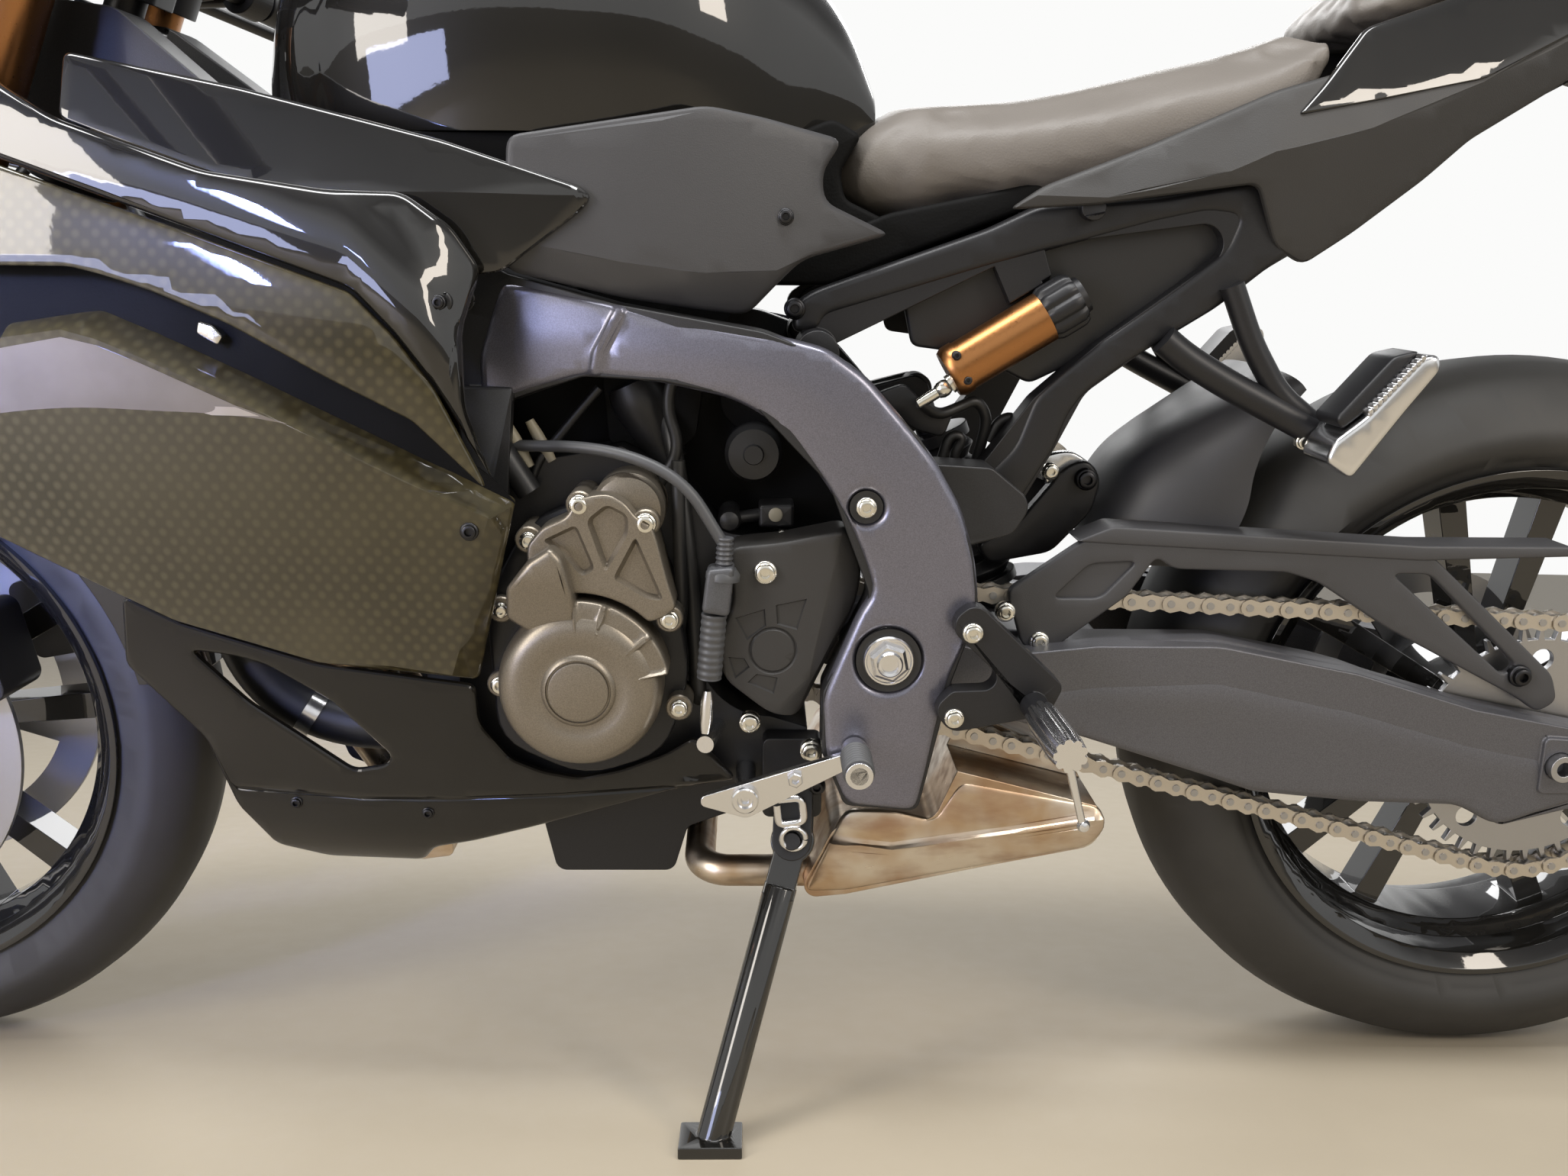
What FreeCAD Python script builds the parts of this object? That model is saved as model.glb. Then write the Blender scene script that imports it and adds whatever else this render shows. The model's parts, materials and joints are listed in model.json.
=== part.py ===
"""A full-fairing sport bike with a twin-beam frame, parked leaning on its side stand.

Bike frame, used for all sizes below: millimetres, origin on the floor line under the rear axle with the
bike upright, +X towards the rear, -Y to the rider's left, +Z up. At the end every piece is leaned over
onto the stand and moved so that the origin lies on the floor under the middle of the whole bike.
"""
import FreeCAD
import Part
import math
import os

Vector = FreeCAD.Vector

# Driving dimensions
WHEELBASE = 1420.0
LEAN = 11.1            # degrees, towards the side stand
RAKE = 22.6            # degrees of the steering axis from upright
TRAIL = 94.0
STEER_LOCK = 27.0      # degrees each way
AXLE_CLEARANCE = 0.1   # radial, running fit of wheels and stem
SEAT_GAP = 0.4         # between a soft piece and what it lies on

# Wheels: 17 inch rims, 120/70 front and 180/55 rear tyres
REAR_R, REAR_HALF = 315.0, 89.0
FRONT_R, FRONT_HALF = 300.0, 60.0
BEAD_R = 217.0
FLANGE_R = 228.0
FLANGE_T = 6.0
BARREL_DROP = 14.0
BARREL_T = 6.0
REAR_BEAD, FRONT_BEAD = 70.0, 45.0
SPOKE_PAIRS = 5
SPOKE_SPREAD_HUB, SPOKE_SPREAD_RIM = 14.0, 13.0   # degrees between the middle of a pair and each spoke
SPOKE_W_HUB, SPOKE_W_RIM = 17.0, 24.0
SPOKE_HALF_DEPTH = 17.0
REAR_AXLE_R, FRONT_AXLE_R = 11.0, 10.0
AXLE_BORE_R = 6.0
REAR_AXLE_END, FRONT_AXLE_END = 158.0, 131.0
REAR_HUB_R, FRONT_HUB_R = 46.0, 34.0
REAR_HUB_END = 62.0
FRONT_DISC_R, REAR_DISC_R = 160.0, 110.0
DISC_T = 5.0
DISC_GAP = 5.0
FRONT_DISC_Y = 72.0
REAR_DISC_Y = 84.0

# Final drive
CHAIN_PITCH = 15.875
REAR_TEETH, FRONT_TEETH = 43, 16
CHAIN_Y = 104.0
CHAIN_HALF = 9.5
CHAIN_PLATE_HALF = 7.5
CHAIN_PLATE_T = 2.0    # how far the outer plates stand out
CHAIN_WAIST = 5.4      # half height of a link between its pins
CHAIN_INNER = 5.0      # from the pitch line in to the rollers' inner side
TOOTH_DEPTH = 10.0
ROLLER_GAP = 0.4
SPROCKET_T = 6.0
PIVOT = (-547.0, 420.0)          # swingarm pivot, side view
DRIVE_SPROCKET = (-632.0, 412.0)

# Frame and swingarm
FRAME_OUTER = 202.0
FRAME_T = 40.0
CROSS_TUBE = (-562.0, 585.0)
TRUSS_OUTER, TRUSS_INNER = 128.0, 104.0
ARM_INNER, ARM_OUTER = 96.0, 148.0
ARM_INNER_REAR, ARM_OUTER_REAR = 122.0, 146.0
BOBBIN_R = 4.0
BOBBIN_DEPTH = 14.0

SHOCK_TOP = (-512.0, -20.0, 600.0)
SPRING_R, SPRING_COILS = 32.0, 7

# Fork and bars
FORK_SPREAD = 105.0
FORK_TUBE_R, FORK_LEG_R = 27.0, 21.5
LOWER_CLAMP = 800.0    # heights along the steering axis
CLAMP_SPREAD = 175.0
CLAMP_T = 26.0
UPPER_CLAMP = LOWER_CLAMP + CLAMP_SPREAD
FORK_TOP, FORK_TUBE_LOW = UPPER_CLAMP + 57, LOWER_CLAMP - 240
CLAMP_GAP = 0.05
STEM_R = 15.0
STEM_HOLE_R = 8.0
STEM_HOLE_DEPTH = 40.0
HEAD_R = 34.0
HEAD_LOW, HEAD_HIGH = LOWER_CLAMP + 18, UPPER_CLAMP - 17
BRAKE_HOSE_R = 5.0
BAR_HALF = 345.0
BAR_R, GRIP_R = 11.0, 16.5
LEVER_REACH = 58.0
AXLE_LUG_R = 25.0
AXLE_LUG_HALF = 19.0
FENDER_GAP = 9.0
FENDER_T = 3.5

# Engine
CRANK = (-773.0, 397.0)
CASE_HALF = 150.0
HEAD_HALF = 90.0
HEAD_TOP = 742.0
PAN_TOP, PAN_HALF, PAN_RIGHT = 300.0, 100.0, 30.0
COVER_FACE, CLUTCH_FACE = 222.0, 212.0
FLANGE_FACE, RIB_FACE = CASE_HALF + 26, CASE_HALF + 54
POCKET_DEPTH = 10.0
STATOR_R, STATOR_CAP_R = 74.0, 26.0
BOLT_BOSS_R = 10.0
OIL_FILTER_R = 33.0
STARTER = (-655.0, 526.0)
STARTER_R = 28.0

# Cooling and cables
RADIATOR_HALF = 165.0
RADIATOR_TANK = 24.0
RADIATOR_LOUVRES = 13
LOUVRE_DEPTH = 5.0
FAN_R = 68.0
LOW_HOSE_R, HIGH_HOSE_R = 19.0, 14.0
BREATHER_R = 4.5
CABLE_R = 4.0

# Body panels
AIRBOX_DEPTH = 48.0
TANK_BASE = HEAD_TOP + AIRBOX_DEPTH
TANK_TOP = TANK_BASE + 222
AIRBOX_HALF = 135.0
PANEL_T = 4.0
HUGGER_HALF = 96.0
HUGGER_GAP = 14.0

# Filler cap
CAP_R = 46.0
CAP_T = 9.0
CAP_GAP = 0.5
CAP_OPEN = 100.0       # degrees
FILLER_R = 24.0

# Stand
STAND_PIVOT = (-614.0, -176.0, 262.0)
STAND_FOOT = (-676.0, -263.0)     # x and leaned y of the foot on the floor
STAND_R = 13.0
STAND_EYE_R = 17.0
STAND_EYE_T = 14.0
STAND_PIN_R = 7.0
STAND_FOLDED = (0.975, -0.16, -0.15)

COS_RAKE, SIN_RAKE = math.cos(math.radians(RAKE)), math.sin(math.radians(RAKE))
COS_LEAN, SIN_LEAN = math.cos(math.radians(LEAN)), math.sin(math.radians(LEAN))
FRONT_AXLE = (-WHEELBASE, FRONT_R)
REAR_AXLE = (0.0, REAR_R)
CAP_CENTRE = Vector(-850, 0, TANK_TOP)
CAP_HINGE = CAP_CENTRE + Vector(-CAP_R - 10, 0, CAP_GAP + CAP_T / 2)
AXLE_ALONG = TRAIL * SIN_RAKE + FRONT_R * COS_RAKE
FORK_AHEAD = -TRAIL * COS_RAKE + FRONT_R * SIN_RAKE


# Shapes from outlines
def outline(points, place):
    """A closed face through (a, b) or (a, b, radius) corners; place turns (a, b) into a Vector."""
    flat = [Vector(p[0], p[1], 0) for p in points]
    radii = [p[2] if len(p) > 2 else 0.0 for p in points]
    count = len(flat)
    starts, ends, mids = [], [], []
    for i in range(count):
        here, before, after = flat[i], flat[i - 1], flat[(i + 1) % count]
        to_before, to_after = before - here, after - here
        room = 0.49 * min(to_before.Length, to_after.Length)
        half = to_before.getAngle(to_after) / 2
        if radii[i] <= 0 or half > math.radians(89):
            starts.append(here)
            ends.append(here)
            mids.append(None)
            continue
        reach = min(radii[i] / math.tan(half), room)
        radius = reach * math.tan(half)
        a = here + to_before.normalize() * reach
        b = here + to_after.normalize() * reach
        middle = (a + b) * 0.5 - here
        mid = here + middle.normalize() * (radius / math.sin(half) - radius)
        starts.append(a)
        ends.append(b)
        mids.append(mid)
    edges = []
    for i in range(count):
        if mids[i] is not None:
            edges.append(Part.Arc(place(starts[i]), place(mids[i]), place(ends[i])).toShape())
        nxt = starts[(i + 1) % count]
        if (nxt - ends[i]).Length > 1e-6:
            edges.append(Part.LineSegment(place(ends[i]), place(nxt)).toShape())
    return Part.Face(Part.Wire(edges))


def side_plate(points, y0, y1):
    """A plate whose outline is seen from the side, (x, z), between two y."""
    return outline(points, lambda p: Vector(p.x, y0, p.y)).extrude(Vector(0, y1 - y0, 0))


def plan_plate(points, z0, z1):
    """A plate whose outline is seen from above, (x, y), between two z."""
    return outline(points, lambda p: Vector(p.x, p.y, z0)).extrude(Vector(0, 0, z1 - z0))


def front_plate(points, x0, x1):
    """A plate whose outline is seen from the front, (y, z), between two x."""
    return outline(points, lambda p: Vector(x0, p.x, p.y)).extrude(Vector(x1 - x0, 0, 0))


def moved(points, origin):
    """Outline points that are given from an origin."""
    return [(p[0] + origin[0], p[1] + origin[1]) + tuple(p[2:]) for p in points]


def both(shape):
    """The shape and its mirror image on the other side of the bike."""
    return [shape, shape.mirror(Vector(0, 0, 0), Vector(0, 1, 0))]


def fuse(shapes):
    whole = shapes[0].multiFuse(shapes[1:]) if len(shapes) > 1 else shapes[0]
    return whole.removeSplitter()


def rod(a, b, radius, end_radius=None):
    """A round bar, or a cone, from a to b."""
    a, b = Vector(a), Vector(b)
    if end_radius is None:
        return Part.makeCylinder(radius, (b - a).Length, a, b - a)
    return Part.makeCone(radius, end_radius, (b - a).Length, a, b - a)


def disc_y(x, z, y0, y1, radius):
    """A round slab on a sideways axis, between two y."""
    low, high = min(y0, y1), max(y0, y1)
    return Part.makeCylinder(radius, high - low, Vector(x, low, z), Vector(0, 1, 0))


def bent_rod(points, radius, bend):
    """A round bar along points, with arcs of one bend radius at the corners."""
    pts = [Vector(p) for p in points]
    edges, start = [], pts[0]
    for i in range(1, len(pts) - 1):
        here = pts[i]
        back, ahead = pts[i - 1] - here, pts[i + 1] - here
        half = back.getAngle(ahead) / 2
        reach = min(bend / math.tan(half), 0.49 * back.Length, 0.49 * ahead.Length)
        turn = reach * math.tan(half)
        a = here + back.normalize() * reach
        b = here + ahead.normalize() * reach
        middle = ((a + b) * 0.5 - here).normalize()
        mid = here + middle * (turn / math.sin(half) - turn)
        if (a - start).Length > 1e-6:
            edges.append(Part.LineSegment(start, a).toShape())
        edges.append(Part.Arc(a, mid, b).toShape())
        start = b
    edges.append(Part.LineSegment(start, pts[-1]).toShape())
    path = Part.Wire(edges)
    ring = Part.Wire(Part.makeCircle(radius, pts[0], pts[1] - pts[0]))
    return path.makePipeShell([ring], True, True)


def turned(profile, x, z):
    """A ring turned about the sideways axis through (x, z) from (y, radius) corners."""
    face = outline(profile, lambda p: Vector(x, p.x, z + p.y))
    return face.revolve(Vector(x, 0, z), Vector(0, 1, 0), 360)


def fork(along, ahead, side):
    """A point by its height along the steering axis, its reach ahead of it and its side."""
    return Vector(-WHEELBASE - TRAIL + along * SIN_RAKE - ahead * COS_RAKE, side,
                  along * COS_RAKE + ahead * SIN_RAKE)


# Wheels
CROWN_SHARES = (-0.68, -0.34, 0.0, 0.34, 0.68)   # corners of the crown as shares of the half width


def crown_sag(share):
    """How far the crown has dropped at a share of the half width, in half widths."""
    return 0.82 * (1 - math.sqrt(1 - (share * 0.94) ** 2))


def tyre(x, z, radius, half, bead):
    """A tubeless tyre: bead, bulging side wall and round crown in chords."""
    crown = radius - half * 0.60
    profile = [(-bead, BEAD_R), (-bead, FLANGE_R + 1), (-half, crown - half * 0.16), (-half * 0.965,
                                                                                      crown + 2)]
    for share in CROWN_SHARES:
        profile.append((share * half, radius - crown_sag(share) * half))
    profile += [(half * 0.965, crown + 2), (half, crown - half * 0.16), (bead, FLANGE_R + 1), (bead, BEAD_R)]
    profile += [(bead * 0.8, BEAD_R), (half * 0.8, crown - 6), (-half * 0.8, crown - 6), (-bead * 0.8,
                                                                                          BEAD_R)]
    return turned(profile, x, z)


def rim(x, z, bead, hub_r, hub_end, bore_r):
    """A cast rim: drop-centre barrel, hub and paired spokes."""
    out, drop = bead + FLANGE_T, BEAD_R - BARREL_DROP
    barrel = turned([(-out, FLANGE_R), (-bead, FLANGE_R), (-bead, BEAD_R), (-bead * 0.62, BEAD_R - 2),
                     (-bead * 0.45, drop), (bead * 0.45, drop), (bead * 0.62, BEAD_R - 2), (bead, BEAD_R),
                     (bead, FLANGE_R), (out, FLANGE_R), (out, FLANGE_R - 5), (bead * 0.95,
                                                                              BEAD_R - BARREL_T),
                     (bead * 0.6, BEAD_R - BARREL_T - 2), (bead * 0.42, drop - BARREL_T), (-bead * 0.42,
                                                                                           drop - BARREL_T),
                     (-bead * 0.6, BEAD_R - BARREL_T - 2), (-bead * 0.95, BEAD_R - BARREL_T),
                     (-out, FLANGE_R - 5)], x, z)
    hub = disc_y(x, z, -hub_end, hub_end, hub_r)
    r0, r1 = hub_r - 6, drop - BARREL_T + 2
    spokes = []
    for pair in range(SPOKE_PAIRS):
        for side in (-1, 1):
            a0 = math.radians(pair * 360 / SPOKE_PAIRS + 90 + side * SPOKE_SPREAD_HUB)
            a1 = math.radians(pair * 360 / SPOKE_PAIRS + 90 + side * SPOKE_SPREAD_RIM)
            p = Vector(math.cos(a0), math.sin(a0), 0) * r0
            q = Vector(math.cos(a1), math.sin(a1), 0) * r1
            across = Vector(-(q - p).y, (q - p).x, 0).normalize()
            corners = [p + across * SPOKE_W_HUB / 2, q + across * SPOKE_W_RIM / 2,
                       q - across * SPOKE_W_RIM / 2, p - across * SPOKE_W_HUB / 2]
            spokes.append(side_plate([(x + c.x, z + c.y) for c in corners], -SPOKE_HALF_DEPTH,
                                     SPOKE_HALF_DEPTH))
    whole = fuse([barrel, hub] + spokes)
    return whole.cut(disc_y(x, z, -hub_end - 1, hub_end + 1, bore_r))


def brake_disc(x, z, y, radius, carrier_r, bore, hub_end):
    """A disc with its band and a carrier of five arms."""
    band = disc_y(x, z, y - DISC_T / 2, y + DISC_T / 2, radius)
    band = band.cut(disc_y(x, z, y - DISC_T, y + DISC_T, radius * 0.78))
    arms = [disc_y(x, z, y - DISC_T / 2, y + DISC_T / 2, carrier_r)]
    for i in range(5):
        a = math.radians(i * 72 + 54)
        c, s = math.cos(a), math.sin(a)
        reach, half = radius * 0.80, 11.0
        corners = [(x - s * half, z + c * half), (x + c * reach - s * half, z + s * reach + c * half),
                   (x + c * reach + s * half, z + s * reach - c * half), (x + s * half, z - c * half)]
        arms.append(side_plate(corners, y - DISC_T / 2, y + DISC_T / 2))
    boss = disc_y(x, z, hub_end, y, 38)
    return fuse([band, boss] + arms).cut(disc_y(x, z, -200, 200, bore))


def chain_pitch_radius(teeth):
    return CHAIN_PITCH / (2 * math.sin(math.pi / teeth))


REAR_PITCH_R = chain_pitch_radius(REAR_TEETH)
FRONT_PITCH_R = chain_pitch_radius(FRONT_TEETH)


SPAN_X, SPAN_Z = REAR_AXLE[0] - DRIVE_SPROCKET[0], REAR_AXLE[1] - DRIVE_SPROCKET[1]
CHAIN_SPAN = math.hypot(SPAN_X, SPAN_Z)
CHAIN_TILT = math.atan2(SPAN_Z, SPAN_X)
CHAIN_OPENS = math.acos((FRONT_PITCH_R - REAR_PITCH_R) / CHAIN_SPAN)
CHAIN_UP = CHAIN_TILT + CHAIN_OPENS      # the angles at which the runs leave the sprockets
CHAIN_DOWN = CHAIN_TILT - CHAIN_OPENS


def on_sprocket(centre, radius, angle):
    return Vector(centre[0] + radius * math.cos(angle), 0, centre[1] + radius * math.sin(angle))


def chain_loop(offset):
    """The belt line round both sprockets, pushed outwards by offset: two straight runs and two arcs."""
    big, small = REAR_PITCH_R + offset, FRONT_PITCH_R + offset
    top = [on_sprocket(DRIVE_SPROCKET, small, CHAIN_UP), on_sprocket(REAR_AXLE, big, CHAIN_UP)]
    low = [on_sprocket(REAR_AXLE, big, CHAIN_DOWN), on_sprocket(DRIVE_SPROCKET, small, CHAIN_DOWN)]
    edges = [Part.LineSegment(top[0], top[1]).toShape(),
             Part.Arc(top[1], on_sprocket(REAR_AXLE, big, CHAIN_TILT), low[0]).toShape(),
             Part.LineSegment(low[0], low[1]).toShape(),
             Part.Arc(low[1], on_sprocket(DRIVE_SPROCKET, small, CHAIN_TILT + math.pi), top[0]).toShape()]
    return Part.Face(Part.Wire(edges))


def chain_pins():
    """The pins one pitch apart round the loop: (place, outward direction), an even number of them."""
    run = math.sqrt(CHAIN_SPAN ** 2 - (REAR_PITCH_R - FRONT_PITCH_R) ** 2)
    rear_wrap = CHAIN_UP - CHAIN_DOWN
    # centre, radius, angle, length, whether on a sprocket
    legs = [(DRIVE_SPROCKET, FRONT_PITCH_R, CHAIN_UP, run, False),
            (REAR_AXLE, REAR_PITCH_R, CHAIN_UP, REAR_PITCH_R * rear_wrap, True),
            (REAR_AXLE, REAR_PITCH_R, CHAIN_DOWN, run, False),
            (DRIVE_SPROCKET, FRONT_PITCH_R, CHAIN_DOWN, FRONT_PITCH_R * (2 * math.pi - rear_wrap), True)]
    total = sum(leg[3] for leg in legs)
    count = 2 * round(total / CHAIN_PITCH / 2)
    pins = []
    for i in range(count):
        along = total * i / count
        leg = 0
        while along >= legs[leg][3]:
            along -= legs[leg][3]
            leg += 1
        centre, radius, angle, _, curved = legs[leg]
        if curved:
            angle -= along / radius
            along = 0.0
        outward = Vector(math.cos(angle), 0, math.sin(angle))
        ahead = Vector(math.sin(angle), 0, -math.cos(angle))
        pins.append((on_sprocket(centre, radius, angle) + ahead * along, outward))
    return pins


def chain():
    """The drive chain as one fixed loop of waisted links; every second link has raised outer plates."""
    pins = chain_pins()
    edge = []
    for i, (pin, outward) in enumerate(pins):
        after, turned_out = pins[(i + 1) % len(pins)]
        edge.append(pin + outward * CHAIN_PLATE_HALF)
        edge.append((pin + after) * 0.5 + (outward + turned_out).normalize() * CHAIN_WAIST)
    inner_half = CHAIN_HALF - CHAIN_PLATE_T
    loop = Part.Face(Part.makePolygon(edge + edge[:1])).cut(chain_loop(-CHAIN_INNER))
    loop = loop.extrude(Vector(0, 2 * inner_half, 0))
    loop.translate(Vector(0, -CHAIN_Y - inner_half, 0))
    plates = []
    for i in range(0, len(pins), 2):
        pin, after = pins[i][0], pins[i + 1][0]
        ahead = (after - pin).normalize()
        up = Vector(-ahead.z, 0, ahead.x)
        high, tip = up * (CHAIN_PLATE_HALF - 0.6), ahead * CHAIN_PITCH * 0.40
        corners = [pin - tip, pin + high, after + high, after + tip, after - high, pin - high]
        for low in (-CHAIN_Y - CHAIN_HALF, -CHAIN_Y + inner_half - 1):
            base = [c + Vector(0, low, 0) for c in corners]
            plates.append(Part.Face(Part.makePolygon(base + base[:1])).extrude(Vector(0, CHAIN_PLATE_T + 1,
                                                                                      0)))
    return loop.multiFuse(plates)


def toothed(centre, teeth, pitch_r):
    """A sprocket's plate: short teeth that reach just under the chain's rollers."""
    tip = pitch_r - CHAIN_INNER - ROLLER_GAP
    root = tip - TOOTH_DEPTH
    corners = []
    for i in range(teeth):
        for share, radius in ((-0.5, root), (-0.2, root), (-0.08, tip), (0.08, tip), (0.2, root)):
            corner = on_sprocket(centre, radius, 2 * math.pi * (i + share) / teeth)
            corners.append((corner.x, corner.z))
    return side_plate(corners, -CHAIN_Y - SPROCKET_T / 2, -CHAIN_Y + SPROCKET_T / 2)


def sprocket():
    """The rear sprocket: toothed plate with five bolt holes on a carrier that meets the hub."""
    carrier = disc_y(0, REAR_R, -CHAIN_Y + SPROCKET_T / 2, -REAR_HUB_END, 62)
    centre = fuse([toothed(REAR_AXLE, REAR_TEETH, REAR_PITCH_R), carrier])
    for i in range(5):
        hole = on_sprocket(REAR_AXLE, 76, math.radians(i * 72 + 18))
        centre = centre.cut(disc_y(hole.x, hole.z, -CHAIN_Y - SPROCKET_T, -CHAIN_Y + SPROCKET_T, 9))
    return centre.cut(disc_y(0, REAR_R, -CHAIN_Y - SPROCKET_T, 1 - REAR_HUB_END,
                             REAR_AXLE_R + AXLE_CLEARANCE))


def drive_sprocket():
    """The small sprocket inside the chain's front bend, on its shaft out of the crankcase."""
    x, z = DRIVE_SPROCKET
    shaft = disc_y(x, z, -CHAIN_Y - 12, -CHAIN_Y + CHAIN_HALF + 5, 16)
    return fuse([toothed(DRIVE_SPROCKET, FRONT_TEETH, FRONT_PITCH_R), shaft])


# Frame, swingarm and engine
HEAD_FOOT, HEAD_CROWN = fork(HEAD_LOW, 0, 0), fork(HEAD_HIGH, 0, 0)
FRAME_SIDE = [(-820, 692, 20), (-742, 672), (-640, 655, 60), (-575, 632, 60), (-525, 578, 60), (-488, 505,
                                                                                                40),
              (-480, 455, 20), (-498, 400, 20), (-508, 352, 10), (-520, 297, 8), (-576, 302, 8), (-594, 345,
                                                                                                  10),
              (-594, 392, 15), (-560, 465, 20), (-592, 548, 40), (-650, 608, 40), (-711, 619, 30),
              (-768, 621, 20), (-844, 594, 10), (-1000, 640, 40), (HEAD_FOOT.x + 40, HEAD_FOOT.z + 10),
              (HEAD_FOOT.x - 15, HEAD_FOOT.z + 35), (HEAD_CROWN.x - 39, HEAD_CROWN.z + 6),
              (HEAD_CROWN.x + 26, HEAD_CROWN.z - 4, 30), (-980, 770, 60)]
MOUNT_BOLT = (-565.0, 532.0)
MOUNT_RECESS_R, MOUNT_RECESS_DEPTH = 15.0, 8.0
FRAME_PLAN_OUT = [(-440, -198), (-620, -202), (-700, -192), (-820, -168), (-1000, -112), (-1150, -62),
                  (-1230, -48)]


def frame_beam():
    """One beam: its side outline kept within a band that narrows towards the steering head."""
    inner = [(x, y + FRAME_T) for x, y in reversed(FRAME_PLAN_OUT)]
    inner[0], inner[1] = (-1230, 0), (-1150, -10)
    band = plan_plate(FRAME_PLAN_OUT + inner, 200, 1000)
    beam = side_plate(FRAME_SIDE, -260, 0).common(band)
    beam = beam.cut(rod(fork(700, 0, 0), fork(1100, 0, 0), HEAD_R))
    tab = side_plate([(-540, 560), (-470, 556, 12), (-438, 530, 14), (-452, 506, 14), (-510, 490)],
                     -FRAME_OUTER + FRAME_T - 8, -TRUSS_OUTER)
    recess = disc_y(MOUNT_BOLT[0], MOUNT_BOLT[1], -260, -FRAME_OUTER + MOUNT_RECESS_DEPTH, MOUNT_RECESS_R)
    return fuse([beam, tab]).cut([disc_y(PIVOT[0], PIVOT[1], -260, 0, 24), recess])


def panel_bosses():
    """Posts on the left beam that reach out to the fairing's screws."""
    lug = side_plate([(-862, 612), (-820, 612), (-828, 510, 8), (-852, 510, 8)], -172, -158)
    posts = [disc_y(x, z, -250, y, 8) for x, z, y in ((-840, 520, -160), (-855, 674, -150), (-948, 668,
                                                                                             -115),
                                                      (-1120, 780, -60))]
    return [lug] + posts


def cross_member():
    """Tube between the beams behind the engine, with the ears that carry the shock absorber."""
    x, z = CROSS_TUBE
    reach = FRAME_OUTER - FRAME_T
    ears = [side_plate([(x, z + 15), (SHOCK_TOP[0], SHOCK_TOP[2] + 13, 12), (SHOCK_TOP[0] + 14,
                                                                             SHOCK_TOP[2], 12),
                        (SHOCK_TOP[0], SHOCK_TOP[2] - 13, 12), (x, z - 15)], y,
                       y + 9) for y in (SHOCK_TOP[1] - 21, SHOCK_TOP[1] + 12)]
    return [disc_y(x, z, -reach, reach, 17)] + ears


def frame():
    """The welded frame: two beams, the steering head and the cross member."""
    left = fuse([frame_beam()] + panel_bosses())
    return fuse(both(left) + [steering_head()] + cross_member())


def steering_head():
    tube = rod(fork(HEAD_LOW, 0, 0), fork(HEAD_HIGH, 0, 0), HEAD_R)
    return tube.cut(rod(fork(HEAD_LOW - 5, 0, 0), fork(HEAD_HIGH + 5, 0, 0), STEM_R + AXLE_CLEARANCE))


def pivot_shaft():
    """The swingarm pivot bolt with its large nuts, seated in the frame's bores."""
    shaft = disc_y(PIVOT[0], PIVOT[1], -196, 196, 12)
    nuts = [disc_y(PIVOT[0], PIVOT[1], -204, -178, 23.9), disc_y(PIVOT[0], PIVOT[1], 178, 204, 23.9)]
    return fuse([shaft] + nuts)


ARM_FRONT = [(-38, 0, 30), (-13, 16, 20), (93, -15, 20), (170, -7, 60)]      # from the pivot: x, z, radius
ARM_REAR_TOP = [(-280, 98, 80), (-170, 76), (-71, 46), (48, 23, 12)]         # from the rear axle
ARM_REAR_LOW = [(48, -30, 12), (-38, -53, 12), (-76, -35), (-155, -32, 40), (-244, -23, 40), (-314, 1)]
ARM_FRONT_LOW = [(155, -79), (67, -60, 30), (-13, -35, 30)]
BOBBIN = (-30.0, REAR_R - 15)


def swing_arm():
    """One arm of the swingarm, with the axle's adjuster plate and the stand bobbin hole."""
    band = plan_plate([(-600, -ARM_OUTER), (-200, -ARM_OUTER), (-90, -ARM_OUTER_REAR),
                       (60, -ARM_OUTER_REAR), (60, -ARM_INNER_REAR), (-120, -ARM_INNER_REAR),
                       (-190, -ARM_INNER), (-600, -ARM_INNER)], REAR_R - 115, REAR_R + 185)
    rear = moved(ARM_REAR_TOP + ARM_REAR_LOW, REAR_AXLE)
    side = moved(ARM_FRONT, PIVOT) + rear + moved(ARM_FRONT_LOW, PIVOT)
    arm = side_plate(side, -200, 0).common(band)
    plate = side_plate([(-14, REAR_R - 24, 5), (44, REAR_R - 24, 5), (44, REAR_R + 20, 5),
                        (-14, REAR_R + 24, 5)], -ARM_OUTER_REAR - 4, -ARM_OUTER_REAR + 1)
    arm = fuse([arm, plate]).cut(disc_y(PIVOT[0], PIVOT[1], -200, 0, 12))
    arm = arm.cut(disc_y(0, REAR_R, -200, 0, REAR_AXLE_R))
    return arm.cut(disc_y(BOBBIN[0], BOBBIN[1], -200, -ARM_OUTER_REAR + BOBBIN_DEPTH, BOBBIN_R))


def swing_bridge():
    """The cross member between the arms, ahead of the tyre."""
    return side_plate([(-530, 442, 10), (-440, 412, 20), (-352, 404, 20), (-346, 350, 20), (-430, 352, 20),
                       (-530, 398, 10)], -ARM_INNER, ARM_INNER).cut(disc_y(PIVOT[0], PIVOT[1], -300, 300,
                                                                           12))


ENGINE_SIDE = [(-880, 320, 30), (-868, 440, 20), (-900, 560, 10), (-935, HEAD_TOP - 42, 20),
               (-812, HEAD_TOP, 20), (-770, 580, 20), (-705, 548, 30), (-668, 502, 20), (-606, 494, 20),
               (-590, 450, 20), (-602, 380, 20), (-604, 300, 20), (-640, 262, 20), (-700, 240, 10),
               (-712, 200, 10), (-810, 200, 10), (-820, 245, 10)]


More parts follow.
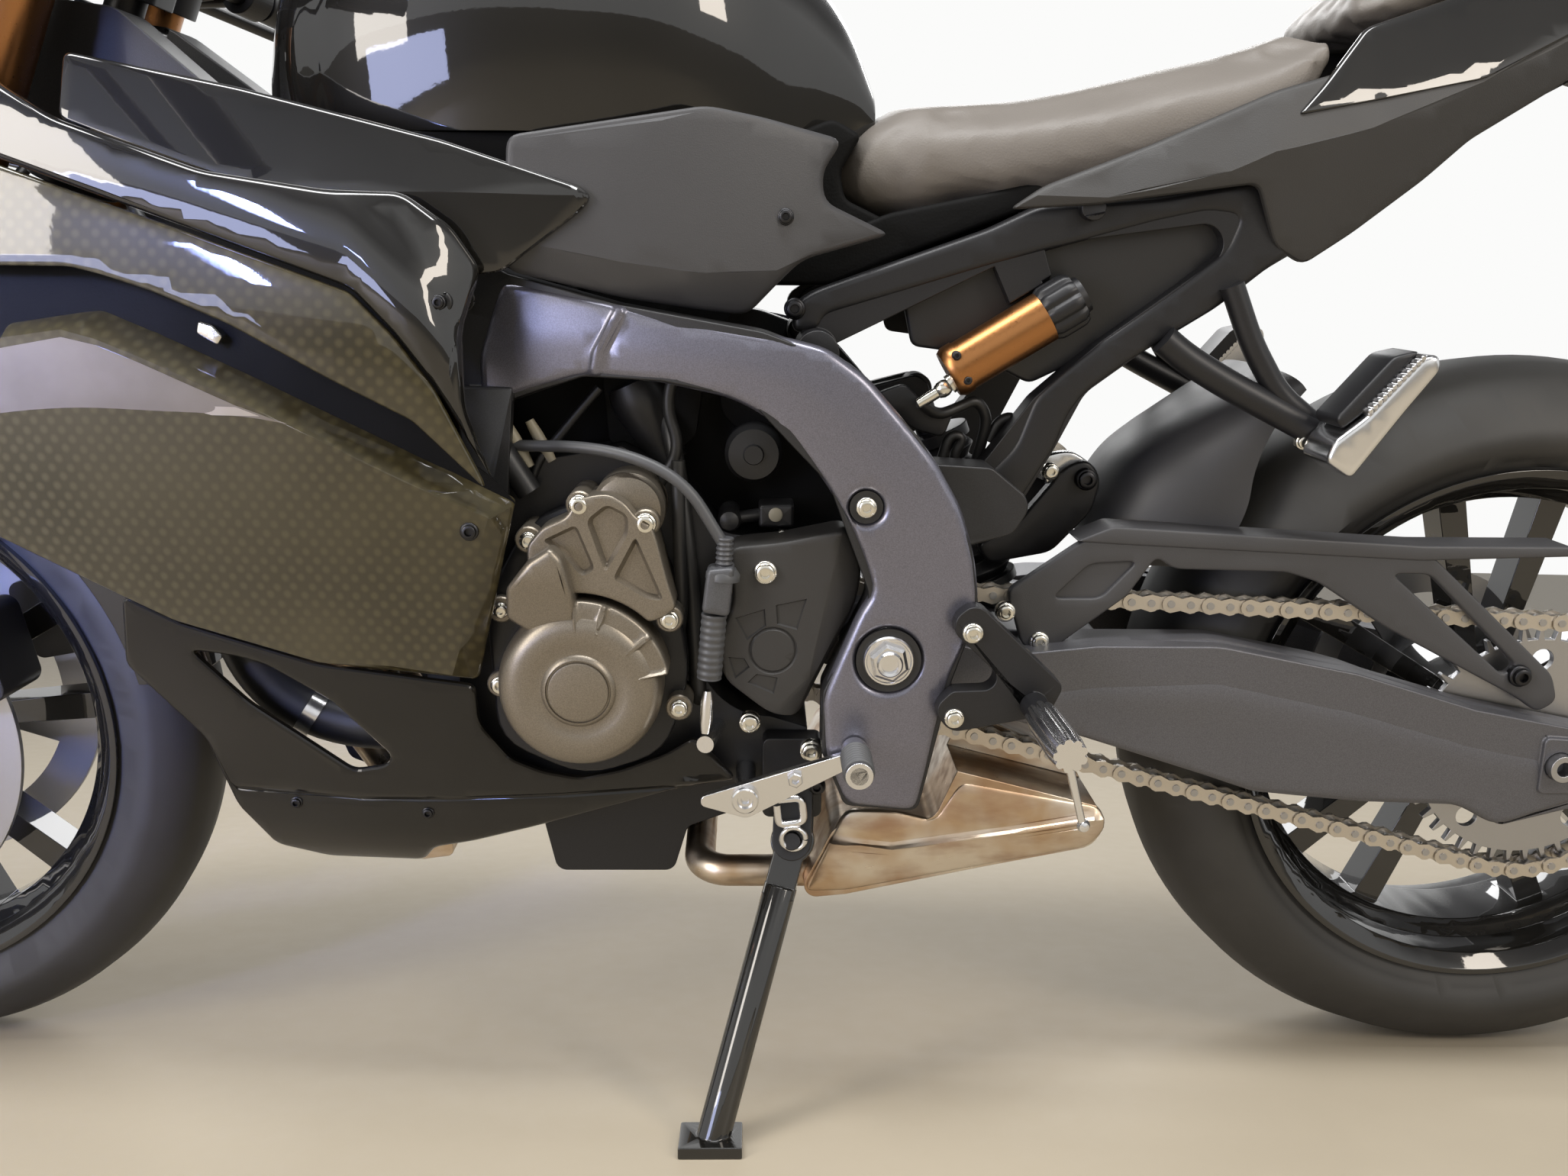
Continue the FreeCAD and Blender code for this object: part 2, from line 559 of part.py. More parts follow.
def engine():
    """Crankcase, cylinders, head and oil pan as one block, with the oil filter and the starter motor."""
    block = side_plate(ENGINE_SIDE, -CASE_HALF, CASE_HALF)
    case = side_plate([(-900, PAN_TOP), (-560, PAN_TOP), (-560, 600), (-900, 540)], -CASE_HALF, CASE_HALF)
    pan = side_plate([(-900, 190), (-560, 190), (-560, PAN_TOP), (-900, PAN_TOP)], -PAN_HALF, PAN_RIGHT)
    head = side_plate([(-1000, 540), (-900, 540), (-700, 570), (-700, HEAD_TOP + 60),
                       (-1000, HEAD_TOP + 60)], -HEAD_HALF, HEAD_HALF)
    block = block.common(fuse([case, pan, head]))
    x, z = DRIVE_SPROCKET
    reach = FRONT_PITCH_R + CHAIN_PLATE_HALF + 8
    recess = [disc_y(x, z, -CASE_HALF - 1, -CHAIN_Y + CHAIN_HALF + 5, reach),
              side_plate([(x, z + reach), (-500, z + reach), (-500, z - reach - 40), (x, z - reach)],
                         -CASE_HALF - 1, -CHAIN_Y + CHAIN_HALF + 5)]
    filter_can = rod((-860, 0, 350), (-926, 0, 338), OIL_FILTER_R)
    starter = [disc_y(STARTER[0], STARTER[1], -78, 78, STARTER_R), disc_y(STARTER[0], STARTER[1], -92, 92,
                                                                          12)]
    return fuse([block.cut(recess), filter_can] + starter)


LEFT_FLANGE = [(-845, 455, 20), (-812, 515, 20), (-745, 540, 30), (-706, 480, 30), (-692, 400, 30),
               (-712, 335, 30), (-775, 315, 30), (-840, 345, 30)]
RIBBED_COVER = [(-812, 440), (-812, 498, 8), (-770, 522, 14), (-747, 537, 12), (-730, 526, 12), (-714, 480,
                                                                                                 20),
                (-706, 440)]
POCKETS = [  # three fan-shaped pockets between the ribs, corner by corner: x, z, radius
    [(-796, 501, 4), (-770, 515, 4), (-760, 480, 3), (-782, 476, 6)],
    [(-763, 518, 4), (-748, 528, 5), (-737, 515, 5), (-756, 483, 2)],
    [(-731, 504, 3), (-748, 478, 3), (-718, 462, 4)],
]
LEFT_BOLTS = [(-770, 532), (-723, 519), (-809, 504), (-707, 447), (-705, 376), (-834, 450), (-835, 388)]
GEAR_DOME = (-738.0, 524.0)
CLUTCH_FLANGE = [(-850, 450, 20), (-780, 525, 30), (-640, 528, 30), (-605, 440, 30), (-625, 362, 20),
                 (-780, 352, 30), (-845, 366, 30)]
RIGHT_BOLTS = [(-838, 440), (-782, 512), (-712, 520), (-645, 514), (-616, 440), (-632, 374), (-772, 362),
               (-836, 376)]
CLUTCH = (-695.0, 440.0)


def engine_covers():
    """Generator cover on the left and clutch cover on the right, on flanges with a boss for each bolt."""
    x, z = CRANK
    pockets = [side_plate(p, -RIB_FACE - 1, -RIB_FACE + POCKET_DEPTH) for p in POCKETS]
    left = [side_plate(LEFT_FLANGE, -FLANGE_FACE, -CASE_HALF), side_plate(RIBBED_COVER, -RIB_FACE,
                                                                          -CASE_HALF).cut(pockets),
            turned([(-FLANGE_FACE, STATOR_R), (-COVER_FACE + 14, STATOR_R - 1, 6), (-COVER_FACE + 2,
                                                                                    STATOR_R - 14, 10),
                    (-COVER_FACE, STATOR_CAP_R), (-COVER_FACE - 3, STATOR_CAP_R - 2), (-COVER_FACE - 3, 0),
                    (-FLANGE_FACE, 0)], x, z), disc_y(GEAR_DOME[0], GEAR_DOME[1], -CASE_HALF - 36,
                                                      -CASE_HALF, 26)]
    left += [disc_y(a, b, -FLANGE_FACE - 8, -CASE_HALF, BOLT_BOSS_R) for a, b in LEFT_BOLTS]
    x, z = CLUTCH
    right = [side_plate(CLUTCH_FLANGE, CASE_HALF, CASE_HALF + 24),
             turned([(CASE_HALF + 24, 0), (CLUTCH_FACE - 4, 0), (CLUTCH_FACE - 4, 34), (CLUTCH_FACE, 38),
                     (CLUTCH_FACE, 60), (CLUTCH_FACE - 10, 72), (CASE_HALF + 24, 78)], x, z),
             rod((-806, CASE_HALF + 24, 452), (-806, CASE_HALF + 40, 452), 22, 18)]
    right += [disc_y(a, b, CASE_HALF, CASE_HALF + 30, BOLT_BOSS_R) for a, b in RIGHT_BOLTS]
    return [fuse(left), fuse(right)]


SPROCKET_COVER = [(-662, 499, 12), (-577, 512, 12), (-565, 478, 10), (-569, 456, 10), (-612, 366, 8),
                  (-634, 372, 10), (-666, 397, 12), (-672, 422, 12)]
COVER_BOSS = (-631.0, 421.0)
COVER_BOSS_R = 17.0
COVER_POCKETS = [
    [(-629, 456), (-606, 461), (-614, 435), (-628, 441)],
    [(-659, 446), (-636, 453), (-635, 440), (-650, 427)],
    [(-664, 416), (-652, 415), (-648, 408), (-658, 398)],
    [(-650, 396), (-643, 402), (-627, 399), (-630, 386)],
]


def sprocket_cover():
    """Moulded cover over the drive sprocket: a round boss with four shallow pockets round it."""
    cover = side_plate(SPROCKET_COVER, -190, -CASE_HALF)
    x, z = COVER_BOSS
    ring = disc_y(x, z, -200, -188, COVER_BOSS_R + 2).cut(disc_y(x, z, -201, -180, COVER_BOSS_R))
    return cover.cut([side_plate(p, -200, -187) for p in COVER_POCKETS] + [ring])


# Bodywork
FAIRING_LEVELS = (190, 300, 430, 570, 680, 790, 880)
FAIRING_WIDTHS = {  # x: half width at each level
    -1240: (40, 80, 150, 205, 215, 190, 150),
    -1080: (95, 130, 185, 224, 230, 205, 160),
    -900: (120, 160, 208, 238, 236, 200, 150),
    -780: (122, 166, 214, 238, 230, 192, 145),
    -600: (110, 160, 205, 228, 215, 175, 130),
}


def fairing_envelope(shrink):
    """The closed body shape that the side panels are cut from."""
    wires = []
    for x in sorted(FAIRING_WIDTHS):
        half = [w - shrink for w in FAIRING_WIDTHS[x]]
        left = [Vector(x, -w, z) for w, z in zip(half, FAIRING_LEVELS)]
        right = [Vector(x, w, z) for w, z in zip(reversed(half), reversed(FAIRING_LEVELS))]
        wires.append(Part.makePolygon(left + right + [left[0]]))
    return Part.makeLoft(wires, True, True)


FAIRING_OUT = fairing_envelope(0)
FAIRING_IN = fairing_envelope(PANEL_T)
FAIRING_SKIN = FAIRING_OUT.cut(FAIRING_IN)


def panel(points):
    """A left-hand panel: the skin inside a side outline."""
    return FAIRING_SKIN.common(side_plate(points, -300, -20))


SIDE_PANEL = [(-1236, 560), (-1150, 655, 20), (-1083, 666, 20), (-970, 612, 40), (-811, 536), (-818, 500),
              (-851, 397), (-966, 412, 60), (-1106, 461, 40), (-1185, 503, 40), (-1236, 530)]
UPPER_PANEL = [(-1236, 790), (-1150, 762), (-1021, 719), (-913, 681, 30), (-885, 652, 20), (-829, 549),
               (-852, 580), (-995, 656, 40), (-1078, 690, 30), (-1236, 697)]
GLOSS_PANEL = [(-1236, 868), (-1146, 812), (-1008, 760), (-900, 760, 20), (-862, 735, 15), (-840, 690, 15),
               (-826, 566), (-882, 656, 20), (-910, 684, 30), (-1021, 722), (-1236, 793)]
BELLY_PANEL = [(-1122, 415, 10), (-1066, 447), (-966, 412, 60), (-851, 397), (-852, 362), (-832, 329, 20),
               (-780, 312, 30), (-720, 330, 20), (-690, 350), (-658, 308), (-707, 299), (-817, 262, 10),
               (-873, 243), (-905, 234, 8), (-919, 214, 8), (-1000, 212, 30), (-1041, 225, 30), (-1065, 270,
                                                                                                 20)]
BELLY_WINDOW = [(-1062, 416, 6), (-1016, 410, 20), (-963, 378, 20), (-924, 326, 8), (-958, 312, 12),
                (-1029, 372, 10)]


def belly_cowls():
    """Lower cowl halves with their slanted window."""
    left = panel(BELLY_PANEL).cut(side_plate(BELLY_WINDOW, -300, 0))
    return both(left)


NOSE_STATIONS = {  # x: (half width, low z, high z)
    -1590: (26, 800, 838),
    -1500: (110, 745, 900),
    -1360: (175, 705, 968),
    -1240: (205, 700, 1004),
}


def nose_ring(x, half, low, high, shrink):
    """A cross-section of the nose: flat below, sides leaning in to a narrower roof."""
    w, lo, hi = half - shrink, low + shrink, high - shrink
    middle = low + (high - low) * 0.45
    points = [(-w * 0.55, lo), (-w, middle), (-w * 0.80, hi), (w * 0.80, hi), (w, middle), (w * 0.55, lo)]
    return Part.makePolygon([Vector(x, y, z) for y, z in points + points[:1]])


SCREEN_SEAT = [(-1506, 893), (-1230, 1008)]


def nose_cowl():
    """The nose shell, open at the back and at the screen's seat."""
    rows = sorted(NOSE_STATIONS.items())
    outer = Part.makeLoft([nose_ring(x, *s, 0) for x, s in rows], True, True)
    lamps = [side_plate([(-1585, 770), (-1420, 800, 20), (-1440, 868, 20), (-1560, 815)], a, b)
             for a, b in ((-150, -26), (26, 150))]
    hollow = [nose_ring(x + 6 * (x == rows[0][0]), *s, PANEL_T) for x, s in rows]
    last = rows[-1]
    hollow.append(nose_ring(last[0] + 5, *last[1], PANEL_T))
    inner = Part.makeLoft(hollow, True, True)
    roof = side_plate(SCREEN_SEAT + [(-1200, 1200), (-1506, 1200)], -300, 300)
    under = side_plate([(-1440, 680), (-1440, 770), (-1230, 800), (-1230, 680)], -150, 150)
    lever_room = side_plate([(-1296, 1020), (-1246, 850), (-1200, 850), (-1200, 1020)], -300, 300)
    skin = outer.cut(inner).cut(roof).cut(under).cut(lever_room)
    return skin.cut(lamps), skin.common(Part.makeCompound(lamps))


def windscreen():
    """A double-curved screen: an arched shell rising from the nose."""
    def arch(x, half, base, crest, shrink):
        w, top = half - shrink, crest - shrink
        a, b, c = Vector(x, -w, base), Vector(x, 0, top), Vector(x, w, base)
        return Part.Wire([Part.Arc(a, b, c).toShape(), Part.LineSegment(c, a).toShape()])

    rows = [(-1500, 86, 890, 922), (-1420, 119, 924, 1012), (-1320, 149, 965, 1098), (-1235, 163, 1000,
                                                                                      1168)]
    outer = Part.makeLoft([arch(*r, 0) for r in rows], True, False)
    inner = Part.makeLoft([arch(*r, 3.0) for r in rows], True, False)
    wedge = side_plate(SCREEN_SEAT + [(-1200, 1190), (-1506, 1190)], -200, 200)
    return outer.cut(inner.copy()).common(wedge)


def fuel_tank():
    """The tank: what its side, plan and front outlines have in common, with the filler neck."""
    side = [(-1010, 10, 20), (-1020, 90, 40), (-955, 185, 60), (-860, 222, 120), (-740, 214, 120),
            (-640, 165, 80), (-580, 90, 60), (-548, 22, 10), (-600, 0), (-680, 10), (-800, 0)]
    plan = [(-1030, -60, 30), (-960, -125, 60), (-800, -160, 90), (-690, -150, 60), (-600, -85, 30),
            (-540, -62, 10), (-540, 62, 10), (-600, 85, 30), (-690, 150, 60), (-800, 160, 90), (-960, 125,
                                                                                                60),
            (-1030, 60, 30)]
    body = side_plate(moved(side, (0, TANK_BASE)), -200, 200).common(plan_plate(plan, TANK_BASE - 90,
                                                                                TANK_TOP + 90))
    ends = [(-165, -10), (-165, 135, 50), (-95, 225, 60), (95, 225, 60), (165, 135, 50), (165, -10)]
    body = body.common(front_plate(moved(ends, (0, TANK_BASE)), -1050, -500))
    seat = rod(CAP_CENTRE + Vector(0, 0, -30), CAP_CENTRE, CAP_R)
    return fuse([body, seat]).cut(rod(CAP_CENTRE + Vector(0, 0, -70), CAP_CENTRE + Vector(0, 0, 40),
                                      FILLER_R))


def fuel_cap():
    """The hinged filler cap with its hinge ear at the front."""
    low = CAP_CENTRE + Vector(0, 0, CAP_GAP)
    lid = Part.makeCylinder(CAP_R, CAP_T, low)
    ear = Part.makeBox(20, 24, CAP_T, low + Vector(-CAP_R - 10, -12, 0))
    knuckle = disc_y(CAP_HINGE.x, CAP_HINGE.z, -12, 12, CAP_T / 2)
    return fuse([lid, ear, knuckle])


TANK_COVER = [(-815, 786), (-679, 806), (-642, 800), (-583, 787), (-598, 765, 15), (-596, 744, 15),
              (-545, 722), (-610, 704), (-622, 695), (-651, 652), (-678, 655), (-739, 665), (-818, 684)]


def tank_covers():
    band = plan_plate([(-830, -190), (-700, -182), (-600, -152), (-540, -120), (-540, -112), (-600, -144),
                       (-700, -174), (-830, -182)], 600, 900)
    return both(side_plate(TANK_COVER, -230, 0).common(band))


SEAT_SIDE = [(-590, 772, 20), (-582, 792, 20), (-540, 817, 15), (-451, 822, 60), (-393, 832, 60),
             (-286, 858, 40), (-214, 884, 10), (-222, 862, 8), (-262, 800, 20), (-292, 758 + SEAT_GAP),
             (-300, 752 + SEAT_GAP), (-436, 740 + SEAT_GAP, 20), (-533, 731, 15), (-572, 745, 15)]


def rider_seat():
    plan = [(-600, -78, 25), (-470, -112, 60), (-330, -138, 60), (-200, -112, 20), (-200, 112, 20),
            (-330, 138, 60), (-470, 112, 60), (-600, 78, 25)]
    return side_plate(SEAT_SIDE, -150, 150).common(plan_plate(plan, 700, 900))


def pillion_seat():
    side = [(-205, 862, 10), (-192, 925, 20), (-60, 962, 30), (36, 975, 15), (40, 930, 8), (-60, 900)]
    plan = [(-205, -123, 10), (-150, -123.6), (40, -70.1, 10), (40, 70.1, 10), (-150, 123.6), (-205, 123,
                                                                                               10)]
    return side_plate(side, -100, 100).common(plan_plate(plan, 800, 1000))


TAIL_SIDE = [(-470, 742, 10), (-395, 776), (-320, 806), (-250, 836), (-212, 862), (-200, 885), (-60, 926),
             (40, 952), (105, 965, 10), (90, 930, 10), (-43, 836, 20), (-237, 702, 12), (-262, 716, 12),
             (-282, 760, 20), (-305, 757, 20), (-436, 730)]


def tail_covers():
    """Side covers of the tail, left and right."""
    band = plan_plate([(-480, -142), (-330, -150), (-150, -128), (120, -52), (120, -48), (-150, -124),
                       (-330, -145), (-480, -137)], 600, 1000)
    return both(side_plate(TAIL_SIDE, -200, 0).common(band))


def tail_lamp():
    side = [(66, 925, 4), (100, 962, 4), (118, 962, 4), (112, 930, 8)]
    plan = [(60, -64.9), (118, -48.6), (118, 48.6), (60, 64.9)]
    return side_plate(side, -70, 70).common(plan_plate(plan, 900, 990))


def plate_bracket():
    """Rear fender arm with a blank plate and two indicator stalks."""
    arm = side_plate([(22, 884), (72, 866, 10), (190, 730, 30), (300, 590, 8), (290, 584, 4), (180, 715, 30),
                      (60, 842, 10), (22, 852)], -32, 32)
    plate = side_plate([(215, 690), (219, 692), (322, 560), (318, 556)], -95, 95)
    stalks = [rod((165, 30 * s, 740), (165, 120 * s, 740), 7) for s in (-1, 1)]
    pods = [rod((165, 120 * s, 740), (165, 165 * s, 740), 13, 10) for s in (-1, 1)]
    return fuse([arm, plate] + stalks + pods)


def subframe():
    """Two cast trusses from the frame to the tail: top rail, lower stay and web."""
    rail = [(-618, 628, 14), (-604, 674, 14), (-436, 740, 20), (-300, 752, 20), (-286, 760), (-180, 800,
                                                                                              20),
            (-60, 850), (20, 890), (30, 872), (-60, 826), (-262, 702, 20), (-340, 648, 20), (-395, 607, 30),
            (-415, 566, 30), (-440, 520, 16), (-474, 510, 16), (-480, 540, 16), (-434, 603, 30), (-388, 644,
                                                                                                  20),
            (-296, 712, 20), (-305, 733, 15), (-437, 715, 20), (-590, 640, 14)]
    truss = side_plate(rail, -128, -46).common(plan_plate([(-620, -TRUSS_OUTER), (-250, -TRUSS_OUTER),
                                                           (40, -64), (40, -46), (-250, -103),
                                                           (-620, -103)], 500, 900))
    lug_top = disc_y(-600, 638, -FRAME_OUTER + FRAME_T, -TRUSS_INNER, 16)
    strap = side_plate([(-474, 712), (-436, 726), (-424, 690), (-455, 672)], -TRUSS_OUTER, -TRUSS_INNER)
    bosses = [disc_y(-400, 742, -144, -TRUSS_INNER, 9), disc_y(-2, 868, -86, -60, 8)]
    return both(fuse([truss, lug_top, strap] + bosses))


def seat_pan():
    """The tray between the trusses that carries the seats and the battery."""
    tray = side_plate([(-520, 690, 10), (-440, 728), (-300, 744), (-60, 840), (22, 884), (22, 862),
                       (-60, 820), (-300, 700, 20), (-430, 650, 20), (-500, 640, 10)], -103, 103)
    return tray.common(plan_plate([(-530, -103), (-250, -103), (40, -46), (40, 46), (-250, 103),
                                   (-530, 103)], 600, 900))


# Running gear
def rear_shock():
    """Shock absorber between the frame's ears and the swingarm's bridge, its spring drawn coil by coil."""
    top, low = Vector(SHOCK_TOP), Vector(-440, SHOCK_TOP[1], 408)
    whole = low - top
    eye = disc_y(top.x, top.z, top.y - 12, top.y + 12, 13)
    first, last = 0.24, 0.84
    seats = [rod(top + whole * (first - 0.05), top + whole * first, SPRING_R),
             rod(top + whole * last, top + whole * (last + 0.04), SPRING_R)]
    coils = []
    for i in range(SPRING_COILS):
        start = first + (last - first) * i / SPRING_COILS
        middle = first + (last - first) * (i + 0.5) / SPRING_COILS
        end = first + (last - first) * (i + 1) / SPRING_COILS
        coils.append(rod(top + whole * start, top + whole * middle, SPRING_R - 7, SPRING_R))
        coils.append(rod(top + whole * middle, top + whole * end, SPRING_R, SPRING_R - 7))
    return fuse([eye, rod(top + whole * 0.04, low, 11)] + seats + coils)


def shock_reservoir():
    """The gold remote reservoir on its bracket, outside the left truss."""
    low, high = Vector(-488, -132, 630), Vector(-402, -132, 683)
    step = (high - low)
    return fuse([rod(low, low + step * 0.78, 20), rod(low + step * 0.78, high, 22)])


HUGGER_EDGE = [  # angle round the rear axle, height above the tread, corner radius
    (156.3, 91, 10), (152.3, 96, 10), (145.6, 96, 20), (137.7, 80, 40), (126.0, 63, 4), (126.6, 44, 4),
    (131.8, 35, 20), (141.0, 9, 10), (147.3, -13, 6)]


def hugger():
    """Mudguard over the front of the rear tyre: a thin hood open towards the tyre."""
    side = []
    for angle, above, radius in HUGGER_EDGE:
        corner = on_sprocket(REAR_AXLE, REAR_R + above, math.radians(angle))
        side.append((corner.x, corner.z, radius))
    hood = side_plate(side, -HUGGER_HALF, HUGGER_HALF)
    x0, x1 = side[0][0] + 5, side[4][0] + 15
    hollow = side_plate([(x + 5, z - 5, 10) for x, z, r in side[:4]] + [(x1, side[4][1]), (x1, REAR_R),
                                                                        (x0, REAR_R)],
                        -HUGGER_HALF + PANEL_T, HUGGER_HALF - PANEL_T)
    return hood.cut(hollow).cut(disc_y(0, REAR_R, -120, 120, REAR_R + HUGGER_GAP))


def chain_guard():
    """The truss-shaped guard along the chain's upper run; the heights are given from the rear axle."""
    outer = [(-446, 137, 10), (-391, 177, 12), (-366, 188, 10), (-118, 174, 10), (8, 71, 8), (0, 39, 14),
             (-30, 41, 10), (-142, 108), (-200, 145, 20), (-226, 153, 10), (-316, 155, 10), (-351, 133),
             (-408, 83, 10), (-434, 91, 8)]
    hole = [(-140, 153, 6), (-112, 153, 6), (-32, 77, 6), (-40, 69, 6)]
    window = [(-410, 131, 4), (-382, 159, 4), (-345, 161, 4), (-372, 131, 6)]
    web = [(-370, 165), (-364, 186), (-330, 183), (-330, 165)]
    guard = side_plate(moved(outer, REAR_AXLE), -126, -120)
    guard = guard.cut([side_plate(moved(hole, REAR_AXLE), -130, -110),
                       side_plate(moved(window, REAR_AXLE), -130, -123)])
    return fuse([guard, side_plate(moved(web, REAR_AXLE), -121, -HUGGER_HALF + PANEL_T), hugger()])


def disc_room(x, z, y, radius):
    """The space that a brake disc turns in, with its running gap."""
    half = DISC_T / 2 + DISC_GAP
    return disc_y(x, z, y - half, y + half, radius + DISC_GAP)


def rear_caliper():
    block = side_plate(moved([(-115, -60, 8), (-60, -70, 8), (-52, -33, 8), (-110, -20, 8)], REAR_AXLE),
                       REAR_DISC_Y - 22, ARM_INNER_REAR)
    return block.cut(disc_room(0, REAR_R, REAR_DISC_Y, REAR_DISC_R))


def footrests():
    """Rider's footrest hangers with their pegs."""
    hanger = side_plate([(-506, 448, 14), (-485, 466, 12), (-418, 402, 8), (-428, 380, 8), (-500, 366, 14),
                         (-514, 384, 12), (-500, 398, 8), (-455, 400, 10)], -216, -FRAME_OUTER + 6)
    peg = rod((-440, -216, 388), (-436, -318, 388), 10)
    return both(fuse([hanger, peg]))


def foot_levers():
    """Gear lever on the left and brake pedal on the right."""
    lever = side_plate([(-684, 315, 4), (-650, 326, 10), (-568, 352, 8), (-566, 342, 8), (-650, 298, 10),
                        (-684, 308, 4)], -216, -208)
    tip = rod((-570, -208, 350), (-570, -262, 350), 10)
    axle = disc_y(-651, 311, -208, -CASE_HALF, 8)
    gear = fuse([lever, tip, axle])
    pedal = side_plate([(-500, 372, 8), (-480, 380, 8), (-600, 352, 6), (-640, 352, 6), (-640, 342, 6),
                        (-590, 340, 6)], 218, 226)
    pad = rod((-636, 218, 347), (-636, 262, 347), 9)
    shaft = disc_y(-490, 376, 216, 218, 7)
    return [gear, fuse([pedal, pad, shaft])]


def passenger_footrests():
    arm = side_plate([(-337, 652, 8), (-300, 690, 6), (-279, 690, 6), (-205, 578, 8), (-216, 562, 6),
                      (-325, 628, 8)], -140, -128)
    arm = arm.cut(side_plate([(-312, 648, 6), (-290, 668, 4), (-240, 590, 4)], -150, -100))
    peg = side_plate([(-222, 566, 4), (-210, 552, 4), (-190, 640, 4), (-202, 646, 4)], -236, -140)
    return both(fuse([arm, peg]))


def exhaust_headers():
    """Four header pipes from the head, down ahead of the crankcase into a collector with two outlets."""
    pipes = [bent_rod([(-925, y, 640), (-985, y, 600), (-985, y, 330), (-925, y, 236)], 16, 60)
             for y in (-66, -22, 22, 66)]
    box = side_plate([(-950, 262, 10), (-905, 248, 10), (-900, 206, 6), (-930, 202, 10), (-958, 226, 10)],
                     -84, 90)
    collector = bent_rod([(-905, 62, 226), (-860, 66, 226), (-600, 66, 228)], 23, 60)
    crossover = bent_rod([(-690, 60, 224), (-690, -118, 209), (-590, -118, 209)], 13, 26)
    return [fuse(pipes + [box, collector, crossover])]


def exhaust_chamber():
    """The silencer box under the engine, with its outlet."""
    box = side_plate([(-610, 198, 10), (-580, 262, 15), (-500, 268, 15), (-470, 340, 20), (-380, 300, 25),
                      (-360, 262, 20), (-372, 244, 20), (-460, 226, 60), (-570, 202, 20)], -148, 148)
    over = side_plate([(-640, 350), (-340, 272), (-340, 420), (-640, 420)], -150, -CHAIN_Y + CHAIN_HALF + 7)
    box = box.cut(over)
    outlet = rod((-430, 100, 235), (-380, 128, 196), 26)
    return fuse([box, outlet])


RADIATOR_FACE = [(-1096.0, 655.0), (-1068.0, 424.0)]     # the front face, top and bottom
RADIATOR_BACK = [(-1068.0, 660.0), (-1040.0, 430.0)]


def radiator():
    """Radiator with its side tanks, a louvred core and two fans, ahead of the headers."""
    (x0, z0), (x1, z1) = RADIATOR_FACE
    side = [(x0, z0), RADIATOR_BACK[0], RADIATOR_BACK[1], (x1, z1)]
    core = side_plate(side, -RADIATOR_HALF, RADIATOR_HALF)
    inner = RADIATOR_HALF - RADIATOR_TANK
    louvres = []
    for i in range(RADIATOR_LOUVRES):
        a, b = (i + 0.8) / (RADIATOR_LOUVRES + 1), (i + 1.3) / (RADIATOR_LOUVRES + 1)
        slot = [(x0 + (x1 - x0) * share + depth, z0 + (z1 - z0) * share)
                for share, depth in ((a, -1), (b, -1), (b, LOUVRE_DEPTH), (a, LOUVRE_DEPTH))]
        louvres.append(side_plate(slot, -inner, inner))
    tank_side = [(x0 - 3, z0 + 3, 8), (RADIATOR_BACK[0][0] + 3, z0 + 6, 8), (RADIATOR_BACK[1][0] + 3,
                                                                             z1 + 4, 8), (x1 - 3, z1 - 2, 8)]
    tanks = [side_plate(tank_side, y, y + RADIATOR_TANK) for y in (-RADIATOR_HALF, inner)]
    fans = []
    for y in (-78, 78):
        a = Vector(-1062, y, 545)
        fans.append(rod(a, a + Vector(32, 0, 4), FAN_R))
    brackets = [side_plate([(-1092, 640), (-1072, 640), (-1060, 720), (-1080, 720)], y,
                           y + 18) for y in (-80, 62)]
    return fuse([core.cut(louvres)] + tanks + fans + brackets)


def airbox():
    """Air box with its intake funnels and boots, between the frame beams, with a lug on each beam."""
    box = side_plate([(-968, TANK_BASE), (-800, TANK_BASE), (-680, TANK_BASE + 10), (-642, TANK_BASE - 10,
                                                                                     20),
                      (-642, HEAD_TOP - 42, 20), (-690, HEAD_TOP - 122, 20), (-745, HEAD_TOP - 122, 20),
                      (-800, HEAD_TOP + 8, 20), (-968, HEAD_TOP + 26)], -AIRBOX_HALF, AIRBOX_HALF)
    lug = disc_y(-735, 646, -FRAME_OUTER + FRAME_T / 2, FRAME_OUTER - FRAME_T / 2, 14)
    boots = [rod((-790, y, HEAD_TOP - 86), (-725, y, HEAD_TOP - 66), 20) for y in (-66, -22, 22, 66)]
    funnel = side_plate([(-762, 640), (-756, 566, 8), (-736, 560, 8), (-712, 554, 8), (-690, 572, 10),
                         (-680, 640)], -125, -40)
    chamber = disc_y(-646, 600, -112, -60, 26)
    neck = disc_y(-660, 632, -104, -68, 22)
    return fuse([box, lug, funnel, chamber, neck] + boots)


def hoses():
    """Radiator hoses, breather and clutch cable, each held at both ends."""
    low = bent_rod([(-1062, -118, 455), (-1042, -116, 372), (-975, -112, 330), (-866, -112, 338)],
                   LOW_HOSE_R, 50)
    high = bent_rod([(-1058, 153, 602), (-1005, 150, 584), (-930, 116, 570), (-880, 80, 570)], HIGH_HOSE_R,
                    40)
    breather = bent_rod([(-688, -140, 364), (-688, -160, 382), (-690, -160, 440), (-696, -158, 500),
                         (-704, -146, 560), (-716, -118, 600)], BREATHER_R, 30)
    cable = bent_rod([(-1152, -62, 790), (-1085, -98, 690), (-960, -104, 602), (-850, -142, 566),
                      (-752, -186, 572), (-690, -200, 548), (-666, -200, 490)], CABLE_R, 40)
    adjuster = [rod((-665, -200, 508), (-667, -200, 488), 6), rod((-667, -200, 490), (-674, -200, 450), 12),
                rod((-674, -200, 450), (-676, -200, 403), 9), rod((-676, -200, 403), (-680, -200, 350), 4)]
    arm = rod((-680, -204, 350), (-672, -140, 345), 7)
    bracket = side_plate([(-688, 440, 4), (-652, 440, 4), (-652, 470, 4), (-688, 470, 4)], -194, -190)
    return [low, high, breather, fuse([cable, arm, bracket] + adjuster)]


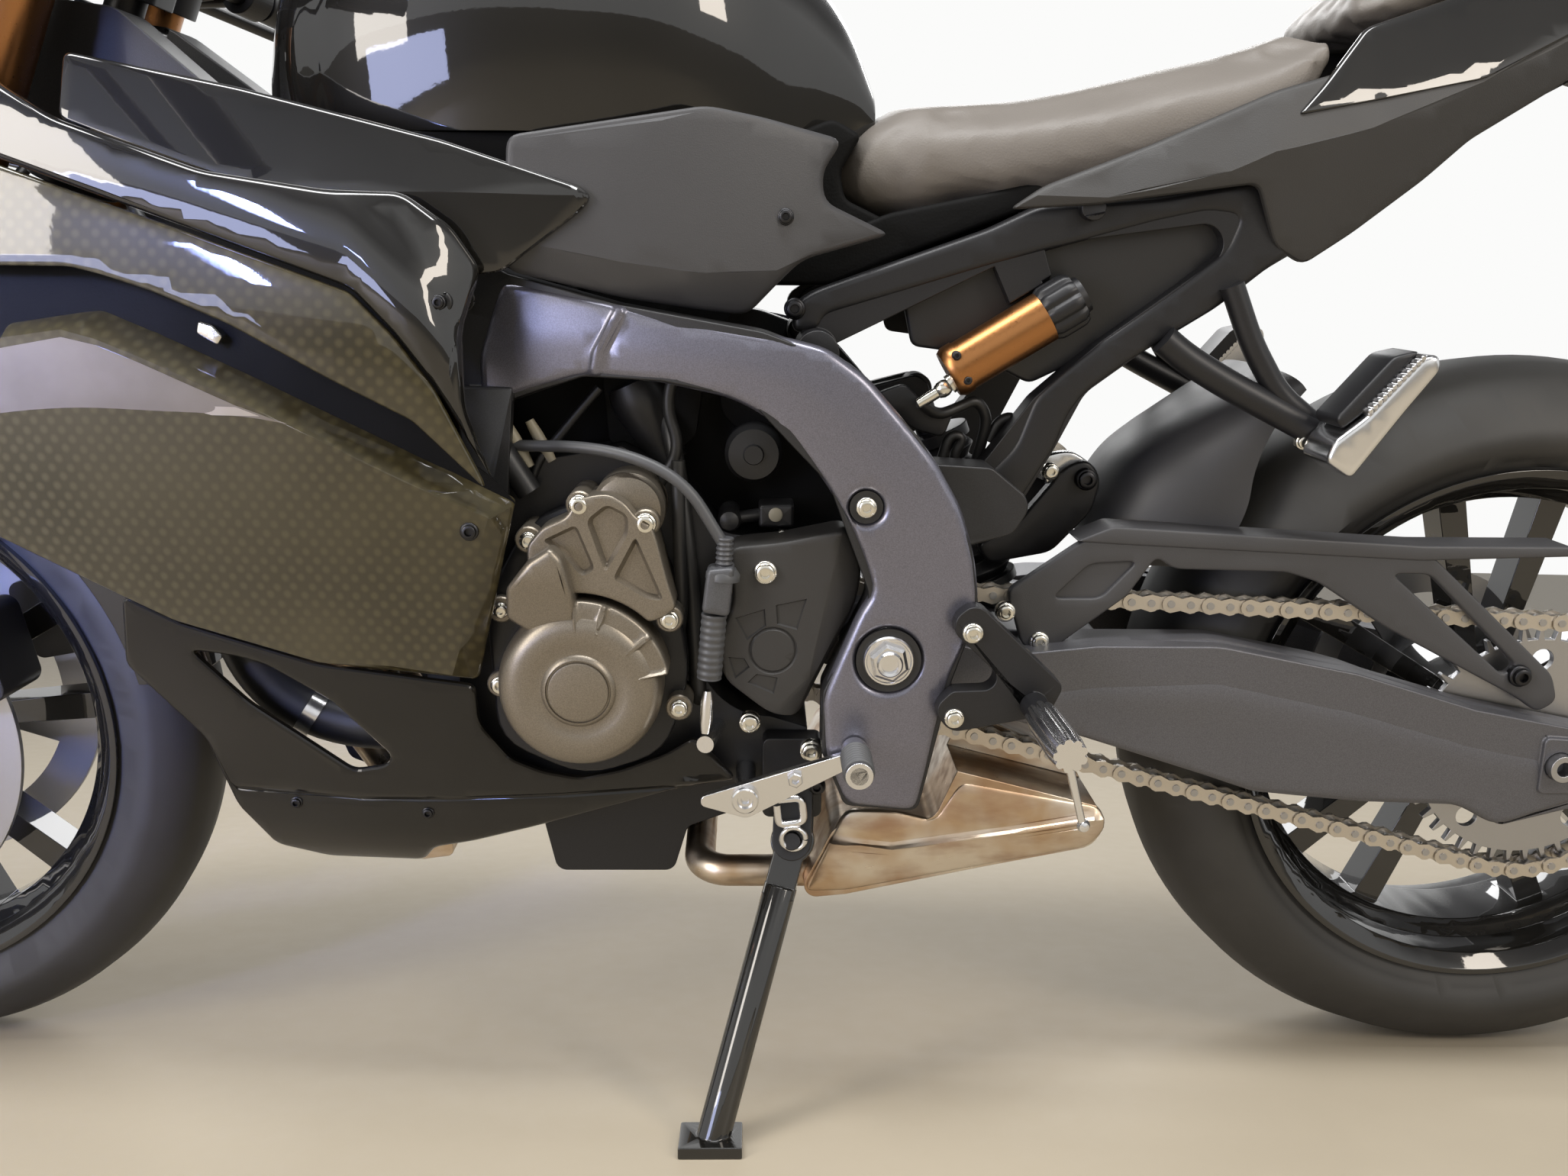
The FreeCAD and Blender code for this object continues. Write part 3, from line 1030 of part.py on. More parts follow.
def fairing_stay():
    """Stay from the steering head to the nose, carrying the instruments."""
    root, front = fork(880, HEAD_R - 1, 0), Vector(-1385, 0, 872)
    return fuse([rod(root, front, 16), rod(front + Vector(0, -170, 0), front + Vector(0, 170, 0), 9),
                 rod(front, (-1322, 0, 945), 9)])


def dash():
    return side_plate([(-1330, 930, 6), (-1310, 1010, 8), (-1296, 1014, 6), (-1312, 926, 6)], -80, 80)


def mirrors():
    """Mirrors on stalks: each head is its side outline and its front outline in common."""
    side = [(-1360, 1048, 20), (-1378, 1110, 25), (-1326, 1124, 25), (-1318, 1060, 20)]
    face = [(-345, 1074, 22), (-330, 1118, 25), (-262, 1112, 20), (-240, 1072, 14), (-270, 1052, 20)]
    head = side_plate(side, -360, -230).common(front_plate(face, -1400, -1300))
    return both(fuse([rod((-1395, -146, 900), (-1344, -292, 1082), 8), head]))


# Steering assembly
def on_fork(along):
    """A point on the left fork's middle line."""
    return fork(along, FORK_AHEAD, -FORK_SPREAD)


def fork_tubes():
    """Upper fork tubes with their caps and the adjusters on them."""
    tube = rod(on_fork(FORK_TUBE_LOW), on_fork(FORK_TOP), FORK_TUBE_R)
    cap = rod(on_fork(FORK_TOP - 1), on_fork(FORK_TOP + 6), FORK_TUBE_R - 3)
    adjuster = rod(on_fork(FORK_TOP), on_fork(FORK_TOP + 14), 8)
    return both(fuse([tube, cap, adjuster]))


def fork_legs():
    leg = rod(on_fork(AXLE_ALONG), on_fork(FORK_TUBE_LOW), FORK_LEG_R)
    casting = rod(on_fork(AXLE_ALONG), on_fork(AXLE_ALONG + 92), FORK_LEG_R + 4, FORK_LEG_R)
    lug = disc_y(FRONT_AXLE[0], FRONT_AXLE[1], -FORK_SPREAD - AXLE_LUG_HALF, -FORK_SPREAD + AXLE_LUG_HALF,
                 AXLE_LUG_R)
    whole = fuse([leg, casting, lug])
    return both(whole.cut(disc_y(FRONT_AXLE[0], FRONT_AXLE[1], -200, 0, FRONT_AXLE_R)))


def clamp_plate(along, thick, reach):
    """A triple clamp: two fork rings joined across the stem."""
    def place(p):
        return fork(along, p.x, p.y)

    inner = FORK_SPREAD - FORK_TUBE_R + 4
    points = [(-28, -18, 14), (-28, 18, 14), (FORK_AHEAD - 22, inner, 10), (FORK_AHEAD - 20, FORK_SPREAD),
              (FORK_AHEAD + 20, FORK_SPREAD), (FORK_AHEAD + 22, inner, 10), (reach, 30, 20), (reach, -30,
                                                                                              20),
              (FORK_AHEAD + 22, -inner, 10), (FORK_AHEAD + 20, -FORK_SPREAD), (FORK_AHEAD - 20,
                                                                               -FORK_SPREAD),
              (FORK_AHEAD - 22, -inner, 10)]
    up = Vector(SIN_RAKE, 0, COS_RAKE) * thick
    rings = [rod(fork(along, FORK_AHEAD, y), fork(along + thick, FORK_AHEAD, y), FORK_TUBE_R + 9)
             for y in (-FORK_SPREAD, FORK_SPREAD)]
    return fuse([outline(points, place).extrude(up)] + rings)


def fork_clamps():
    """Both clamps with the stem; a hole down the stem's top takes a clamp-on holder's plug."""
    low = clamp_plate(LOWER_CLAMP - CLAMP_T, CLAMP_T, 60)
    high = clamp_plate(UPPER_CLAMP, CLAMP_T, 44)
    stem = rod(fork(LOWER_CLAMP - CLAMP_T, 0, 0), fork(UPPER_CLAMP + CLAMP_T, 0, 0), STEM_R)
    whole = fuse([low, high, stem])
    for side in (-1, 1):
        whole = whole.cut(rod(fork(500, FORK_AHEAD, side * FORK_SPREAD), fork(1100, FORK_AHEAD,
                                                                              side * FORK_SPREAD),
                              FORK_TUBE_R + CLAMP_GAP))
    top = UPPER_CLAMP + CLAMP_T
    return whole.cut(rod(fork(top - STEM_HOLE_DEPTH, 0, 0), fork(top + 1, 0, 0), STEM_HOLE_R))


def hollow_axle(x, z, end, radius):
    """A wheel axle with a hole along its middle."""
    return disc_y(x, z, -end, end, radius).cut(disc_y(x, z, -end, end, AXLE_BORE_R))


BAR_ROOT = fork(UPPER_CLAMP + CLAMP_T + 14, FORK_AHEAD, -FORK_SPREAD)
BAR_END = Vector(BAR_ROOT.x + 88, -BAR_HALF, BAR_ROOT.z - 38)


def along_bar(share):
    return BAR_ROOT + (BAR_END - BAR_ROOT) * share


def clip_ons():
    """Clip-on bars: split clamp, bar, grip and end weight."""
    ring = rod(fork(UPPER_CLAMP + CLAMP_T + 1, FORK_AHEAD, -FORK_SPREAD),
               fork(UPPER_CLAMP + CLAMP_T + 27, FORK_AHEAD, -FORK_SPREAD), FORK_TUBE_R + 9)
    bar = rod(BAR_ROOT, along_bar(0.98), BAR_R)
    grip = rod(along_bar(0.46), along_bar(0.95), GRIP_R)
    weight = rod(along_bar(0.95), BAR_END, 17)
    left = fuse([ring, bar, grip, weight])
    return both(left.cut(rod(fork(900, FORK_AHEAD, -FORK_SPREAD), fork(1100, FORK_AHEAD, -FORK_SPREAD),
                             FORK_TUBE_R + CLAMP_GAP)))


def controls():
    """Lever perches with levers and fluid reservoirs ahead of the grips."""
    perch = rod(along_bar(0.34), along_bar(0.44), 19)
    ahead = Vector(-LEVER_REACH, 0, -2)
    pivot = fuse([rod(along_bar(0.39), along_bar(0.39) + ahead, 9)])
    blade = rod(along_bar(0.36) + ahead, along_bar(0.93) + ahead + Vector(8, 0, 0), 6)
    left = fuse([perch, pivot, blade])
    left = left.cut(rod(BAR_ROOT, BAR_END, BAR_R))
    return both(left)


def front_fender():
    """Arched front mudguard with its fork brackets."""
    r = FRONT_R + FENDER_GAP
    half = FRONT_HALF + 10
    out = half + FENDER_T
    x, z = FRONT_AXLE
    arc = turned([(-out, r - 40), (-out, r - 10), (-30, r + FENDER_T + 2), (30, r + FENDER_T + 2),
                  (out, r - 10), (out, r - 40), (half, r - 40), (half, r - 12), (30, r + 2), (-30, r + 2),
                  (-half, r - 12), (-half, r - 40)], x, z)
    keep = side_plate([(x, z + 30), (x - 250, z + 145), (x - 250, z + 340), (x + 330, z + 340), (x + 330,
                                                                                                 z + 60)],
                      -100, 100)
    seat = fork(602, FORK_AHEAD, 0)
    bosses = [disc_y(seat.x, seat.z, y, y + 14, 11) for y in (-half - 12, half - 2)]
    return fuse([arc.common(keep)] + bosses)


def front_calipers():
    """Four-piston radial calipers behind the fork legs."""
    x, z = FRONT_AXLE
    block = side_plate([(x + 118, z + 40, 10), (x + 172, z + 50, 12), (x + 156, z + 128, 12), (x + 98,
                                                                                               z + 110,
                                                                                               10)], -104,
                       -44)
    bracket = side_plate([(x + 20, z + 40, 8), (x + 120, z + 60, 8), (x + 112, z + 100, 8), (x + 30,
                                                                                             z + 110, 8)],
                         -112, -98)
    caps = [disc_y(x + a, z + b, -109, -103, 13) for a, b in ((137, 62), (130, 96))]
    return both(fuse([block.cut(disc_room(x, z, -FRONT_DISC_Y, FRONT_DISC_R)), bracket] + caps))


def brake_hoses():
    """From the master cylinder on the right bar to a splitter on the lower clamp and on to each caliper."""
    block = fork(LOWER_CLAMP - CLAMP_T / 2, 66, 0)
    splitter = Part.makeBox(16, 64, 18, block - Vector(8, 32, 9))
    right_bar = Vector(along_bar(0.36).x, -along_bar(0.36).y, along_bar(0.36).z)
    supply = bent_rod([right_bar + Vector(-24, -8, -2), fork(955, 82, 142), fork(925, 76, 100), fork(828,
                                                                                                     76,
                                                                                                     96),
                       fork(788, 76, 60), block + Vector(0, 26, 0)], BRAKE_HOSE_R, 30)
    left = bent_rod([block + Vector(0, -26, 0), fork(740, 66, -52), fork(705, -10, -62), fork(648, -12,
                                                                                              -100),
                     fork(520, -14, -100), Vector(FRONT_AXLE[0] + 138, -92, FRONT_AXLE[1] + 116)],
                    BRAKE_HOSE_R, 30)
    return [fuse([splitter, supply] + both(left))]


# Side stand
def unit(v):
    return Vector(v).normalize()


def lowest_of_tyre(half):
    """How far a leaned tyre reaches below the upright floor line, from its profile's corners."""
    return min(half * (crown_sag(share) * COS_LEAN - share * SIN_LEAN) for share in CROWN_SHARES)


FLOOR = min(lowest_of_tyre(REAR_HALF), lowest_of_tyre(FRONT_HALF))
PIVOT_POINT = Vector(STAND_PIVOT)
FOOT_POINT = Vector(STAND_FOOT[0], STAND_FOOT[1] * COS_LEAN + FLOOR * SIN_LEAN,
                    -STAND_FOOT[1] * SIN_LEAN + FLOOR * COS_LEAN)
STAND_DOWN = unit(FOOT_POINT - PIVOT_POINT)
STAND_AXIS = unit(STAND_DOWN.cross(unit(STAND_FOLDED)))
STAND_TRAVEL = math.degrees(STAND_DOWN.getAngle(Vector(STAND_FOLDED)))
FLOOR_UP = Vector(0, SIN_LEAN, COS_LEAN)


def side_stand():
    """Leg with its eye on the pivot pin and a flat foot on the floor."""
    eye = rod(PIVOT_POINT - STAND_AXIS * STAND_EYE_T / 2, PIVOT_POINT + STAND_AXIS * STAND_EYE_T / 2,
              STAND_EYE_R)
    wide = STAND_AXIS.cross(STAND_DOWN).normalize()
    base = PIVOT_POINT - STAND_AXIS * STAND_EYE_T / 2
    corners = [base + wide * a + STAND_DOWN * b for a, b in ((-12, 0), (12, 0), (12, 44), (-12, 44))]
    neck = Part.Face(Part.makePolygon(corners + corners[:1])).extrude(STAND_AXIS * STAND_EYE_T)
    leg = rod(PIVOT_POINT + STAND_DOWN * 36, FOOT_POINT - STAND_DOWN * 2, STAND_R)
    across = FLOOR_UP.cross(Vector(1, 0, 0)).normalize()
    corners = [FOOT_POINT + Vector(1, 0, 0) * a + across * b for a, b in ((-24, -22), (24, -22), (24, 22),
                                                                          (-24, 22))]
    foot = Part.Face(Part.makePolygon(corners + corners[:1])).extrude(FLOOR_UP * 9)
    floor_cut = Part.makeCylinder(80, 60, FOOT_POINT - FLOOR_UP * 60, FLOOR_UP)
    whole = fuse([eye, neck, leg, foot]).cut(floor_cut)
    return whole.cut(rod(PIVOT_POINT - STAND_AXIS * 40, PIVOT_POINT + STAND_AXIS * 40,
                         STAND_PIN_R + AXLE_CLEARANCE))


def stand_bracket():
    """Fork-ended bracket with the pivot pin, bolted to the crankcase."""
    gap, wall = STAND_EYE_T / 2 + 0.5, 7.0
    pin = rod(PIVOT_POINT - STAND_AXIS * (gap + wall + 4), PIVOT_POINT + STAND_AXIS * (gap + wall + 4),
              STAND_PIN_R)
    plates = []
    for side in (-1, 1):
        base = PIVOT_POINT + STAND_AXIS * (side * gap if side > 0 else side * (gap + wall))
        ring = rod(base, base + STAND_AXIS * wall, 15)
        up = unit(Vector(0, 0, 1) - STAND_AXIS * STAND_AXIS.z)
        along = STAND_AXIS.cross(up)
        low = [base + along * a + up * b for a, b in ((-15, 0), (15, 0), (15, 46), (-15, 46))]
        plate = Part.Face(Part.makePolygon(low + low[:1])).extrude(STAND_AXIS * wall)
        plates.append(fuse([ring, plate]))
    up = unit(Vector(0, 0, 1) - STAND_AXIS * STAND_AXIS.z)
    along = STAND_AXIS.cross(up)
    base = PIVOT_POINT - STAND_AXIS * (gap + wall) + up * 24
    corners = [base + along * a + up * b for a, b in ((-15, 0), (15, 0), (15, 22), (-15, 22))]
    bridge = Part.Face(Part.makePolygon(corners + corners[:1])).extrude(STAND_AXIS * (2 * gap + 2 * wall))
    foot = side_plate([(-638, 280, 6), (-592, 280, 6), (-592, 345, 6), (-638, 345, 6)], -172, -CASE_HALF)
    return fuse([pin, bridge, foot] + plates)


# All pieces
def build():
    front = FRONT_AXLE
    nose, lenses = nose_cowl()
    nodes = {
        "frame": frame(),
        "swingarm_arms": both(swing_arm()),
        "swingarm_bridge": swing_bridge(),
        "pivot_shaft": pivot_shaft(),
        "engine": engine(),
        "engine_covers": engine_covers(),
        "sprocket_cover": sprocket_cover(),
        "radiator": radiator(),
        "airbox": airbox(),
        "hoses": hoses(),
        "exhaust_headers": exhaust_headers(),
        "exhaust_chamber": exhaust_chamber(),
        "side_fairings": both(panel(SIDE_PANEL)),
        "upper_fairings": both(panel(UPPER_PANEL)),
        "gloss_covers": both(panel(GLOSS_PANEL)),
        "belly_cowls": belly_cowls(),
        "nose_cowl": nose,
        "windscreen": windscreen(),
        "headlamps": lenses,
        "fairing_stay": fairing_stay(),
        "dash": dash(),
        "mirrors": mirrors(),
        "fuel_tank": fuel_tank(),
        "fuel_cap": fuel_cap(),
        "tank_covers": tank_covers(),
        "rider_seat": rider_seat(),
        "pillion_seat": pillion_seat(),
        "seat_pan": seat_pan(),
        "subframe": subframe(),
        "tail_covers": tail_covers(),
        "tail_lamp": tail_lamp(),
        "plate_bracket": plate_bracket(),
        "rear_shock": rear_shock(),
        "shock_reservoir": shock_reservoir(),
        "chain_guard": chain_guard(),
        "chain": chain(),
        "drive_sprocket": drive_sprocket(),
        "rear_caliper": rear_caliper(),
        "rear_axle": hollow_axle(0, REAR_R, REAR_AXLE_END, REAR_AXLE_R),
        "footrests": footrests(),
        "foot_levers": foot_levers(),
        "passenger_footrests": passenger_footrests(),
        "stand_bracket": stand_bracket(),
        "side_stand": side_stand(),
        "fork_tubes": fork_tubes(),
        "fork_legs": fork_legs(),
        "fork_clamps": fork_clamps(),
        "front_axle": hollow_axle(front[0], front[1], FRONT_AXLE_END, FRONT_AXLE_R),
        "clip_ons": clip_ons(),
        "controls": controls(),
        "front_fender": front_fender(),
        "front_calipers": front_calipers(),
        "brake_hoses": brake_hoses(),
        "front_tyre": tyre(front[0], front[1], FRONT_R, FRONT_HALF, FRONT_BEAD),
        "front_rim": rim(front[0], front[1], FRONT_BEAD, FRONT_HUB_R, FRONT_DISC_Y - DISC_T / 2,
                         FRONT_AXLE_R + AXLE_CLEARANCE),
        "front_discs": both(brake_disc(front[0], front[1], -FRONT_DISC_Y, FRONT_DISC_R, 60,
                                       FRONT_AXLE_R + AXLE_CLEARANCE, -FRONT_DISC_Y + DISC_T / 2)),
        "rear_tyre": tyre(0, REAR_R, REAR_R, REAR_HALF, REAR_BEAD),
        "rear_rim": rim(0, REAR_R, REAR_BEAD, REAR_HUB_R, REAR_HUB_END, REAR_AXLE_R + AXLE_CLEARANCE),
        "rear_disc": brake_disc(0, REAR_R, REAR_DISC_Y, REAR_DISC_R, 50, REAR_AXLE_R + AXLE_CLEARANCE,
                                REAR_HUB_END),
        "rear_sprocket": sprocket(),
    }
    return nodes


# Pieces that are trimmed to the piece they seat on
GIVES_WAY = [
    ("frame", ["side_fairings", "upper_fairings", "gloss_covers", "exhaust_headers"]),
    ("exhaust_headers", ["engine", "exhaust_chamber"]),
    ("engine_covers", ["engine"]),
    ("sprocket_cover", ["frame", "engine"]),
    ("chain_guard", ["swingarm_arms"]),
    ("front_calipers", ["fork_legs"]),
    ("front_fender", ["fork_tubes", "fork_legs"]),
    ("fairing_stay", ["nose_cowl", "frame", "dash"]),
    ("stand_bracket", ["engine"]),
    ("mirrors", ["nose_cowl", "windscreen"]),
    ("tail_lamp", ["tail_covers"]),
    ("radiator", ["frame"]),
    ("airbox", ["frame", "engine"]),
    ("hoses", ["engine", "engine_covers", "sprocket_cover", "frame", "radiator", "airbox"]),
    ("brake_hoses", ["fork_clamps", "front_calipers", "controls"]),
    ("rear_shock", ["swingarm_bridge"]),
    ("tank_covers", ["frame"]),
    ("footrests", ["frame"]),
    ("subframe", ["frame", "tail_covers", "shock_reservoir"]),
    ("rider_seat", ["fuel_tank", "tank_covers", "tail_covers", "subframe"]),
    ("seat_pan", ["rear_shock", "shock_reservoir"]),
]


def solids_of(value):
    shapes = value if isinstance(value, list) else [value]
    return [s for shape in shapes for s in shape.Solids]


def trimmed(solid, tools):
    """The solid cut back to what it seats on, without the offcuts."""
    return max(solid.cut(tools).Solids, key=lambda part: part.Volume)


def seated():
    """All nodes as lists of solids, each trimmed to the pieces it seats on."""
    nodes = {name: solids_of(value) for name, value in build().items()}
    for name, others in GIVES_WAY:
        tools = [s for other in others for s in nodes[other]]
        nodes[name] = [trimmed(s, tools) for s in nodes[name]]
    return nodes


def main():
    os.makedirs("parts", exist_ok=True)
    nodes = seated()
    lean = FreeCAD.Placement(Vector(), FreeCAD.Rotation(Vector(1, 0, 0), LEAN))
    leaned = {name: Part.makeCompound(solids).transformed(lean.toMatrix(), True) for name,
              solids in nodes.items()}
    boxes = [s.BoundBox for s in leaned.values()]
    shift = Vector(-(min(b.XMin for b in boxes) + max(b.XMax for b in boxes)) / 2,
                   -(min(b.YMin for b in boxes) + max(b.YMax for b in boxes)) / 2,
                   -min(b.ZMin for b in boxes))
    move = FreeCAD.Placement(shift, FreeCAD.Rotation()).toMatrix()
    for name, shape in leaned.items():
        placed = shape.transformed(move, True)
        out = placed if len(placed.Solids) > 1 else placed.Solids[0]
        out.exportStep("parts/" + name + ".step")
    print("shift", [round(v, 4) for v in shift], "nodes", len(leaned))
    print("steering lock", STEER_LOCK, "stand axis", [round(v, 6) for v in STAND_AXIS],
          "stand travel", round(STAND_TRAVEL, 3))
    print("cap hinge", [round(v, 3) for v in CAP_HINGE], "cap opens", CAP_OPEN)


main()
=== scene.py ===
# %% [markdown]
# A sport motorcycle parked on its side stand, dressed for the camera.
#
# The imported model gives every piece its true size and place. This file puts the looks round it: painted
# skins, cast covers, chain links, tread, hoses, and the finish of each surface. It reads top to bottom, one
# piece or one finish at a time. All new shapes are worked out in the bike's own upright frame in
# millimetres, and one function leans them onto the stand at the end.

# %% The frame and the numbers it gives
import bmesh
import bpy
import json
import math
import numpy as np
from mathutils import Matrix, Vector
from mathutils.geometry import delaunay_2d_cdt

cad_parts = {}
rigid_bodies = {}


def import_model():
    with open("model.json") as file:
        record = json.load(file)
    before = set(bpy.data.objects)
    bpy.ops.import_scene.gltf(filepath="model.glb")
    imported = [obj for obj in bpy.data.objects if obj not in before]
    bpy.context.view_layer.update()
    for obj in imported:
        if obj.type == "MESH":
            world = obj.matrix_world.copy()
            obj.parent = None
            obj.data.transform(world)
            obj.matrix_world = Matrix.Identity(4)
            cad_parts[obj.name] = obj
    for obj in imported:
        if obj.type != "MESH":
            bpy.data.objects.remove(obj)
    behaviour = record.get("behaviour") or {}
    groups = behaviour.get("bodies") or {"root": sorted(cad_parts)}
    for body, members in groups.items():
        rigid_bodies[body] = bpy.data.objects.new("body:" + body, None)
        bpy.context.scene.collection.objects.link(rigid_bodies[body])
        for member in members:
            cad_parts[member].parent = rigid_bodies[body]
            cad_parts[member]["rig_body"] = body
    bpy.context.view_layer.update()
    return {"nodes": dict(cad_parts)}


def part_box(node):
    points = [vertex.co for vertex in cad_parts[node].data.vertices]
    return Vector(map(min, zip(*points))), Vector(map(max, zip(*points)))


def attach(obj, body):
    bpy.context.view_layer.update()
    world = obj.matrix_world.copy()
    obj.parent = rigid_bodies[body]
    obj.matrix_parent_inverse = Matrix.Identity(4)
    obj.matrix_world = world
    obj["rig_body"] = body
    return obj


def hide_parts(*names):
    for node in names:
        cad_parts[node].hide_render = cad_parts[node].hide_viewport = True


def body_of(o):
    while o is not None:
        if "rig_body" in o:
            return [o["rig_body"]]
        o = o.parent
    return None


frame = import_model()
nodes = frame["nodes"]

# %% [markdown]
# The bike leans on its stand, so a drawing of it is easiest to read upright: X to the rear, -Y to the
# rider's left, Z up, with the floor line under the rear axle as origin. The rear rim is round about its
# axle, so the middle of its box is the wheel's centre, and that fixes the whole transform.

# %% From the upright drawing to the parked bike
LEAN = math.radians(11.1)
REAR_R, FRONT_R, WHEELBASE = 315.0, 300.0, 1420.0
LEFT, RIGHT = -1.0, 1.0


def middle(node):
    """The middle of a CAD node's box, in metres."""
    low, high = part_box(node)
    return np.array((low + high) / 2)


LEAN_MATRIX = np.array([[1, 0, 0], [0, math.cos(LEAN), -math.sin(LEAN)],
                        [0, math.sin(LEAN), math.cos(LEAN)]])
SHIFT = middle("rear_rim") - LEAN_MATRIX @ np.array([0, 0, REAR_R]) / 1000


def parked(points):
    """Upright millimetres to parked metres: turn about X by the lean, scale, then shift."""
    return np.asarray(points, float).reshape(-1, 3) @ LEAN_MATRIX.T / 1000 + SHIFT


front_error = np.abs(parked([-WHEELBASE, 0, FRONT_R])[0] - middle("front_rim")).max() * 1000
print("front wheel lands %.2f mm from its node" % front_error)

# %% [markdown]
# The photograph was taken from a low stool beside the engine, a little over a metre away. The place and
# the angles of that view come from fitting a pinhole camera to both wheels, the discs and the sprocket.

# %% Camera
PICTURE_WIDTH = 2054     # pixels, and 1541 high
FOCAL_PIXELS = 1763.975
CAMERA_PLACE = np.array([-0.64361, -1.26475, 0.47313])   # metres from the upright origin, after the lean
CAMERA_YAW, CAMERA_PITCH, CAMERA_ROLL = (math.radians(v) for v in (1.1876, 2.8611, 0.3344))


def camera_axes():
    """Right, up and forward of a level camera that is yawed, pitched down and rolled."""
    forward = np.array([math.sin(CAMERA_YAW) * math.cos(CAMERA_PITCH),
                        math.cos(CAMERA_YAW) * math.cos(CAMERA_PITCH), -math.sin(CAMERA_PITCH)])
    level = np.array([math.cos(CAMERA_YAW), -math.sin(CAMERA_YAW), 0])
    above = np.cross(level, forward)
    right = level * math.cos(CAMERA_ROLL) + above * math.sin(CAMERA_ROLL)
    up = above * math.cos(CAMERA_ROLL) - level * math.sin(CAMERA_ROLL)
    return right, up, forward


def add_camera():
    """A camera with its axes as columns; it looks along its own -Z."""
    right, up, forward = camera_axes()
    data = bpy.data.cameras.new("camera")
    data.sensor_fit = "HORIZONTAL"
    data.sensor_width = 36.0
    data.lens = FOCAL_PIXELS / PICTURE_WIDTH * data.sensor_width
    camera = bpy.data.objects.new("camera", data)
    bpy.context.scene.collection.objects.link(camera)
    turn = np.eye(4)
    turn[:3, :3] = np.column_stack([right, up, -forward])
    turn[:3, 3] = CAMERA_PLACE + SHIFT
    camera.matrix_world = Matrix(turn.tolist())
    bpy.context.scene.camera = camera
    return camera


camera = add_camera()
print("lens %.2f mm" % camera.data.lens)

# %% [markdown]
# Node materials are built with one helper: it adds a node, sets its inputs by name and wires the rest.
# Colours are written the way a paint chart gives them, as sRGB hex, and turned to linear once.

# %% Colour and node helpers
def colour(code, alpha=1.0):
    """sRGB hex to linear RGBA: the standard curve, (c + 0.055) / 1.055 to the power 2.4 above 0.04045."""
    values = [int(code[i:i + 2], 16) / 255 for i in (1, 3, 5)]
    return [v / 12.92 if v <= 0.04045 else ((v + 0.055) / 1.055) ** 2.4 for v in values] + [alpha]


def brighter(code, factor):
    """The linear colour times a factor, at most 1."""
    return [min(1.0, c * factor) for c in colour(code)[:3]] + [1.0]


def add(tree, kind, inputs=None, **settings):
    """Adds one shader node; inputs maps a socket name or number to a value or to another node's output."""
    node = tree.nodes.new(kind)
    for name, value in settings.items():
        setattr(node, name, value)
    for name, value in (inputs or {}).items():
        socket = node.inputs[name]
        if isinstance(value, bpy.types.NodeSocket):
            tree.links.new(value, socket)
        else:
            socket.default_value = value
    return node


def new_material(name, **inputs):
    """A material with one Principled surface; returns it with its tree and that surface."""
    material = bpy.data.materials.new(name)
    material.use_nodes = True
    tree = material.node_tree
    tree.nodes.clear()
    surface = add(tree, "ShaderNodeBsdfPrincipled", {k.replace("_", " "): v for k, v in inputs.items()})
    out = add(tree, "ShaderNodeOutputMaterial")
    tree.links.new(surface.outputs[0], out.inputs[0])
    print("material", name)
    return material, tree, surface


# %% Helpers for patterns, bumps and blends
def pattern(tree, size, detail=2.0, kind="ShaderNodeTexNoise", stretch=(1, 1, 1), **settings):
    """A noise in object space whose features are size
    millimetres across, longer where stretch is above 1."""
    place = add(tree, "ShaderNodeTexCoord").outputs["Object"]
    place = add(tree, "ShaderNodeMapping", {"Vector": place, "Scale": [1 / s for s in stretch]}).outputs[0]
    inputs = {"Vector": place, "Scale": 1000.0 / size}
    if kind == "ShaderNodeTexNoise":
        inputs["Detail"] = detail
    return add(tree, kind, inputs, **settings).outputs[0]


def bump(tree, height, depth_mm):
    """A bump of a real depth in millimetres."""
    inputs = {"Strength": 1.0, "Distance": depth_mm / 1000, "Height": height}
    return add(tree, "ShaderNodeBump", inputs).outputs[0]


def ramp(tree, value, low, high, first, last):
    """Maps a value between low and high onto two values."""
    inputs = {"Value": value, "From Min": low, "From Max": high, "To Min": first, "To Max": last}
    return add(tree, "ShaderNodeMapRange", inputs).outputs[0]


def blend(tree, factor, first, second):
    """A mix of two colours."""
    return add(tree, "ShaderNodeMix", {0: factor, 6: first, 7: second}, data_type="RGBA").outputs[2]


def wire(tree, surface, **sockets):
    """Links node outputs to the surface's sockets by name."""
    for name, output in sockets.items():
        tree.links.new(output, surface.inputs[name.replace("_", " ")])


# %% [markdown]
# Body panels are ABS sprayed gloss black under clear lacquer. Black lacquer shows almost nothing of its
# own: the eye reads the mirror in the coat, a faint orange peel about 3 mm across, and very fine dust.
# The side panels have a woven look under the lacquer, made here as a diagonal lattice of paler spots.

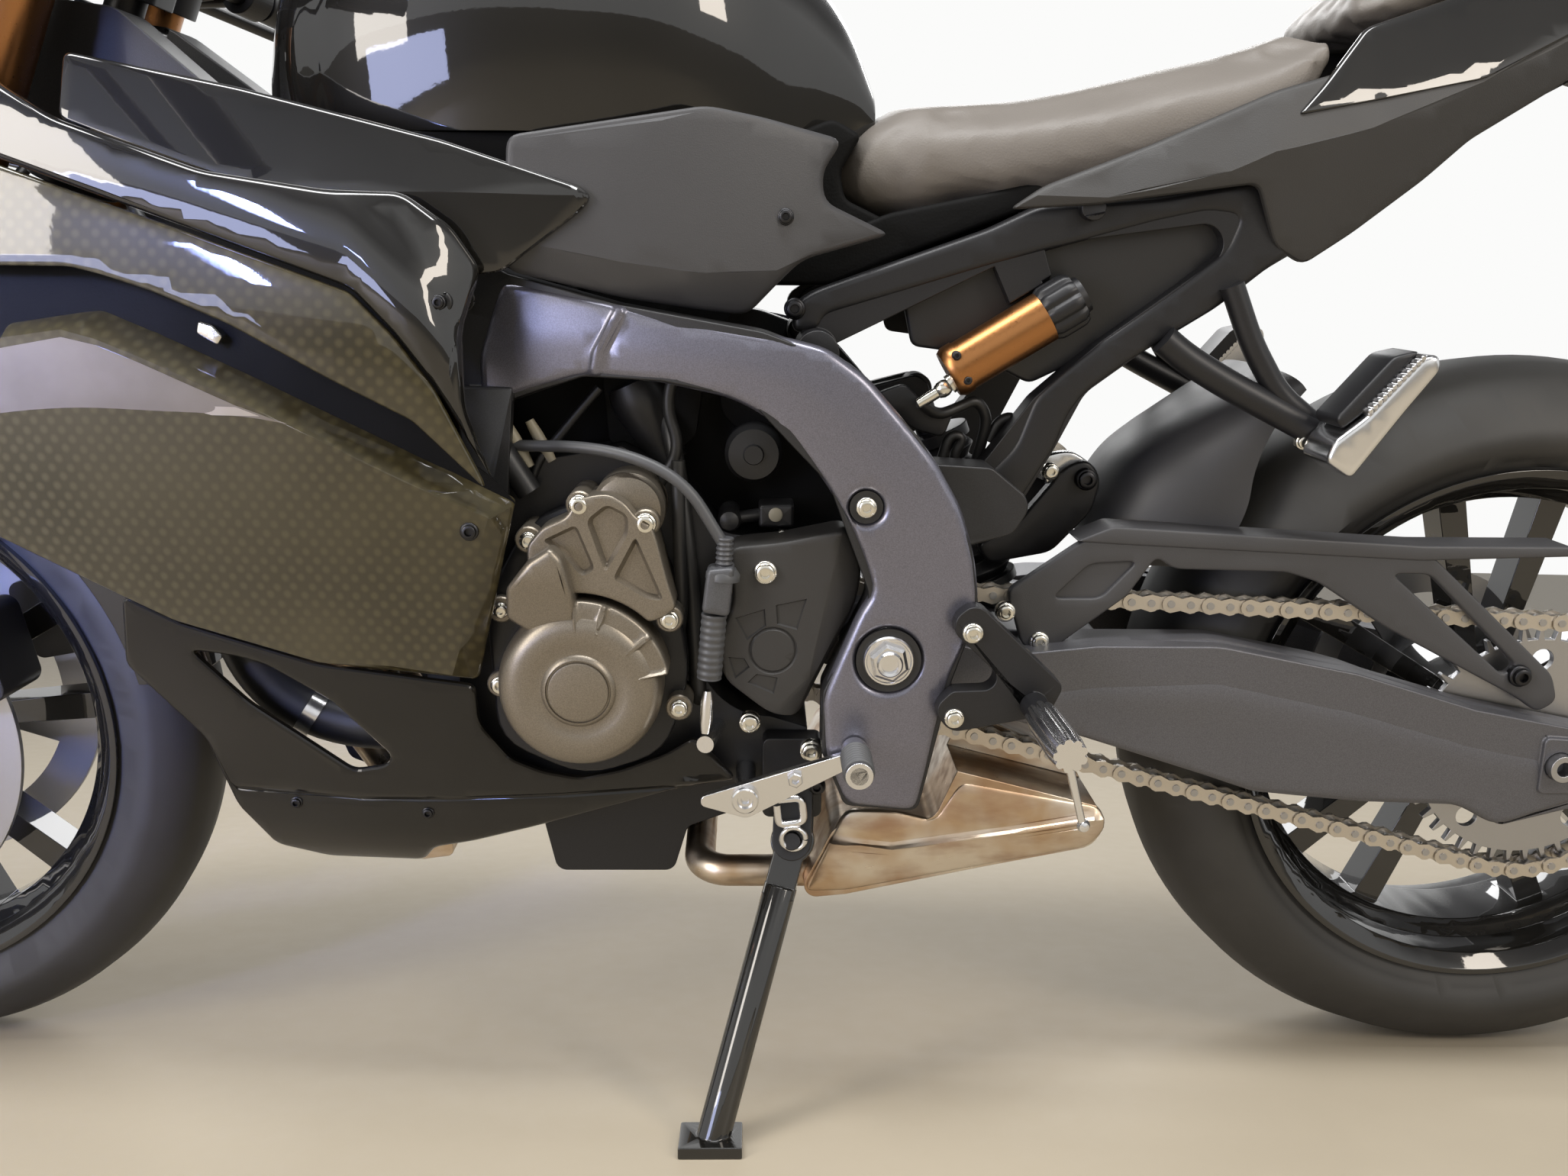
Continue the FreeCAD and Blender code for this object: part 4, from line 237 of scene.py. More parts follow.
# %% Clear-coated black paint
def gloss_paint(name, code, base_roughness, coat_ior=1.62, weave_mm=0.0):
    """Lacquer over a base; a weave is a diagonal lattice of paler spots in the base, weave_mm apart."""
    material, tree, surface = new_material(name, Roughness=base_roughness, IOR=1.5, Coat_Weight=1.0,
                                           Coat_Roughness=0.03, Coat_IOR=coat_ior, Specular_IOR_Level=0.1)
    peel = pattern(tree, 4.0, 1.0)
    dust = pattern(tree, 90, 4.0)
    shade = blend(tree, ramp(tree, dust, 0.35, 0.7, 0.0, 1.0), colour(code), brighter(code, 1.5))
    if weave_mm:
        place = add(tree, "ShaderNodeTexCoord").outputs["Object"]
        turned = add(tree, "ShaderNodeMapping",
                     {"Vector": place, "Rotation": (math.pi / 2, 0.0, math.pi / 4)})
        cells = add(tree, "ShaderNodeTexVoronoi", {"Vector": turned.outputs[0], "Scale": 1000.0 / weave_mm,
                                                   "Randomness": 0.15}, voronoi_dimensions="2D")
        spots = ramp(tree, cells.outputs["Distance"], 0.15, 0.42, 1.0, 0.0)
        shade = blend(tree, spots, shade, brighter(code, 1.9))
    wire(tree, surface, Coat_Normal=bump(tree, peel, 0.010), Base_Color=shade)
    return material


GLOSS_PAINT = gloss_paint("clear_coated_black_paint", "#12110F", 0.35)
WEAVE_PAINT = gloss_paint("clear_coated_weave", "#322D1C", 0.35, 1.50, 9.0)
BELLY_PAINT = gloss_paint("clear_coated_black_abs", "#12110F", 0.35, 1.36)
STRIPE_INK = gloss_paint("translucent_grey_decal", "#625B50", 0.5)
PALE_INK = gloss_paint("pale_grey_decal", "#8E8676", 0.5)


# %% [markdown]
# Unpainted covers are grained ABS: a spark-eroded mould leaves a fine pebble of about half a
# millimetre, so highlights spread wide and soft.

# %% Grained plastics
def grained(name, code, grain_mm, depth_mm, roughness, specular=0.5):
    """Pebbles grain_mm apart and depth_mm high, with a roughness that drifts over 40 mm."""
    material, tree, surface = new_material(name, Base_Color=colour(code), Roughness=roughness, IOR=1.5,
                                           Specular_IOR_Level=specular)
    grain = pattern(tree, grain_mm, kind="ShaderNodeTexVoronoi", feature="F1")
    cloud = pattern(tree, 40, 3.0)
    wire(tree, surface, Normal=bump(tree, grain, depth_mm),
         Roughness=ramp(tree, cloud, 0.3, 0.7, roughness - 0.04, roughness + 0.05))
    return material


GRAINED_PLASTIC = grained("grained_black_abs", "#404042", 0.9, 0.05, 0.48)
# Near-black with a weak mirror is painted shade: it stands for shadow in recesses and inside the bike.
SHADE_BLACK = grained("painted_shade_black", "#0C0C0C", 2.0, 0.10, 0.65, 0.12)
COVER_PLASTIC = grained("dull_black_nylon", "#2F2E2D", 0.9, 0.05, 0.50)
PALE_NYLON = grained("pale_nylon", "#A39D8A", 1.0, 0.02, 0.45)
SOFT_PLASTIC = grained("satin_black_polypropylene", "#1E1E1F", 1.2, 0.03, 0.42)


# %% [markdown]
# The beams of the frame are cast and pressed aluminium under a satin metallic powder coat: tiny flakes,
# a cool grey that turns blue in the highlight, and a soft texture from the coat's flow.

# %% Powder coats and cast paint
def powder_coat(name, code, roughness, metallic, flake_mm=0.8):
    """Flakes 1.3 times as bright as the base, under the ripple of the coat's flow."""
    material, tree, surface = new_material(name, Roughness=roughness, Metallic=metallic)
    flakes = pattern(tree, flake_mm, 1.0)
    flow = pattern(tree, 6.0, 2.0)
    shade = blend(tree, ramp(tree, flakes, 0.35, 0.65, 0.0, 1.0), colour(code), brighter(code, 1.3))
    wire(tree, surface, Normal=bump(tree, flow, 0.02), Base_Color=shade)
    return material


FRAME_COAT = powder_coat("satin_metallic_powder_coat", "#6F6F7A", 0.30, 0.75)
# A darker copy of the frame's coat: painted shade for the frame's sides and inner parts that lie in shadow.
FRAME_SHADE = powder_coat("satin_metallic_powder_coat_painted_shade", "#2A2A2B", 0.42, 0.4)
BLACK_COAT = powder_coat("satin_black_powder_coat", "#1B1B1D", 0.40, 0.2)
ARM_COAT = powder_coat("satin_graphite_powder_coat", "#555559", 0.42, 0.45)
GREY_COAT = powder_coat("grey_cast_zinc", "#4C4D50", 0.45, 0.3)
ENGINE_COAT = powder_coat("cast_magnesium_engine_paint", "#777065", 0.34, 0.65)


# %% [markdown]
# Bare metals: turned and brushed steel, polished aluminium, anodised aluminium. The brushed ones get a
# fine noise in their roughness, so that the highlight breaks up as tool marks break it.

# %% Bare metals
def bare_metal(name, code, roughness, mark_mm=2.0):
    """Metal whose tool marks change its roughness between 0.9 and 1.15 times the given one."""
    material, tree, surface = new_material(name, Base_Color=colour(code), Metallic=1.0, Roughness=roughness)
    marks = pattern(tree, mark_mm, 4.0)
    wire(tree, surface, Roughness=ramp(tree, marks, 0.3, 0.7, roughness * 0.9, roughness * 1.15))
    return material


STEEL = bare_metal("turned_steel", "#A8A8AA", 0.36)
ZINC_STEEL = bare_metal("zinc_plated_steel", "#D9D6CC", 0.22)
CHAIN_PLATE = bare_metal("nickel_chain_plate", "#C4BDB2", 0.42)
DARK_STEEL = bare_metal("blackened_steel", "#3A3A3C", 0.38)
ALLOY = bare_metal("polished_aluminium", "#DADADB", 0.22)
GOLD = bare_metal("gold_anodised_aluminium", "#A67448", 0.30)


# %% [markdown]
# The silencer is raw stainless sheet. Heat leaves oxide tints on it, straw and brown near the ports and
# grey where it ran cooler, in clouds a few centimetres across, with dull streaks of road dirt.

# %% Heat-tinted stainless
def tinted_stainless():
    """Straw and grey in clouds 55 mm wide, brown streaks 14 mm wide and three times as long."""
    material, tree, surface = new_material("heat_tinted_stainless", Metallic=1.0, Roughness=0.34)
    clouds = pattern(tree, 55, 3.0)
    streaks = pattern(tree, 14, 5.0, stretch=(3, 1, 1))
    warm = blend(tree, ramp(tree, clouds, 0.40, 0.62, 0.0, 1.0), colour("#B9A084"), colour("#D0C6B8"))
    tint = blend(tree, ramp(tree, streaks, 0.46, 0.74, 0.0, 0.5), warm, colour("#8A6248"))
    wire(tree, surface, Base_Color=tint, Roughness=ramp(tree, streaks, 0.3, 0.7, 0.26, 0.46))
    return material


STAINLESS = tinted_stainless()


# %% [markdown]
# Rubber: tyre compound is a warm near-black with a dull bloom, and grips and hoses are harder and
# darker. The seat cover is vinyl with a leather-like grain of about a millimetre.

# %% Rubber and vinyl
def rubber(name, code, roughness, grain_mm, depth_mm):
    """A bloom 60 mm wide, up to 1.35 times as bright, over a fine grain."""
    material, tree, surface = new_material(name, Roughness=roughness, IOR=1.52)
    bloom = pattern(tree, 60, 4.0)
    grain = pattern(tree, grain_mm, 3.0)
    shade = blend(tree, ramp(tree, bloom, 0.3, 0.7, 0.0, 1.0), colour(code), brighter(code, 1.35))
    wire(tree, surface, Base_Color=shade, Normal=bump(tree, grain, depth_mm))
    return material


TYRE_RUBBER = rubber("tyre_rubber", "#292826", 0.58, 0.8, 0.03)
GRIP_RUBBER = rubber("moulded_grip_rubber", "#1C1C1C", 0.45, 0.8, 0.03)
GREY_SHEATH = rubber("grey_cable_sheath", "#434446", 0.45, 1.0, 0.02)
SEAT_VINYL = grained("embossed_seat_vinyl", "#6E6963", 1.4, 0.10, 0.50)


# %% [markdown]
# Lenses: smoked acrylic for the screen, clear polycarbonate for the headlamps, red for the tail lamp.

# %% Lenses
def lens(name, code, roughness, alpha):
    """Tinted clear plastic that lets the share alpha of the light through, with a thin haze."""
    material, tree, surface = new_material(name, Base_Color=colour(code), IOR=1.49,
                                           Transmission_Weight=alpha)
    haze = pattern(tree, 30, 2.0)
    wire(tree, surface, Roughness=ramp(tree, haze, 0.3, 0.7, roughness, roughness + 0.03))
    return material


SMOKED = lens("smoked_acrylic", "#3A3C40", 0.02, 0.9)
CLEAR_LENS = lens("clear_polycarbonate", "#E8ECEE", 0.02, 0.95)
RED_LENS = lens("red_polycarbonate", "#8A0A0C", 0.05, 0.7)


# %% [markdown]

# %% [markdown]
# A shape here is a pair: an array of upright points and a list of face arrays. Pieces are put together
# from such pairs by adding up the points and moving each face's numbers along.

# %% Shapes as arrays
def joined(shapes):
    """Several shapes as one: points one after another, face numbers moved up by the points before them."""
    starts = np.cumsum([0] + [len(points) for points, _ in shapes])
    return (np.concatenate([points for points, _ in shapes]),
            [f + start for (_, faces), start in zip(shapes, starts) for f in faces])


def grid_faces(rows, columns, around=False):
    """Quads between neighbouring rows and columns of a
    grid; around also joins the last column to the first."""
    index = np.arange(rows * columns).reshape(rows, columns)
    if around:
        index = np.column_stack([index, index[:, 0]])
    return np.stack([index[:-1, :-1], index[:-1, 1:], index[1:, 1:], index[1:, :-1]], -1).reshape(-1, 4)


def skin(rings):
    """A closed surface over a stack of closed rings, (ring, point, xyz), with a flat face at each end."""
    rows, columns = rings.shape[:2]
    ends = [np.arange(columns)[None, ::-1], np.arange(columns)[None] + (rows - 1) * columns]
    return rings.reshape(-1, 3), [grid_faces(rows, columns, True)] + ends


def unit(vectors):
    """Vectors over their lengths."""
    return vectors / np.linalg.norm(vectors, axis=-1, keepdims=True)


# %% Paths with rounded corners
def bent(points, radius, steps=6):
    """A path through corners rounded by parabolas: each corner P becomes the curve from A over P
    to B, where A and B lie on its two edges, radius away or half the edge, whichever is less."""
    points = np.asarray(points, float)
    before, here, after = points[:-2], points[1:-1], points[2:]
    cut = [np.minimum(radius, 0.48 * np.linalg.norm(q - here, axis=1))[:, None] * unit(q - here)
           for q in (before, after)]
    t = np.linspace(0, 1, steps)[None, :, None]
    curve = here[:, None] + (1 - t) ** 2 * cut[0][:, None] + t ** 2 * cut[1][:, None]
    return np.concatenate([points[:1], curve.reshape(-1, points.shape[1]), points[-1:]])


def bent_loop(points, radius, steps=5):
    """A closed outline with all its corners rounded."""
    points = np.asarray(points, float)
    return bent(np.concatenate([points[-1:], points, points[:1]]), radius, steps)[1:-1]


# %% Tubes and turned pieces
def turning_axes(axis):
    """An axis as a unit vector, and two more square to it."""
    axis = unit(np.asarray(axis, float))
    side = unit(np.cross(axis, [0.31, 0.17, 0.94]))
    return axis, side, np.cross(axis, side)


def tube_shape(path, radius, sides=16):
    """A bar along a path: circles of the given radius, one
    value or one per point, set square to the path."""
    path = np.asarray(path, float)
    keep = np.append(True, np.linalg.norm(np.diff(path, axis=0), axis=1) > 1e-3)
    radius = np.broadcast_to(np.asarray(radius, float), len(path))[keep]
    path = path[keep]
    along = unit(np.gradient(path, axis=0))
    flat = np.linalg.svd(path - path.mean(0))[2][2]
    side = unit(np.cross(along, flat))
    above = np.cross(side, along)
    angle = np.linspace(0, 2 * np.pi, sides, endpoint=False)[None, :, None]
    around = np.cos(angle) * side[:, None] + np.sin(angle) * above[:, None]
    return skin(path[:, None] + radius[:, None, None] * around)


def lathe_shape(profile, centre, axis, sides=40, turn=0.0):
    """A turned piece: profile rows are (distance along the axis, radius), carried round the axis."""
    profile = np.asarray(profile, float)
    axis, side, above = turning_axes(axis)
    angle = turn + np.linspace(0, 2 * np.pi, sides, endpoint=False)[None, :, None]
    radial = np.cos(angle) * side + np.sin(angle) * above
    rings = np.asarray(centre, float) + profile[:, 0, None, None] * axis
    return skin(rings + profile[:, 1, None, None] * radial)


# %% [markdown]
# Every new piece goes into Blender by the same door: the arrays are leaned and scaled, doubles are
# merged, faces are turned outwards, and edges sharper than the crease angle stay sharp in the shading.

# %% From arrays to a piece
MERGE_M, NODE_MERGE_M, FLAT_DEGREES = 2e-6, 2e-5, 0.6


def paint(obj, material):
    """One material on the whole object."""
    obj.data.materials.clear()
    obj.data.materials.append(material)
    obj.data.polygons.foreach_set("material_index", np.zeros(len(obj.data.polygons), int))


def round_edges(obj, width_mm, angle=30):
    """A live bevel on edges sharper than the angle: real
    edges are never knife sharp, and they catch light."""
    bevel = obj.modifiers.new("rounded_edges", "BEVEL")
    bevel.width, bevel.segments, bevel.limit_method = width_mm / 1000, 2, "ANGLE"
    bevel.angle_limit, bevel.use_clamp_overlap, bevel.harden_normals = math.radians(angle), False, True


def set_on_bike(name, mesh, material, body, stands_for, bevel, crease):
    """Shading, material, body, the nodes it stands for and its bevel."""
    mesh.shade_smooth()
    mesh.set_sharp_from_angle(angle=math.radians(crease))
    obj = bpy.data.objects.new(name, mesh)
    bpy.context.scene.collection.objects.link(obj)
    paint(obj, material)
    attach(obj, body)
    if stands_for:
        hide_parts(*stands_for)
    if bevel:
        round_edges(obj, bevel)
    print(name, "has", len(mesh.polygons), "faces")
    return obj


def piece(name, shape, material, body="chassis", stands_for=(), bevel=0.0, crease=34):
    """A new object from a shape: foreach_set fills the
    mesh, bmesh merges it and turns its faces outwards."""
    points, faces = shape
    mesh = bpy.data.meshes.new(name)
    corners = np.concatenate([f.ravel() for f in faces])
    sizes = np.concatenate([np.full(len(f), f.shape[1]) for f in faces])
    mesh.vertices.add(len(points))
    mesh.vertices.foreach_set("co", parked(points).ravel())
    mesh.loops.add(len(corners))
    mesh.loops.foreach_set("vertex_index", corners.astype(np.int32))
    mesh.polygons.add(len(sizes))
    mesh.polygons.foreach_set("loop_start", (np.cumsum(sizes) - sizes).astype(np.int32))
    mesh.update(calc_edges=True)
    bm = bmesh.new()
    bm.from_mesh(mesh)
    bmesh.ops.remove_doubles(bm, verts=bm.verts, dist=MERGE_M)
    bmesh.ops.recalc_face_normals(bm, faces=bm.faces)
    bm.to_mesh(mesh)
    bm.free()
    return set_on_bike(name, mesh, material, body, stands_for, bevel,
                       crease)


# %% The CAD nodes' own forms
def upright(mesh):
    """A mesh's points back in the upright drawing."""
    points = np.empty(len(mesh.vertices) * 3)
    mesh.vertices.foreach_get("co", points)
    return (points.reshape(-1, 3) - SHIFT) @ LEAN_MATRIX * 1000


def finished(node, material, bevel=0.7, crease=34, only=None):
    """A CAD node's own form with its loose triangles merged, flat stretches
    joined and its edges rounded; only says which upright points to keep."""
    mesh = nodes[node].data.copy()
    bm = bmesh.new()
    bm.from_mesh(mesh)
    if only is not None:
        bm.verts.ensure_lookup_table()
        away = [bm.verts[i] for i in np.flatnonzero(~only(upright(mesh)))]
        bmesh.ops.delete(bm, geom=away, context="VERTS")
    bmesh.ops.remove_doubles(bm, verts=bm.verts, dist=NODE_MERGE_M)
    bmesh.ops.dissolve_limit(bm, angle_limit=math.radians(FLAT_DEGREES), verts=bm.verts, edges=bm.edges)
    bm.to_mesh(mesh)
    bm.free()
    body = body_of(nodes[node])[0]
    return set_on_bike(node + "_finished", mesh, material, body, [node], bevel, crease)


# %% [markdown]
# Moulded panels look flat in a drawing and never are: sheet plastic gets a crown so that it holds its
# shape, and its rim rolls inwards. So each panel is its outline in the side view, filled with a net of
# triangles, and one smooth function gives how far out from the bike's middle each point lies.

# %% Nets of triangles inside an outline
def inside(points, loop):
    """Which points lie in a loop: a ray to the right crosses its edges an odd number of times."""
    x, y = points[:, 0, None], points[:, 1, None]
    a, b = loop, np.roll(loop, -1, 0)
    rise = np.where(b[:, 1] == a[:, 1], 1.0, b[:, 1] - a[:, 1])
    crosses = ((a[:, 1] > y) != (b[:, 1] > y)) & (x < a[:, 0] + (y - a[:, 1]) * (b[:, 0] - a[:, 0]) / rise)
    return crosses.sum(1) % 2 == 1


def edge_distance(points, loop):
    """Least distance from each point to the loop's edges:
    the foot of the perpendicular, kept on the edge."""
    a, ab = loop, np.roll(loop, -1, 0) - loop
    ap = points[:, None] - a
    share = np.clip((ap * ab).sum(-1) / np.maximum((ab * ab).sum(-1), 1e-9), 0, 1)
    return np.linalg.norm(ap - share[..., None] * ab, axis=-1).min(1)


def inset(loop, distance):
    """The loop moved inwards: each corner goes along the mean of its two edges' normals, as a mitre."""
    after = np.roll(loop, -1, 0)
    area = (loop[:, 0] * after[:, 1] - after[:, 0] * loop[:, 1]).sum()
    edge = unit(after - loop)
    normal = np.stack([-edge[:, 1], edge[:, 0]], -1) * np.sign(area)
    mean = unit(normal + np.roll(normal, 1, 0))
    return loop + distance * mean / np.clip((mean * normal).sum(-1), 0.5, 1)[:, None]


# %% The net
def net(loops, folds, step):
    """Triangles inside the first loop and outside the others, with a lattice of
    points step apart; every loop and every fold, an open line, is kept as edges."""
    low, high = loops[0].min(0), loops[0].max(0)
    lattice = np.stack(np.meshgrid(np.arange(low[0], high[0], step), np.arange(low[1], high[1], step)), -1)
    lattice = lattice.reshape(-1, 2)
    lattice = lattice[inside(lattice, loops[0])]
    for loop in loops:
        lattice = lattice[edge_distance(lattice, loop) > 0.45 * step]
    lines = [np.vstack([loop, loop[:1]]) for loop in loops] + [np.asarray(fold, float) for fold in folds]
    points, edges = [lattice], []
    for line in lines:
        start = sum(len(p) for p in points)
        edges.append(np.stack([np.arange(len(line) - 1), np.arange(1, len(line))], -1) + start)
        points.append(line)
    points = np.concatenate(points)
    found = delaunay_2d_cdt([Vector(p) for p in points.tolist()], np.concatenate(edges).tolist(),
                            [], 0, 1e-4)
    flat, faces = np.array([v[:] for v in found[0]]), np.array(found[2])
    centre = flat[faces].mean(1)
    kept = inside(centre, loops[0])
    for hole in loops[1:]:
        kept &= ~inside(centre, hole)
    return flat, faces[kept]


def walled(outer, inner, faces):
    """Closes two like nets: outer faces, inner faces turned over, and a wall along the edges used once."""
    count = len(outer)
    edge = np.concatenate([faces[:, [0, 1]], faces[:, [1, 2]], faces[:, [2, 0]]])
    forth, back = edge[:, 0] * count + edge[:, 1], edge[:, 1] * count + edge[:, 0]
    rim = edge[~np.isin(back, forth)]
    wall = np.column_stack([rim[:, 1], rim[:, 0], rim[:, 0] + count, rim[:, 1] + count])
    return np.concatenate([outer, inner]), [faces, faces[:, ::-1] + count, wall]


# %% A moulded panel from a net
def moulded(outline, reach, thickness, roll=3.0, step=12.0, holes=(), folds=(), sides=(LEFT, RIGHT),
            corner=6.0):
    """A moulded panel on each side of the bike, thickness millimetres thick. outline and holes are
    corners (x, z), rounded by corner; reach(x, z) is the distance from the middle; within roll of a
    rim the surface drops by a quarter circle; step is the spacing of the net."""
    loops = [bent_loop(outline, corner)] + [bent_loop(hole, corner) for hole in holes]
    rings = [inset(loop, roll * (1 - math.cos(a)) * (1 if loop is loops[0] else -1))
             for loop in loops for a in (0.5, 1.0, 1.5)] if roll else []
    folded = [np.vstack([ring, ring[:1]]) for ring in rings] + list(folds)
    flat, faces = net(loops, folded, step)
    near = np.minimum(np.min([edge_distance(flat, loop) for loop in loops], axis=0) / max(roll, 1e-6), 1)
    out = reach(flat[:, 0], flat[:, 1]) - roll * (1 - np.sqrt(1 - (1 - near) ** 2))
    back = reach(flat[:, 0], flat[:, 1]) - roll - thickness
    shapes = []
    for side in sides:
        walls = [np.stack([flat[:, 0], side * y, flat[:, 1]], -1) for y in (out, back)]
        shapes.append(walled(walls[0], walls[1], faces))
    return joined(shapes)


def plane(distance):
    """A flat face: the same distance from the bike's middle everywhere."""
    return lambda x, z: np.full(len(x), float(distance))


# %% A smooth curve through knots
def hermite(at, knots, values):
    """A smooth curve through knots: cubics whose slope at a knot is that of its two
    neighbours. values has one column for each point of at, or is the same for all."""
    knots, values = np.asarray(knots, float), np.asarray(values, float)
    if values.ndim == 1:
        values = np.repeat(values[:, None], len(at), 1)
    slopes = np.gradient(values, knots, axis=0)
    i, column = np.clip(np.searchsorted(knots, at) - 1, 0, len(knots) - 2), np.arange(len(at))
    h = knots[i + 1] - knots[i]
    t = np.clip((at - knots[i]) / h, 0, 1)
    start, end = values[i, column], values[i + 1, column]
    return ((2 * t ** 3 - 3 * t ** 2 + 1) * start + (t ** 3 - 2 * t ** 2 + t) * h * slopes[i, column]
            + (3 * t ** 2 - 2 * t ** 3) * end + (t ** 3 - t ** 2) * h * slopes[i + 1, column])


def on_line(at, corners):
    """The value of a broken line at each place; its corners are (place, value)."""
    return np.interp(at, *np.array(corners).T)


def on_curve(at, knots):
    """The same with a smooth curve through (place, value)."""
    return hermite(at, *np.array(knots).T)


# %% [markdown]
# The fairing is one body in the eye, cut into panels: a table of half widths at five stations along the
# bike and seven heights is its form, and a smooth curve through them gives any point between.

# %% The body that the fairing's panels share
FAIRING_LEVELS = (190, 300, 430, 570, 680, 790, 880)
FAIRING_STATIONS = (-1240, -1080, -900, -780, -600)
FAIRING_WIDTHS = [  # one row for each station, one column for each level
    (40, 80, 150, 205, 215, 190, 150),
    (95, 130, 185, 224, 230, 205, 160),
    (120, 160, 208, 238, 236, 200, 150),
    (122, 166, 214, 238, 230, 192, 145),
    (110, 160, 205, 228, 215, 175, 130),
]


def body_reach(x, z):
    """Half width of the fairing's body: smooth in height at
    each station, then smooth from station to station."""
    at_stations = np.stack([hermite(z, FAIRING_LEVELS, row) for row in FAIRING_WIDTHS])
    return hermite(x, FAIRING_STATIONS, at_stations)


print("half width beside the crank %.0f mm" % body_reach(np.array([-773.0]), np.array([396.0]))[0])


def beyond(x, z, line):
    """How far a point lies above a line of (x, z) points
    that runs to the rear, square to its mean slope."""
    line = np.asarray(line, float)
    slope = (line[-1, 1] - line[0, 1]) / (line[-1, 0] - line[0, 0])
    return np.maximum(0, z - np.interp(x, line[:, 0], line[:, 1])) / math.hypot(1, slope)


# %% [markdown]
# The side panel is the bike's largest sheet. Its upper and rear edges are folded strips, about 18 mm
# wide, that turn away from the eye and so mirror something else than the flat: that is the pale line
# round the panel.

# %% Side panels
TOP_FOLD = [(-1236, 553), (-1150, 648), (-1108, 654), (-1085, 648), (-1055, 636), (-994, 609), (-927, 576),
            (-860, 543), (-827, 528)]
REAR_FOLD = [(405, -866), (448, -852), (498, -839), (530, -828)]     # height, then x
STRIP_SLOPE, REAR_SLOPE = 1.35, 0.8


def side_reach(x, z):
    """The body, falling away beyond the upper fold and beyond the rear fold, each at its own slope."""
    rear = np.maximum(0, x - on_line(z, REAR_FOLD))
    return body_reach(x, z) - STRIP_SLOPE * beyond(x, z, TOP_FOLD) - REAR_SLOPE * rear


SIDE_PANEL = [(-1236, 560), (-1150, 657), (-1086, 667), (-1053, 661), (-979, 622), (-876, 574), (-813, 537),
              (-823, 496), (-850, 398), (-966, 412), (-1069, 442), (-1106, 461), (-1185, 503), (-1236, 530)]
piece("side_panels",
      moulded(SIDE_PANEL, side_reach, 2.5, 2.0, 13.0, folds=[TOP_FOLD, [(x, z) for z, x in REAR_FOLD]],
              corner=4.0), WEAVE_PAINT, stands_for=["side_fairings"], crease=24)

# %% [markdown]
# Above it the upper panel runs back to a point beside the frame. Between the two lies a deep channel, the
# inner wall of the radiator's outlet, which closes to a point at the rear; its near-black is painted
# shade. A small bright clip holds the two panels together there.

# %% Upper panels and the channel under them
UPPER_EDGE = [(-1236, 697), (-1155, 695), (-1100, 695), (-1078, 690), (-1043, 679), (-995, 659),
              (-929, 623), (-876, 596), (-829, 549)]
UPPER_PANEL = [(-1236, 790), (-1150, 761), (-1021, 718), (-913, 680), (-885, 652), (-861, 619), (-833, 560),
               (-829, 549)] + UPPER_EDGE[-2::-1]
CHANNEL = [(-1236, 705), (-1100, 703), (-1043, 687), (-929, 631), (-826, 552), (-812, 534), (-876, 566),
           (-979, 614), (-1053, 652), (-1086, 658), (-1150, 648), (-1236, 552)]
CHANNEL_DEPTH = 22.0
piece("upper_panels", moulded(UPPER_PANEL, body_reach, 2.5, 2.5, 13.0, corner=5.0), WEAVE_PAINT,
      stands_for=["upper_fairings"], crease=24)
piece("outlet_channels",
      moulded(CHANNEL, lambda x, z: body_reach(x, z) - CHANNEL_DEPTH, 2.0, 0.0, 16.0, corner=4.0),
      SHADE_BLACK)
CLIP = [(-1019, 660), (-1009, 657), (-1003, 650), (-1007, 644), (-1014, 648), (-1021, 652)]
piece("outlet_clips", moulded(CLIP, lambda x, z: body_reach(x, z) - 12.0, 10.0, 1.5, 5.0, corner=2.0),
      ZINC_STEEL, crease=40)

# %% [markdown]
# The gloss cover lies on top of the upper panel and rolls over towards the tank. Its rear corner is
# rounded and dives behind the frame's edge, which breaks the reflections into small bright pieces.

# %% Gloss covers
GLOSS_COVER = [(-1236, 868), (-1146, 812), (-1107, 790), (-1008, 757), (-929, 746), (-880, 745),
               (-850, 724), (-832, 695), (-843, 657), (-842, 602), (-832, 562), (-829, 552), (-861, 622),
               (-885, 655), (-913, 683), (-1021, 721), (-1236, 793)]
DIVE_START, DIVE_RUN, DIVE_DEPTH = -872.0, 46.0, 26.0
COVER_CROWN, COVER_WIDTH = 7.0, 75.0
COVER_SEAM = [(-1236, 793), (-1021, 721), (-913, 683), (-861, 622), (-829, 552)]


def gloss_reach(x, z):
    """The body, lifted by a crown along the cover's middle,
    and a quarter wave down towards its rear edge."""
    above = z - on_line(x, COVER_SEAM)
    crown = COVER_CROWN * np.sin(np.pi * np.clip(above / COVER_WIDTH, 0, 1))
    dive = DIVE_DEPTH * (1 - np.cos(np.clip((x - DIVE_START) / DIVE_RUN, 0, 1) * np.pi / 2))
    return body_reach(x, z) + crown - dive


piece("gloss_cover_pair", moulded(GLOSS_COVER, gloss_reach, 2.5, 4.0, 9.0, corner=8.0), GLOSS_PAINT,
      stands_for=["gloss_covers"], crease=30)

# %% [markdown]
# The belly cowl closes the fairing under the engine. A slanted window in it lets hot air out and shows
# the coolant hose behind, and a seam with two screws splits it along its length.

